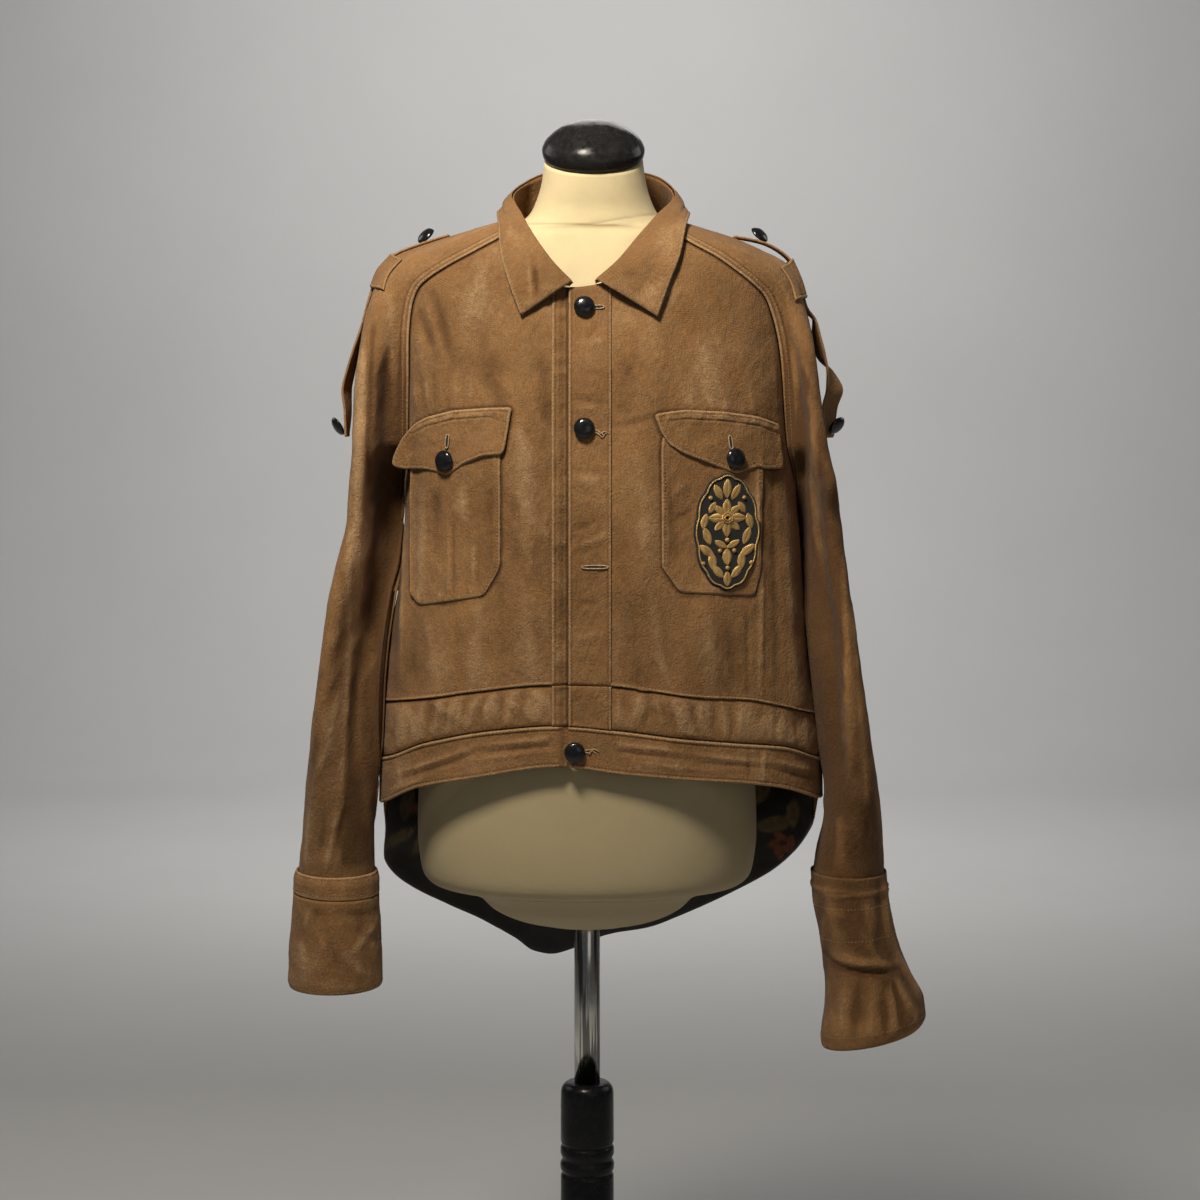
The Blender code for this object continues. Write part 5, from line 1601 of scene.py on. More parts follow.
def cuff_shape(rows, middle, columns, count, creases, seed, hem, seams=()):
    """Cuff as closed rings with its creases on the side that shows."""
    grid = ring_stack(rows, columns, np.linspace(0, len(rows) - 1, count))
    centre = np.array([middle[0], middle[1], 0.0]) + grid * (0, 0, 1)
    share = np.linspace(0, 1, count)[:, None]
    x, z = grid[..., 0], grid[..., 2]
    ahead = unit((middle[1] + 5 - grid[..., 1]) / 12)
    outer = unit((hem - share) / 0.08)
    angle = np.linspace(0, 2 * math.pi, columns, endpoint=False)[None, :]
    height = crease_rise(x, z, creases) * ahead
    height = height + 0.9 * worn_relief(np.sin(angle) * 60 + np.cos(angle) * 35, z, seed)
    for height_of, slope, profile in seams:
        level = height_of + slope * (x - middle[0])
        height = height + edge_profile(np.abs(z - level), profile)
    height = height * outer * unit(share * 14)
    # Creases painted darker as shade and ridges paler, with the fold rubbed pale
    wear_and_shading = np.clip(0.6 * height, -0.8, 0.9) + 0.6 * bell((share - hem) / 0.035)
    # The right cuff is painted darker all over, as shade on the side away from the light
    if middle[0] > 0:
        wear_and_shading = wear_and_shading - 0.6
    return lift_grid(grid, height, centre), wear_and_shading


def leaf_mask(x, z, rows):
    """How far places lie inside leaves or petals: middle, length, width and turn of each."""
    inside = np.zeros(np.broadcast(x, z).shape)
    for x_leaf, z_leaf, length, width, turn in rows:
        along = (x - x_leaf) * math.cos(math.radians(turn)) + (z - z_leaf) * math.sin(math.radians(turn))
        off = (z - z_leaf) * math.cos(math.radians(turn)) - (x - x_leaf) * math.sin(math.radians(turn))
        share = unit(along / length + 0.5)
        half = width / 2 * np.sin(math.pi * share) ** 0.75
        body = unit((half - np.abs(off)) / (0.14 * width))
        vein = 1 - 0.45 * bell(off / 0.9) - 0.25 * (np.sin(share * 22 - np.abs(off) * 0.7) > 0.55)
        inside = np.maximum(inside, body * vein)
    return inside


# Finishes

def start_finish(name, roughness):
    """New material, its nodes, its shader and the places on its object."""
    made = bpy.data.materials.new(name)
    made.use_nodes = True
    shader = made.node_tree.nodes["Principled BSDF"]
    shader.inputs["Roughness"].default_value = roughness
    return made, made.node_tree, shader, add_node(made.node_tree, "TexCoord").outputs["Object"]


def add_node(tree, kind, links=(), **values):
    """Node of a kind, with values by socket or property name and links by socket name."""
    node = tree.nodes.new("ShaderNode" + kind)
    for name, value in values.items():
        if hasattr(node, name):
            setattr(node, name, value)
        else:
            node.inputs[name.replace("_", " ")].default_value = value
    for name, source in dict(links).items():
        tree.links.new(source, node.inputs[name])
    return node


def noise_of(place, scale, detail=4.0, rough=0.6, distort=0.0):
    """Unevenness of a given scale."""
    node = add_node(
        place.id_data, "TexNoise", {"Vector": place},
        Scale=scale, Detail=detail, Roughness=rough, Distortion=distort,
    )
    return node.outputs["Fac"]


def blend_of(share, first, second):
    """Colour between two colours or sockets."""
    tree = share.id_data
    node = tree.nodes.new("ShaderNodeMix")
    node.data_type = "RGBA"
    for socket, value in ((node.inputs[0], share), (node.inputs[6], first), (node.inputs[7], second)):
        if isinstance(value, bpy.types.NodeSocket):
            tree.links.new(value, socket)
        else:
            socket.default_value = (*value[:3], 1.0)
    return node.outputs[2]


def range_of(value, low, high, to_low=0.0, to_high=1.0):
    """Value moved from one range to another and kept within it."""
    node = add_node(value.id_data, "MapRange", {"Value": value}, clamp=True)
    for index, number in ((1, low), (2, high), (3, to_low), (4, to_high)):
        node.inputs[index].default_value = number
    return node.outputs[0]


def set_shader(shader, **values):
    """Numbers and links of a shader by socket name."""
    for name, value in values.items():
        socket = shader.inputs[name.replace("_", " ")]
        if isinstance(value, bpy.types.NodeSocket):
            shader.id_data.links.new(value, socket)
        else:
            socket.default_value = value


def bumps_of(shader, layers):
    """Chain of bumps onto a shader: height socket, strength and depth in metres."""
    tree = shader.id_data
    before = None
    for height, strength, depth in layers:
        node = add_node(tree, "Bump", {"Height": height}, Strength=strength, Distance=depth)
        if before is not None:
            tree.links.new(before, node.inputs["Normal"])
        before = node.outputs["Normal"]
    tree.links.new(before, shader.inputs["Normal"])


def weave_of(tree, pitch, turn):
    """Slanting ribs of a twill, in the piece's own cloth coordinates."""
    place = add_node(tree, "UVMap", uv_map="weave").outputs["UV"]
    laid = add_node(tree, "Mapping", {"Vector": place}, Rotation=(0, 0, math.radians(turn)))
    wave = add_node(
        tree, "TexWave", {"Vector": laid.outputs["Vector"]}, wave_type="BANDS", bands_direction="X",
        Scale=2 * math.pi / (20 * pitch), Distortion=0.6, Detail=2.0, Detail_Scale=1.5,
    )
    return wave.outputs["Fac"], place


def drill_finish():
    """Garment-dyed cotton drill: mottled, rubbed pale on its edges and ridges with painted highlights there,
    and darker in its creases, seam grooves and recesses as painted shade.
    """
    cloth = settings("cloth")
    made, tree, shader, place = start_finish("garment_dyed_drill", 0.86)
    wear_and_shading = add_node(tree, "Attribute", attribute_name="wear_and_shading").outputs["Fac"]
    ribs, weave_place = weave_of(tree, cloth.rib_pitch, 63)
    broad = range_of(noise_of(place, 11.0, 6.0, 0.68), 0.36, 0.64)
    streak = add_node(tree, "Mapping", {"Vector": place}, Rotation=(0, 0.5, 0), Scale=(1.0, 1.0, 0.45))
    washed = range_of(noise_of(streak.outputs["Vector"], 70.0, 6.0, 0.72, 1.6), 0.42, 0.66)
    speck = range_of(noise_of(place, 300.0, 5.0, 0.75, 1.5), 0.45, 0.62)
    strand = add_node(
        tree, "Mapping", {"Vector": weave_place}, Rotation=(0, 0, math.radians(24)), Scale=(1, 0.16, 1),
    )
    fibre = range_of(noise_of(strand.outputs["Vector"], 900.0, 4.0, 0.65, 0.6), 0.4, 0.64)
    tone = blend_of(broad, cloth.drill_shade, cloth.drill)
    tone = blend_of(range_of(washed, 0, 1, 0.0, 0.4), tone, cloth.drill_grey)
    tone = blend_of(range_of(speck, 0, 1, 0.0, 0.15), tone, cloth.drill_worn_and_highlight)
    tone = blend_of(range_of(fibre, 0, 1, 0.34, 0.0), tone, cloth.drill_fibre_and_shade)
    tone = blend_of(range_of(ribs, 0, 1, 0.0, 0.12), tone, cloth.drill_worn_and_highlight)
    # Pale where the cloth is rubbed on its edges and ridges, which also serves as painted highlight there
    rubbed = add_node(tree, "Math", {0: wear_and_shading, 1: range_of(speck, 0, 1, 0.55, 1.15)}, operation="MULTIPLY")
    tone = blend_of(range_of(rubbed.outputs[0], 0.08, 0.9, 0.0, 0.75), tone, cloth.drill_worn_and_highlight)
    # Painted shade: darker in crease troughs, seam grooves, under lapping edges, round pockets and in
    # recesses
    tone = blend_of(range_of(wear_and_shading, -0.12, -0.9, 0.0, 0.7), tone, cloth.drill_fibre_and_shade)
    set_shader(shader, Base_Color=tone)
    rough = range_of(broad, 0, 1, 0.95, 0.86)
    set_shader(shader, Roughness=rough, Specular_IOR_Level=0.12, Sheen_Weight=0.06, Sheen_Roughness=0.5)
    curl = noise_of(place, 165.0, 3.0, 0.5, 2.6)
    slub = noise_of(weave_place, 700.0, 3.0, 0.6)
    pucker = noise_of(streak.outputs["Vector"], 95.0, 4.0, 0.6, 1.8)
    layers = (
        (pucker, 0.5, 0.0024), (curl, 0.6, 0.0017),
        (fibre, 0.35, 0.0004), (slub, 0.35, 0.0003), (ribs, 0.3, 0.00025),
    )
    bumps_of(shader, layers)
    return made


def thread_finish(name, colour, pitch=0.0009):
    """Twisted cotton thread."""
    made, tree, shader, place = start_finish(name, 0.7)
    wave = add_node(
        tree, "TexWave", {"Vector": place}, wave_type="BANDS", bands_direction="DIAGONAL",
        Scale=2 * math.pi / (20 * pitch), Distortion=1.5, Detail=2.0,
    ).outputs["Fac"]
    uneven = noise_of(place, 300.0, 3.0)
    deep = tuple(part * 0.45 for part in colour[:3])
    tone = blend_of(range_of(uneven, 0.3, 0.7), deep, colour)
    tone = blend_of(range_of(wave, 0, 1, 0, 0.35), tone, deep)
    set_shader(shader, Base_Color=tone, Sheen_Weight=0.1)
    bumps_of(shader, ((wave, 0.5, 0.0002),))
    return made


def lining_finish():
    """Near-black printed lining with muted leaves and petals."""
    cloth = settings("cloth")
    made, tree, shader, place = start_finish("printed_lining", 0.55)
    leaf = add_node(tree, "Attribute", attribute_name="leaf").outputs["Fac"]
    petal = add_node(tree, "Attribute", attribute_name="petal").outputs["Fac"]
    mottle = range_of(noise_of(place, 60.0, 4.0), 0.3, 0.7)
    ground = blend_of(mottle, tuple(part * 0.55 for part in cloth.lining[:3]), cloth.lining)
    green = blend_of(range_of(noise_of(place, 140.0), 0.3, 0.7), cloth.leaf_shade, cloth.leaf)
    tone = blend_of(range_of(leaf, 0.05, 0.75, 0.0, 0.95), ground, green)
    tone = blend_of(range_of(petal, 0.05, 0.8, 0.0, 0.9), tone, cloth.petal)
    set_shader(shader, Base_Color=tone, Sheen_Weight=0.1)
    ribs, _ = weave_of(tree, 0.0007, 0)
    bumps_of(shader, ((noise_of(place, 90.0, 3.0), 0.4, 0.001), (ribs, 0.2, 0.0001)))
    return made


def jersey_finish():
    """Cream knitted cover of the dress form, with fine wales, faint soiling, and painted shadow of the jacket
    that darkens its lower part.
    """
    stand = settings("stand")
    made, tree, shader, place = start_finish("cream_jersey", 0.8)
    wear_and_shading = add_node(tree, "Attribute", attribute_name="wear_and_shading").outputs["Fac"]
    soil = range_of(noise_of(place, 12.0, 5.0, 0.6), 0.35, 0.7)
    fleck = range_of(noise_of(place, 420.0, 3.0, 0.7), 0.62, 0.8)
    tone = blend_of(range_of(soil, 0, 1, 0.0, 0.35), stand.jersey, stand.jersey_soiled_and_shaded)
    tone = blend_of(range_of(fleck, 0, 1, 0.0, 0.3), tone, stand.jersey_soiled_and_shaded)
    tone = blend_of(range_of(wear_and_shading, 0.1, 0.9, 0.0, 0.6), tone, stand.jersey_soiled_and_shaded)
    # Painted shadow of the jacket: the cover darkens towards the lower form
    level = add_node(tree, "SeparateXYZ", {"Vector": place}).outputs["Z"]
    tone = blend_of(range_of(level, 0.96, 0.87, 0.0, 0.8), tone, stand.jersey_soiled_and_shaded)
    set_shader(shader, Base_Color=tone, Sheen_Weight=0.08)
    ribs, _ = weave_of(tree, 0.0011, 0)
    pull = noise_of(place, 150.0, 3.0, 0.6)
    bumps_of(shader, ((pull, 0.3, 0.0008), (ribs, 0.4, 0.0002)))
    return made


def gloss_finish(name, colour, smooth_part, dull_part, grain=300.0, marks=0.35, coat=0.0, shine=0.3):
    """Hard black gloss with handling marks, for horn, lacquer and moulded caps."""
    made, tree, shader, place = start_finish(name, smooth_part)
    cloud = range_of(noise_of(place, grain * 0.25, 5.0, 0.65), 0.4, 0.75)
    fine = range_of(noise_of(place, grain, 4.0, 0.7, 1.0), 0.5, 0.78)
    dust = tuple(min(part + 0.05, 1.0) for part in colour[:3])
    tone = blend_of(range_of(fine, 0, 1, 0.0, marks), colour, dust)
    tone = blend_of(range_of(cloud, 0, 1, 0.0, marks * 0.6), tone, dust)
    set_shader(shader, Base_Color=tone)
    rough = add_node(tree, "Math", {0: cloud, 1: fine}, operation="MAXIMUM").outputs[0]
    set_shader(
        shader, Roughness=range_of(rough, 0, 1, smooth_part, dull_part), Specular_IOR_Level=shine,
        Coat_Weight=coat, Coat_Roughness=0.08,
    )
    bumps_of(shader, ((fine, 0.12, 0.0003),))
    return made


def chrome_finish():
    """Plated steel pole with fine lengthwise polishing marks, and dark lengthwise stripes of painted
    reflection.
    """
    stand = settings("stand")
    made, tree, shader, place = start_finish("plated_steel", 0.2)
    set_shader(shader, Metallic=1.0)
    drawn = add_node(tree, "Mapping", {"Vector": place}, Scale=(1.0, 1.0, 0.04))
    lines = noise_of(drawn.outputs["Vector"], 900.0, 4.0, 0.7)
    cloud = noise_of(place, 30.0, 4.0)
    deep = tuple(part * 0.7 for part in stand.chrome[:3])
    tone = blend_of(range_of(cloud, 0.4, 0.7), stand.chrome, deep)
    # Painted reflection: dark lengthwise stripes standing in for the dark surroundings mirrored in the
    # plating
    dark = tuple(part * 0.12 for part in stand.chrome[:3])
    streak = range_of(noise_of(drawn.outputs["Vector"], 190.0, 2.0, 0.5), 0.46, 0.54)
    set_shader(
        shader, Base_Color=blend_of(range_of(streak, 0, 1, 0.0, 0.85), tone, dark),
        Roughness=range_of(lines, 0.3, 0.7, 0.1, 0.3),
    )
    bumps_of(shader, ((lines, 0.1, 0.0001),))
    return made


def felt_finish():
    """Black felt ground of the badge."""
    trims = settings("trims")
    made, tree, shader, place = start_finish("black_felt", 0.95)
    fluff = noise_of(place, 1200.0, 4.0, 0.7)
    light = tuple(part + 0.015 for part in trims.felt[:3])
    set_shader(shader, Base_Color=blend_of(range_of(fluff, 0.35, 0.7), trims.felt, light), Sheen_Weight=0.1)
    bumps_of(shader, ((fluff, 0.6, 0.0004),))
    return made


def gilt_finish():
    """Tarnished gilt thread in close satin stitches."""
    trims = settings("trims")
    made, tree, shader, place = start_finish("gilt_thread", 0.42)
    set_shader(shader, Metallic=0.55)
    laid = add_node(tree, "Mapping", {"Vector": place}, Rotation=(0, math.radians(38), 0))
    wave = add_node(
        tree, "TexWave", {"Vector": laid.outputs["Vector"]}, wave_type="BANDS", bands_direction="X",
        Scale=2 * math.pi / (20 * 0.0011), Distortion=1.2, Detail=2.0, Detail_Scale=2.0,
    ).outputs["Fac"]
    tarnish = range_of(noise_of(place, 160.0, 4.0, 0.65), 0.35, 0.7)
    deep = tuple(part * 0.22 for part in trims.gilt[:3])
    tone = blend_of(range_of(tarnish, 0, 1, 0.0, 0.6), trims.gilt, deep)
    tone = blend_of(range_of(wave, 0.0, 0.6, 0.55, 0.0), tone, deep)
    set_shader(shader, Base_Color=tone, Roughness=range_of(wave, 0, 1, 0.6, 0.35))
    bumps_of(shader, ((wave, 0.7, 0.0004),))
    return made


def floor_finish():
    """Plain pale studio floor."""
    stage = settings("stage")
    made, tree, shader, place = start_finish("pale_floor", 0.85)
    cloud = range_of(noise_of(place, 1.6, 4.0), 0.3, 0.7)
    deep = tuple(part * 0.96 for part in stage.floor[:3])
    set_shader(shader, Base_Color=blend_of(cloud, deep, stage.floor))
    bumps_of(shader, ((noise_of(place, 60.0, 4.0), 0.05, 0.0005),))
    return made


def finish_of(name):
    """Material of the scene by name, made the first time that it is asked for."""
    made = bpy.data.materials.get(name)
    if made is not None:
        return made
    trims = settings("trims")
    stand = settings("stand")
    makers = {
        "garment_dyed_drill": drill_finish,
        "pale_thread": lambda: thread_finish("pale_thread", trims.pale_thread),
        "brown_thread": lambda: thread_finish("brown_thread", trims.brown_thread),
        "printed_lining": lining_finish,
        "cream_jersey": jersey_finish,
        "black_horn": lambda: gloss_finish("black_horn", trims.horn, 0.12, 0.34, 700.0, 0.25, 0.3),
        "cap_gloss": lambda: gloss_finish("cap_gloss", stand.cap, 0.1, 0.4, 260.0, 0.3, 0.0, 0.16),
        "post_gloss": lambda: gloss_finish("post_gloss", stand.lacquer, 0.16, 0.4, 400.0, 0.1, 0.0, 0.16),
        "base_gloss": lambda: gloss_finish("base_gloss", stand.lacquer, 0.24, 0.5, 220.0, 0.4, 0.1),
        "plated_steel": chrome_finish,
        "black_felt": felt_finish,
        "gilt_thread": gilt_finish,
        "pale_floor": floor_finish,
    }
    return makers[name]()


# Sizes and colours that a user may change

def colour_of(words, value, about):
    """Colour property with four channels' worth of choice but no transparency."""
    return bpy.props.FloatVectorProperty(
        name=words, description=about, subtype="COLOR", size=3, min=0.0, max=1.0, default=value,
    )


def length_of(words, value, about):
    """Length property in metres."""
    return bpy.props.FloatProperty(
        name=words, description=about, default=value, min=0.0, subtype="DISTANCE", unit="LENGTH",
    )


def number_of(words, value, about, low=0.0, high=10.0):
    """Plain number property."""
    return bpy.props.FloatProperty(name=words, description=about, default=value, min=low, max=high)


class WorkJacketCloth(bpy.types.PropertyGroup):
    """Cloth of the jacket and its lining"""

    crease_depth: number_of("Crease depth", 1.0, "Depth of the creases and rumples", 0.0, 2.0)
    rib_pitch: length_of("Rib pitch", 0.0012, "Distance between the slanting ribs of the drill")
    drill: colour_of("Drill", (0.31, 0.152, 0.054), "Garment-dyed drill where it is clean")
    drill_shade: colour_of("Drill, deep", (0.2, 0.09, 0.027), "Drill where the dye took deepest")
    drill_grey: colour_of("Drill, washed", (0.21, 0.135, 0.068), "Greyer streaks left by washing")
    # Also the pale colour of the painted highlights on ridges and edges
    drill_worn_and_highlight: colour_of("Drill, worn", (0.52, 0.33, 0.175), "Drill rubbed pale on its edges")
    # Also the dark colour of the painted shade in creases, grooves and recesses
    drill_fibre_and_shade: colour_of("Drill, crease", (0.06, 0.026, 0.009), "Drill down in its creases")
    lining: colour_of("Lining", (0.014, 0.01, 0.006), "Ground of the printed lining")
    leaf: colour_of("Leaf", (0.19, 0.13, 0.05), "Leaves of the print")
    leaf_shade: colour_of("Leaf, deep", (0.08, 0.055, 0.024), "Shaded leaves of the print")
    petal: colour_of("Petal", (0.22, 0.065, 0.026), "Petals of the print")


class WorkJacketTrims(bpy.types.PropertyGroup):
    """Thread, buttons and badge"""

    stitch_pitch: length_of("Stitch pitch", 0.0034, "Length of one sewn stitch")
    brown_thread: colour_of("Brown thread", (0.5, 0.31, 0.16), "Thread of the sewn seams")
    pale_thread: colour_of("Pale thread", (0.62, 0.42, 0.24), "Frayed thread of the buttonholes")
    horn: colour_of("Horn", (0.006, 0.006, 0.007), "Black buttons")
    felt: colour_of("Felt", (0.008, 0.007, 0.006), "Ground of the badge")
    gilt: colour_of("Gilt", (0.95, 0.6, 0.22), "Gilt thread of the badge")


class WorkJacketStand(bpy.types.PropertyGroup):
    """Dress form and its stand"""

    jersey: colour_of("Jersey", (0.76, 0.62, 0.36), "Cream cover of the dress form")
    # Also the colour of the painted shadow that darkens the lower form under the jacket
    jersey_soiled_and_shaded: colour_of("Jersey, soiled", (0.36, 0.285, 0.16), "Faint soiling of the cover")
    cap: colour_of("Cap", (0.012, 0.011, 0.011), "Glossy cap on the neck")
    chrome: colour_of("Plating", (0.6, 0.59, 0.55), "Plated pole under the form")
    lacquer: colour_of("Lacquer", (0.006, 0.006, 0.007), "Black post and base")


class WorkJacketStage(bpy.types.PropertyGroup):
    """Floor, light and camera"""

    floor: colour_of("Floor", (0.62, 0.62, 0.62), "Plain pale floor")
    key: number_of("Key light", 31.0, "Power of the soft light high in front, in watts", 0.0, 500.0)
    fill: number_of("Fill light", 2.5, "Power of the weak light low in front, in watts", 0.0, 500.0)
    back: number_of(
        "Light behind", 9.0, "Power of each of the three lights behind and beside, in watts", 0.0, 500.0,
    )
    far: number_of("Far light", 90.0, "Power of the light on the sweep behind, in watts", 0.0, 500.0)
    room: number_of("Room light", 0.07, "Even light from all round", 0.0, 5.0)
    distance: length_of("Camera distance", 2.4, "From the camera to the middle of the jacket")
    height: length_of("Aim height", 1.028, "Height of the middle of the picture")
    drop: number_of("Camera drop", 4.6, "Downward angle of the camera, in degrees", -90.0, 90.0)
    lens: number_of("Lens", 72.0, "Focal length for a 36 mm wide sensor, in millimetres", 1.0, 500.0)


# Pieces

def measure_cut(made):
    """Width, length and area of the cut of a cloth piece, along its rows and columns."""
    mesh = made.data
    layer = mesh.uv_layers["weave"]
    places = np.zeros(2 * len(layer.data))
    layer.data.foreach_get("uv", places)
    places = places.reshape(-1, 2)
    width, length = places.max(axis=0) - places.min(axis=0)
    area = sum(face.area for face in mesh.polygons)
    return float(width), float(length), float(min(area, FULL_CUT * width * length))


def cut_piece(made, node, slot="drill"):
    """Puts a cloth piece on the root body, hides its node and measures its cut."""
    owned(made, slot, node)
    width, length, area = measure_cut(made)
    return made


def drill(node, grid, wall=WALL, wear_and_shading=None, closed=False, inside=(0.0, 0.0)):
    """Drill piece of a node over its fine grid."""
    made = cloth_grid(node + "_cloth", grid, finish_of("garment_dyed_drill"), wall, wear_and_shading, closed, inside)
    return cut_piece(made, node)


def sewn(name, lines, middle=(0.0, 0.0)):
    """Rows of stitches in the brown thread of the seams."""
    return owned(stitches(name, lines, finish_of("brown_thread"), middle), "drill")


class WORKJACKET_OT_fronts(bpy.types.Operator):
    """Two fronts with their gathers, tuck and soft creases"""

    bl_idname = "work_jacket.fronts"
    bl_label = "Fronts"

    def execute(self, context):
        lines = []
        for side, words in ((-1, "left"), (1, "right")):
            grid, wear_and_shading = front_shape(side)
            lines.append(edge_line(grid[94:], "foot", 3.4))
            if side < 0:
                grid, wear_and_shading = add_underlap(grid, wear_and_shading)
            drill("front_" + words, grid, wear_and_shading=wear_and_shading)
        sewn("front_stitches", lines)
        return {"FINISHED"}


class WORKJACKET_OT_back(bpy.types.Operator):
    """Long back with its curved tail and turned hem"""

    bl_idname = "work_jacket.back"
    bl_label = "Back"

    def execute(self, context):
        grid, wear_and_shading = back_shape()
        drill("back", grid, wear_and_shading=wear_and_shading)
        lines = [edge_line(grid, "foot", distance) for distance in (3.4, 8.4)]
        for edge in ("start", "end"):
            lines.append(edge_line(grid[:60], edge, 6.0))
        sewn("back_stitches", lines)
        return {"FINISHED"}


class WORKJACKET_OT_sleeves(bpy.types.Operator):
    """Raglan sleeves with lapped, twice-sewn seams and long folds"""

    bl_idname = "work_jacket.sleeves"
    bl_label = "Sleeves"

    def execute(self, context):
        for side, words in ((-1, "left"), (1, "right")):
            grid, wear_and_shading = sleeve_shape(side)
            drill("sleeve_" + words, grid, wear_and_shading=wear_and_shading, inside=(side * 200, 0))
            lines = []
            for edge in ("start", "end"):
                for distance in (3.4, 8.0):
                    lines.append(edge_line(grid[4:126], edge, distance))
            sewn("sleeve_%s_stitches" % words, lines, (side * 120, 0))
        return {"FINISHED"}


class WORKJACKET_OT_straps(bpy.types.Operator):
    """Shoulder straps, their loops and what hangs below them"""

    bl_idname = "work_jacket.straps"
    bl_label = "Shoulder Straps"

    def execute(self, context):
        lines = []
        for side, words in ((-1, "left"), (1, "right")):
            strap, band, _, _ = strap_shapes(side)
            for name, coarse, rows, columns, wall in (
                ("strap_" + words, strap, 150, 22, STRAP_WALL), ("loop_" + words, band, 44, 60, LOOP_WALL),
            ):
                grid = refine(coarse, rows, columns)
                distance = np.minimum(from_edge(grid, "start"), from_edge(grid, "end"))
                distance = np.minimum(distance, np.minimum(from_edge(grid, "top"), from_edge(grid, "foot")))
                height = edge_profile(distance, SINGLE_EDGE)
                height = (
                    height
                    + 0.35 * worn_relief(grid[..., 1], grid[..., 2], 120 + side) * unit(distance / 4)
                )
                middle = np.array([side * 190.0, 0, 0]) + grid * (0, 0, 1)
                grid = lift_grid(grid, height, middle)
                # Edges rubbed pale, with painted shade in the dips of the edge and the rumples
                wear_and_shading = 0.8 * bell(distance / 1.6) + 0.4 * height
                drill(name, grid, wall, wear_and_shading, inside=(side * 190, 0))
                for edge in ("start", "end") if name.startswith("strap") else ("top", "foot"):
                    lines.append(edge_line(grid, edge, 3.2))
        sewn("strap_stitches", lines)
        return {"FINISHED"}


class WORKJACKET_OT_waist(bpy.types.Operator):
    """Gathered waist strips and the waistband under them"""

    bl_idname = "work_jacket.waist"
    bl_label = "Waist"

    def execute(self, context):
        lines = []
        for side, words, gathers, wrinkles in (
            (-1, "left", STRIP_CREASES_LEFT, BAND_CREASES_LEFT),
            (1, "right", STRIP_CREASES_RIGHT, BAND_CREASES_RIGHT),
        ):
            strip, strip_wear_and_shading = strip_shape(side, WAIST_SEAM, BAND_SEAM, 34, gathers, 140 + side, False)
            band, band_wear_and_shading = strip_shape(side, BAND_SEAM, HEM, 44, wrinkles, 150 + side, True)
            lines += [edge_line(band, "top", 3.2), edge_line(band, "foot", 3.6)]
            if side < 0:
                strip, strip_wear_and_shading = add_underlap(strip, strip_wear_and_shading)
                band, band_wear_and_shading = add_underlap(band, band_wear_and_shading)
            drill("waist_strip_" + words, strip, wear_and_shading=strip_wear_and_shading)
            drill("waistband_" + words, band, wear_and_shading=band_wear_and_shading)
        sewn("waist_stitches", lines)
        return {"FINISHED"}


class WORKJACKET_OT_opening(bpy.types.Operator):
    """Buttonhole band of the opening and the band under it"""

    bl_idname = "work_jacket.opening"
    bl_label = "Front Opening"

    def execute(self, context):
        neck = {side: front_panel(side, 12, 6, 60)[0] for side in (-1, 1)}
        lines = []
        for name, side, start, end, is_waist in (
            ("placket_outer", 1, FRONT_EDGE, PLACKET_INNER, False),
            ("placket_waist", 1, FRONT_EDGE, PLACKET_INNER, True),
            ("placket_under", -1, UNDER_STITCH, UNDERLAP_EDGE, False),
            ("placket_under_waist", -1, UNDER_STITCH, UNDERLAP_EDGE, True),
        ):
            rows = 40 if is_waist else 150
            places = np.linspace(start, end, 40)
            if is_waist:
                top = seam_height(WAIST_SEAM, places) - GAP
                foot = seam_height(BAND_SEAM, places) + GAP
            else:
                line = neck[side]
                if side > 0:
                    top = np.interp(np.maximum(places, line[0, 0]), line[:, 0] * side, line[:, 2])
                else:
                    top = np.interp(-np.minimum(places, STEP_OUT), -line[:, 0], line[:, 2])
                foot = seam_height(WAIST_SEAM, places) + GAP
            drop = np.linspace(0, 1, rows)[:, None]
            z = top[None, :] + (foot - top)[None, :] * drop
            x = np.broadcast_to(places, z.shape)
            point, out = front_base(side, x, z)
            depth = step_depth(x) if side < 0 else np.zeros(x.shape)
            point[..., 1] -= depth
            height = crease_rise(x, z, PLACKET_CREASES) * (1.0 if side > 0 else 0.7)
            if side < 0:
                height = height + 0.7 * crumple(x * 0.3, z, 7, 171) * unit((x + 33) / 4)
            height = height + 0.6 * worn_relief(x, z, 160 + side)
            distance = np.minimum(x - start, end - x)
            ends = np.minimum(from_edge(point, "top"), from_edge(point, "foot"))
            height = height * np.clip(np.minimum(distance, ends) / 4, 0.1, 1)
            height = height + edge_profile(distance, SINGLE_EDGE) - 0.5 * np.exp(-ends ** 2)
            base = front_relief(side, x, z) * np.clip(np.minimum(distance + 3, ends + 1) / 4, 0.2, 1)
            grid = point + out * (LAYER + base * 0.6 + height)[..., None]
            # Edges rubbed pale, with painted shade in the stitch groove beside them
            wear_and_shading = np.clip(0.5 * height, -0.8, 0.8) + 0.9 * bell((distance - 0.7) / 1.1)
            wear_and_shading = wear_and_shading - 0.6 * bell((distance - 3.4) / 0.7)
            # Painted shade on the underlap where the outer band's edge lies over it
            if side < 0:
                wear_and_shading = wear_and_shading - 2.2 * unit((x - FRONT_EDGE + 2.6) / 1.2)
            drill(name, grid, wear_and_shading=wear_and_shading)
            if side > 0:
                lines.append(edge_line(grid, "end", 2.6))
                lines.append(edge_line(grid, "start", 2.2))
            else:
                lines.append(edge_line(grid, "start", 2.6))
        sewn("opening_stitches", lines)
        return {"FINISHED"}


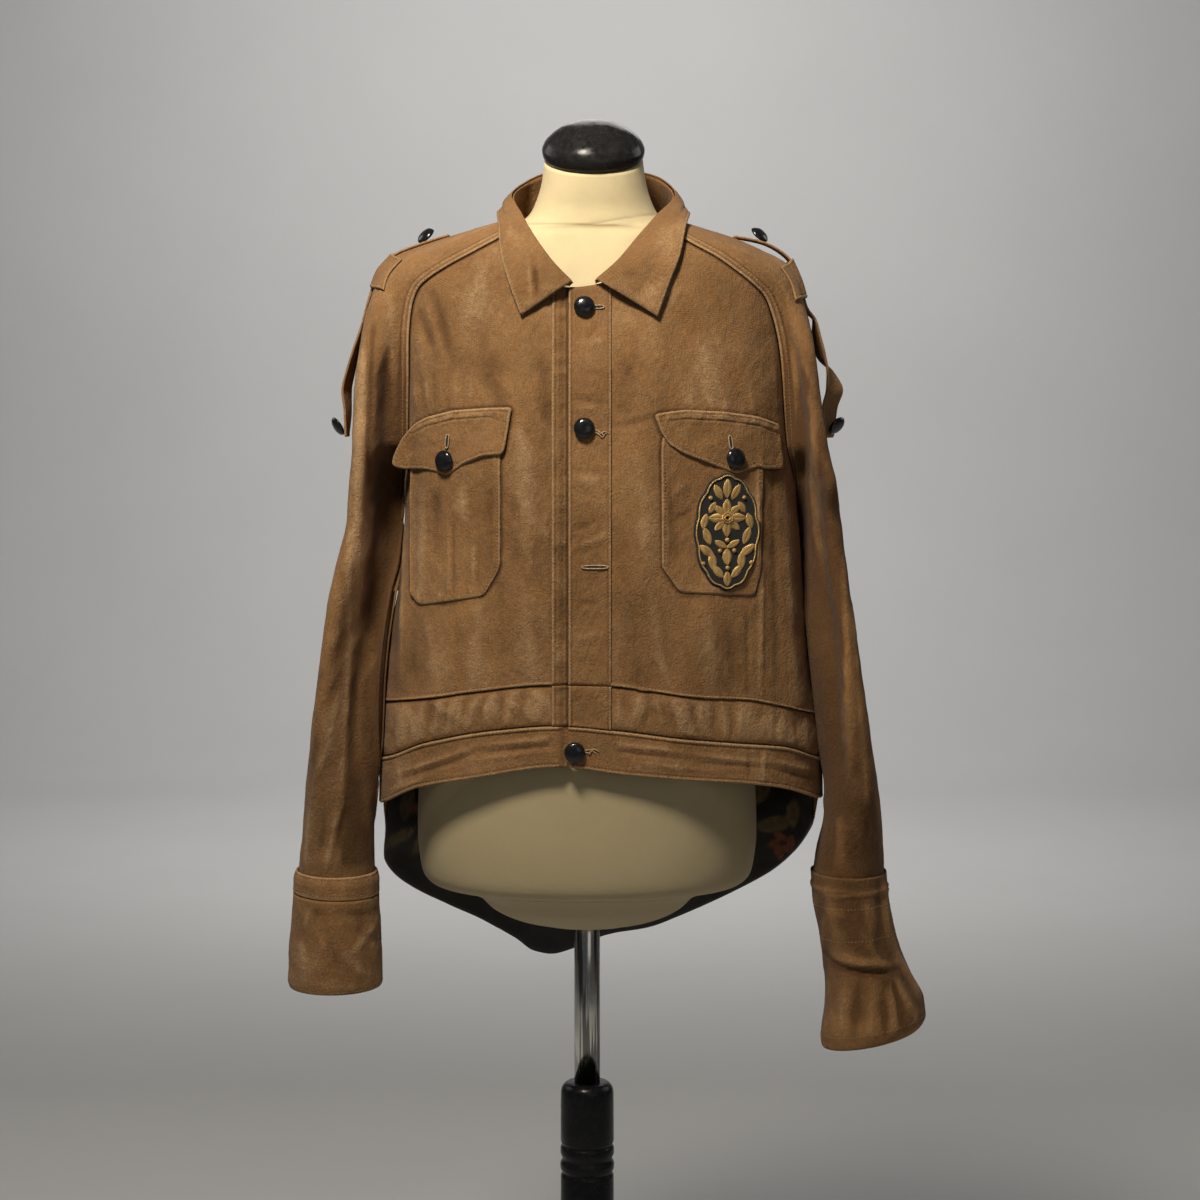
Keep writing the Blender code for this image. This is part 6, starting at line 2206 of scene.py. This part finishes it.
def flap_band(outline, x, z, seed):
    """Raised, bumpy band along the top of a pocket flap."""
    order = np.argsort(outline[:, 0])
    upper = outline[order]
    upper = upper[upper[:, 1] > outline[:, 1].mean() + 8]
    below = np.interp(x, upper[:, 0], upper[:, 1]) - z
    band = edge_profile(below, ((0, 0), (1.5, 0.6), (7.5, 0.7), (9.0, -0.5), (10.5, 0.25), (14, 0)))
    bumps = 0.55 * crumple(x, z, 3.6, seed, 3) * bell((below - 5) / 3.5)
    return band + bumps


class WORKJACKET_OT_pockets(bpy.types.Operator):
    """Two patch pockets and their shaped flaps"""

    bl_idname = "work_jacket.pockets"
    bl_label = "Pockets and Flaps"

    def execute(self, context):
        cloth = finish_of("garment_dyed_drill")
        lines = []
        for side, words, pocket, creases in (
            (-1, "left", POCKET_LEFT, POCKET_CREASES_LEFT), (1, "right", POCKET_RIGHT, POCKET_CREASES_RIGHT),
        ):
            def place(x, z, lift, side=side):
                return front_place(side, x, z, lift)

            edge = rounded_outline(pocket, 5, 190)
            made = patch(
                "pocket_%s_cloth" % words, edge, place, cloth, GAP, profile=DOUBLE_EDGE, count=190, rings=30,
                own=lambda x, z, rows=creases: crease_rise(x, z, rows) + 0.5 * crumple(x, z, 12, 181, 2),
            )
            cut_piece(made, "pocket_" + words)
            inner = inset_outline(edge, 3.2)
            lines.append(place(inner[:, 0], inner[:, 1], LAYER)[0])
            shape = np.array(FLAP_SHAPES[side < 0], float)
            middle = FLAP_BUTTON_X[side < 0]

            def flap_place(x, z, lift, side=side, middle=middle, top=shape[:, 1].max()):
                free = unit((top - 22 - z) / 26) * unit((np.abs(x - middle) - 13) / 22)
                return front_place(side, x, z, lift + FLAP_CURL * free)

            edge = rounded_outline(shape, 4, 180)
            made = patch(
                "flap_%s_cloth" % words, edge, flap_place,
                cloth, GAP + LAYER, profile=SINGLE_EDGE, count=180, rings=30,
                own=lambda x, z, shape=shape: flap_band(shape, x, z, 190) + 0.5 * crumple(x, z, 13, 191),
            )
            cut_piece(made, "flap_" + words)
            inner = inset_outline(edge, 3.4)
            lines.append(flap_place(inner[:, 0], inner[:, 1], 2 * LAYER + 0.1)[0])
        sewn("pocket_stitches", lines)
        return {"FINISHED"}


def leaf_pad(x_leaf, z_leaf, length, width, turn, rise, base):
    """Domed leaf of close stitches over the badge."""
    share = np.linspace(0, 1, 22)[:, None]
    across = np.linspace(-1, 1, 13)[None, :]
    half = width / 2 * np.sin(math.pi * share) ** 0.7 + 0.15
    along = (share - 0.5) * length + 0 * across
    off = across * half
    cosine, sine = math.cos(math.radians(turn)), math.sin(math.radians(turn))
    x = x_leaf + along * cosine - off * sine
    z = z_leaf + along * sine + off * cosine
    dome = (1 - across ** 2) ** 0.6 * np.sin(math.pi * np.clip(share, 0.02, 0.98)) ** 0.4
    groove = 0.45 * bell(across / 0.16)
    lift = base + rise * (dome - groove * dome)
    points, _ = front_place(1, x.ravel(), z.ravel(), lift.ravel())
    faces, _ = quad_faces(22, 13)
    return points, faces[:, ::-1].tolist()


class WORKJACKET_OT_badge(bpy.types.Operator):
    """Felt badge with leaves, beads and a corded edge in gilt thread"""

    bl_idname = "work_jacket.badge"
    bl_label = "Badge"

    def execute(self, context):
        def place(x, z, lift):
            return front_place(1, x, z, lift)

        turn = np.linspace(0, 2 * math.pi, 200, endpoint=False)
        lobe = 1.6 * np.abs(np.cos(6 * turn))
        edge = np.stack([133 + (30.4 + lobe) * np.cos(turn), 1101.5 + (54.6 + lobe) * np.sin(turn)], axis=1)
        made = patch(
            "badge_felt", edge, place, finish_of("black_felt"), GAP + LAYER, wall=1.5,
            profile=((0, -0.7), (1.2, 0), (9, 0)),
            count=200, rings=26,
        )
        owned(made, "badge", "badge")
        base = GAP + LAYER + 1.5
        parts = [leaf_pad(*row, base) for row in BADGE_LEAVES]
        cord = inset_outline(edge, 2.6)
        cord = np.concatenate([cord, cord[:2]])
        line, _ = place(cord[:, 0], cord[:, 1], base + 0.55)
        parts.append(tube(line, 0.75, 7, 1.0))
        ring = np.linspace(0, 2 * math.pi, 40)
        for radius, thick in ((4.6, 0.7), (2.6, 0.9)):
            line, _ = place(133 + radius * np.cos(ring), 1115 + radius * np.sin(ring), base + 1.5)
            parts.append(tube(line, thick, 7, 1.0))
        for x, z in BADGE_BEADS:
            spot, out = place(np.array([float(x)]), np.array([float(z)]), base - 0.2)
            bead = [(0, 2.3), (0.9, 2.15), (1.7, 1.6), (2.1, 0.8), (2.1, 0), (0, 0)]
            parts.append(turned_part(bead, 16, spot[0], out[0]))
        points, faces = join_parts(parts)
        owned(add_mesh("badge_gilt", points, faces, finish_of("gilt_thread")), "badge")
        return {"FINISHED"}


class WORKJACKET_OT_collar(bpy.types.Operator):
    """Turned-down collar on its stand"""

    bl_idname = "work_jacket.collar"
    bl_label = "Collar"

    def execute(self, context):
        stand, leaf, wear_and_shading = collar_shapes()
        drill("collar_stand", stand, inside=(6, 5))
        drill("collar_leaf", leaf, wear_and_shading=wear_and_shading, inside=(6, 5))
        lines = [edge_line(leaf, "foot", 3.4), edge_line(leaf, "start", 3.4), edge_line(leaf, "end", 3.4)]
        sewn("collar_stitches", lines, (6, 5))
        return {"FINISHED"}


class WORKJACKET_OT_cuffs(bpy.types.Operator):
    """Turned-up left cuff with its band, and the loose right cuff"""

    bl_idname = "work_jacket.cuffs"
    bl_label = "Cuffs"

    def execute(self, context):
        band = ring_stack(CUFF_BAND_LEFT, 96, np.linspace(0, 2, 26))
        centre = np.array([-251.0, -22.0, 0.0]) + band * (0, 0, 1)
        share = np.linspace(0, 1, 26)[:, None]
        angle = np.linspace(0, 2 * math.pi, 96, endpoint=False)[None, :]
        edges = np.minimum(from_edge(band, "top"), from_edge(band, "foot"))
        gathers = 0.5 * crumple(angle * 60, share * 3, 6, 211) + 0.3 * np.sin(angle * 9)
        height = edge_profile(edges, SINGLE_EDGE) + gathers * unit(edges / 4)
        band = lift_grid(band, height, centre)
        # Edges rubbed pale, with painted shade in the troughs of the gathers and the dips of the edge
        wear_and_shading = 0.9 * bell(edges / 1.8) + 0.4 * height
        drill("cuff_band_left", band, wear_and_shading=wear_and_shading, closed=True, inside=(-251, -22))
        left, left_wear_and_shading = cuff_shape(CUFF_LEFT, (-251, -22), 96, 62, CUFF_CREASES_LEFT, 221, 0.55)
        seam = ((745.5, -0.02, LAP_OVER), (737.5, -0.02, ((0, -0.3), (1.2, 0.0), (9, 0))))
        right, right_wear_and_shading = cuff_shape(CUFF_RIGHT, (275, -31), 96, 84, CUFF_CREASES_RIGHT, 231, 0.72, seam)
        drill("cuff_left", left, wear_and_shading=left_wear_and_shading, closed=True, inside=(-251, -22))
        drill("cuff_right", right, wear_and_shading=right_wear_and_shading, closed=True, inside=(275, -31))
        lines = []
        for grid, rows in ((band, (4, 21)), (left, (40,)), (right, (12, 22, 54))):
            for row in rows:
                line = grid[row]
                lines.append(np.concatenate([line, line[:1]]))
        sewn("cuff_stitches_left", lines[:3], (-251, -22))
        sewn("cuff_stitches_right", lines[3:], (275, -31))
        return {"FINISHED"}


class WORKJACKET_OT_lining(bpy.types.Operator):
    """Printed lining inside the long back"""

    bl_idname = "work_jacket.lining"
    bl_label = "Lining"

    def execute(self, context):
        share = np.sin(np.linspace(-0.9 * math.pi / 2, 0.9 * math.pi / 2, 140))
        grid = back_grid(12, 121, share)[11 + 60:]
        out = outward(grid, grid * (0, 0, 1))
        inner = grid - out * LAYER
        x, z = inner[..., 0], inner[..., 2]
        edge = unit(np.minimum(from_edge(inner, "foot"), from_edge(inner, "top")) / 10)
        height = -np.abs(crease_rise(x, z, LINING_CREASES) + 1.3 * worn_relief(x, z, 241)) * edge
        inner = lift_grid(inner, height)
        made = cloth_grid("lining_tail_cloth", inner, finish_of("printed_lining"))
        for name, rows in (("leaf", LEAVES), ("petal", PETALS)):
            amount = made.data.attributes.new(name, "FLOAT", "POINT")
            amount.data.foreach_set("value", leaf_mask(x, z, rows).ravel())
        cut_piece(made, "lining_tail", "lining")
        return {"FINISHED"}


def buttonhole(x, z, length, turn, side, lift):
    """Thread edge of a worked buttonhole, and a dark face inside it as painted shade in the cut."""
    angle = np.linspace(0, 2 * math.pi, 44)
    along = length / 2 * np.sign(np.cos(angle)) * np.abs(np.cos(angle)) ** 0.55
    off = 1.5 * np.sign(np.sin(angle)) * np.abs(np.sin(angle)) ** 0.8
    cosine, sine = math.cos(math.radians(turn)), math.sin(math.radians(turn))
    line, _ = front_place(side, x + along * cosine - off * sine, z + along * sine + off * cosine, lift + 0.35)
    thread = tube(line, 0.62, 7, 1.0)
    # Near-black face that stands in for the shade inside the cut
    inner, _ = front_place(
        side, x + 0.9 * (along * cosine - off * sine), z + 0.9 * (along * sine + off * cosine), lift + 0.3,
    )
    slit_shade = (inner[:-1], [list(range(len(inner) - 1))])
    return thread, slit_shade


def frayed(x, z, rows, side, lift):
    """Loose ends of thread lying on the cloth beside a button."""
    parts = []
    for row in rows:
        path = np.array(row, float)
        fine = refine(path[:, None, :].repeat(2, axis=1), 26, 2)[:, 0]
        line, _ = front_place(side, x + fine[:, 0], z + fine[:, 1], lift + fine[:, 2])
        parts.append(tube(line, 0.5, 6, 0.3))
    return parts


class WORKJACKET_OT_buttonholes(bpy.types.Operator):
    """Worked buttonholes and the frayed thread at two of them"""

    bl_idname = "work_jacket.buttonholes"
    bl_label = "Buttonholes"

    def execute(self, context):
        threads = []
        slit_shades = []
        for row in BUTTONHOLES:
            thread, slit_shade = buttonhole(*row)
            threads.append(thread)
            slit_shades.append(slit_shade)
        for x, z, rows, lift in FRAYS:
            threads += frayed(x, z, rows, 1, lift)
        points, faces = join_parts(threads)
        owned(add_mesh("buttonhole_threads", points, faces, finish_of("pale_thread")), "drill")
        # The near-black faces are painted shade inside the buttonholes
        points, faces = join_parts(slit_shades)
        owned(add_mesh("buttonhole_slit_shades", points, faces, finish_of("black_felt")), "drill")
        return {"FINISHED"}


class WORKJACKET_OT_buttons(bpy.types.Operator):
    """Glossy black domed buttons of the front, pockets and straps"""

    bl_idname = "work_jacket.buttons"
    bl_label = "Buttons"

    def execute(self, context):
        horn = finish_of("black_horn")
        places = []
        for name, x, z, layers in FRONT_BUTTONS:
            spot, out = front_base(1 if x > -20 else -1, np.array([float(x)]), np.array([float(z)]))
            places.append((name, spot[0] + out[0] * layers * LAYER, out[0]))
        for name, x, y, z, *axis in STRAP_BUTTONS:
            places.append((name, (x, y, z), axis))
        for side, words in ((-1, "left"), (1, "right")):
            _, _, spot, axis = strap_shapes(side)
            places.append(("strap_button_%s_top" % words, spot, axis))
        for name, spot, axis in places:
            points, faces = turned_part(finer_profile(BUTTON_FINE, 4), 44, spot, axis)
            owned(add_mesh(name + "_horn", points, faces, horn), "button", name)
        return {"FINISHED"}


class WORKJACKET_OT_form(bpy.types.Operator):
    """Limbless dress form in a cream knitted cover, with its neck cap"""

    bl_idname = "work_jacket.form"
    bl_label = "Dress Form"

    def execute(self, context):
        jersey = finish_of("cream_jersey")
        for name, rows, count in (("form_torso", FORM, 104), ("form_cover", COVER, 24)):
            grid = form_rings(rows, 104, np.linspace(0, len(rows) - 1, count))
            x, z = grid[..., 0], grid[..., 2]
            front = grid[..., 1] < 0
            height = 0.35 * worn_relief(x, z, 251) * 0.6
            level = np.interp(x, (-60, 0, 70), (1398.5, 1396, 1409))
            seam = bell((z - level) / 1.1) * (np.abs(x) < 90)
            height = height - 0.5 * seam * (name == "form_torso")
            centre = grid * (0, 0, 1)
            grid = grid + outward(grid, centre) * height[..., None]
            faces, _ = quad_faces(count, 104, True)
            across, down = arc_lengths(grid)
            flat = np.stack([across, down], axis=-1).reshape(-1, 2)
            points = grid.reshape(-1, 3)
            ends = [list(range(104)), [(count - 1) * 104 + index for index in range(104)]]
            corners = np.concatenate([flat[faces.ravel()], flat[ends[0]], flat[ends[1]]])
            made = add_mesh(name + "_jersey", points, faces.tolist() + ends, jersey, 0.8 * seam, corners)
            shell = bmesh.new()
            shell.from_mesh(made.data)
            bmesh.ops.recalc_face_normals(shell, faces=shell.faces)
            shell.to_mesh(made.data)
            shell.free()
            owned(made, "form_cloth", name)
        lean = math.radians(CAP_LEAN)
        points, faces = turned_part(
            finer_profile(CAP_PROFILE, 5), 96, CAP_CENTRE, (0.0, -math.sin(lean), math.cos(lean)))
        owned(add_mesh("neck_cap_gloss", points, faces, finish_of("cap_gloss")), "cap", "neck_cap")
        return {"FINISHED"}


class WORKJACKET_OT_stand(bpy.types.Operator):
    """Plated pole, turned post and round base"""

    bl_idname = "work_jacket.stand"
    bl_label = "Stand"

    def execute(self, context):
        pole = (
            (0.0, POLE_TOP), (POLE_RADIUS - 0.5, POLE_TOP), (POLE_RADIUS, POLE_TOP - 0.8),
            (POLE_RADIUS, 620), (POLE_RADIUS, POLE_FOOT), (0.0, POLE_FOOT),
        )
        for name, profile, parts, finish in (
            ("pole", pole, 1, "plated_steel"), ("post", POST_PROFILE, 3, "post_gloss"),
            ("base", BASE_PROFILE, 3, "base_gloss"),
        ):
            points, faces = turned_part(finer_profile(profile, parts), 96)
            owned(add_mesh(name + "_turned", points, faces, finish_of(finish)), name, name)
        return {"FINISHED"}


def area_light(name, place, aim, size, power, colour):
    """Soft square light that faces a place."""
    light = bpy.data.lights.new(name, "AREA")
    light.size = size
    light.energy = power
    light.color = colour
    made = bpy.data.objects.new(name, light)
    bpy.context.scene.collection.objects.link(made)
    made.location = place
    made.visible_camera = False
    made.rotation_euler = (Vector(aim) - Vector(place)).to_track_quat("-Z", "Y").to_euler()
    return made


class WORKJACKET_OT_stage(bpy.types.Operator):
    """Pale floor that sweeps up behind, soft light and the camera"""

    bl_idname = "work_jacket.stage"
    bl_label = "Stage"

    def execute(self, context):
        stage = settings("stage")
        path = [(-7000.0, 0.0)]
        path += [
            (5200 + 1300 * math.sin(turn), 1300 - 1300 * math.cos(turn))
            for turn in np.linspace(0, math.pi / 2, 24)
        ]
        path.append((6500.0, 7000.0))
        rows = np.array([[(x, y, z) for x in np.linspace(-7500, 7500, 13)] for y, z in path])
        faces, _ = quad_faces(len(rows), 13)
        sweep = add_mesh("pale_floor_sweep", rows.reshape(-1, 3), faces[:, ::-1], finish_of("pale_floor"))
        area_light("key_light", (-0.36, -0.9, 2.4), (-0.04, -0.05, 1.2), 0.3, stage.key, (1.0, 0.93, 0.8))
        area_light("fill_light", (0.9, -2.6, 1.5), (0.0, 0.0, 1.0), 1.2, stage.fill, (1.0, 0.95, 0.86))
        for name, place in (
            ("left_light", (-2.3, 1.2, 2.4)),
            ("right_light", (2.3, 1.0, 2.2)),
            ("back_light", (0.2, 2.2, 2.9)),
        ):
            area_light(name, place, (0.0, 0.0, 1.0), 1.3, stage.back, (1.0, 0.96, 0.9))
        area_light("far_light", (0.0, 3.4, 3.0), (0.0, 6.5, 1.4), 2.4, stage.far, (1.0, 0.98, 0.95))
        world = bpy.data.worlds.new("room")
        world.use_nodes = True
        ground = world.node_tree.nodes["Background"]
        ground.inputs["Color"].default_value = (0.9, 0.95, 1.0, 1.0)
        ground.inputs["Strength"].default_value = stage.room
        bpy.context.scene.world = world
        bpy.context.scene.view_settings.view_transform = "Standard"
        lens = bpy.data.cameras.new("camera")
        lens.lens = stage.lens
        lens.sensor_width = 36.0
        camera = bpy.data.objects.new("camera", lens)
        bpy.context.scene.collection.objects.link(camera)
        aim = Vector((0.013, 0.0, stage.height))
        drop = math.radians(stage.drop)
        camera.location = aim + Vector((0.0, -math.cos(drop), math.sin(drop))) * stage.distance
        camera.rotation_euler = (aim - camera.location).to_track_quat("-Z", "Y").to_euler()
        bpy.context.scene.camera = camera
        return {"FINISHED"}


class WORKJACKET_PT_pieces(bpy.types.Panel):
    """Lists the pieces and what a user may change"""

    bl_idname = "WORKJACKET_PT_pieces"
    bl_label = "Work Jacket"
    bl_space_type = "VIEW_3D"
    bl_region_type = "UI"
    bl_category = "Work Jacket"

    def draw(self, context):
        for kind in OPERATORS:
            self.layout.operator(kind.bl_idname)
        for words, kind in GROUPS:
            box = self.layout.box()
            box.label(text=kind.__doc__)
            for name in kind.__annotations__:
                box.prop(settings(words), name)


OPERATORS = (
    WORKJACKET_OT_fronts, WORKJACKET_OT_back,
    WORKJACKET_OT_sleeves, WORKJACKET_OT_straps, WORKJACKET_OT_waist,
    WORKJACKET_OT_opening, WORKJACKET_OT_pockets,
    WORKJACKET_OT_badge, WORKJACKET_OT_collar, WORKJACKET_OT_cuffs,
    WORKJACKET_OT_lining, WORKJACKET_OT_buttonholes, WORKJACKET_OT_buttons, WORKJACKET_OT_form,
    WORKJACKET_OT_stand, WORKJACKET_OT_stage,
)
GROUPS = (
    ("cloth", WorkJacketCloth), ("trims", WorkJacketTrims),
    ("stand", WorkJacketStand), ("stage", WorkJacketStage),
)


def register():
    for words, kind in GROUPS:
        bpy.utils.register_class(kind)
        setattr(bpy.types.Scene, "work_jacket_" + words, bpy.props.PointerProperty(type=kind))
    for kind in OPERATORS:
        bpy.utils.register_class(kind)
    bpy.utils.register_class(WORKJACKET_PT_pieces)


def unregister():
    bpy.utils.unregister_class(WORKJACKET_PT_pieces)
    for kind in reversed(OPERATORS):
        bpy.utils.unregister_class(kind)
    for words, kind in reversed(GROUPS):
        delattr(bpy.types.Scene, "work_jacket_" + words)
        bpy.utils.unregister_class(kind)


def main():
    register()
    bpy.ops.work_jacket.stage()
    bpy.ops.work_jacket.form()
    bpy.ops.work_jacket.fronts()
    bpy.ops.work_jacket.back()
    bpy.ops.work_jacket.sleeves()
    bpy.ops.work_jacket.straps()
    bpy.ops.work_jacket.waist()
    bpy.ops.work_jacket.opening()
    bpy.ops.work_jacket.pockets()
    bpy.ops.work_jacket.badge()
    bpy.ops.work_jacket.collar()
    bpy.ops.work_jacket.cuffs()
    bpy.ops.work_jacket.lining()
    bpy.ops.work_jacket.buttonholes()
    bpy.ops.work_jacket.buttons()
    bpy.ops.work_jacket.stand()


if __name__ == "__main__":
    main()
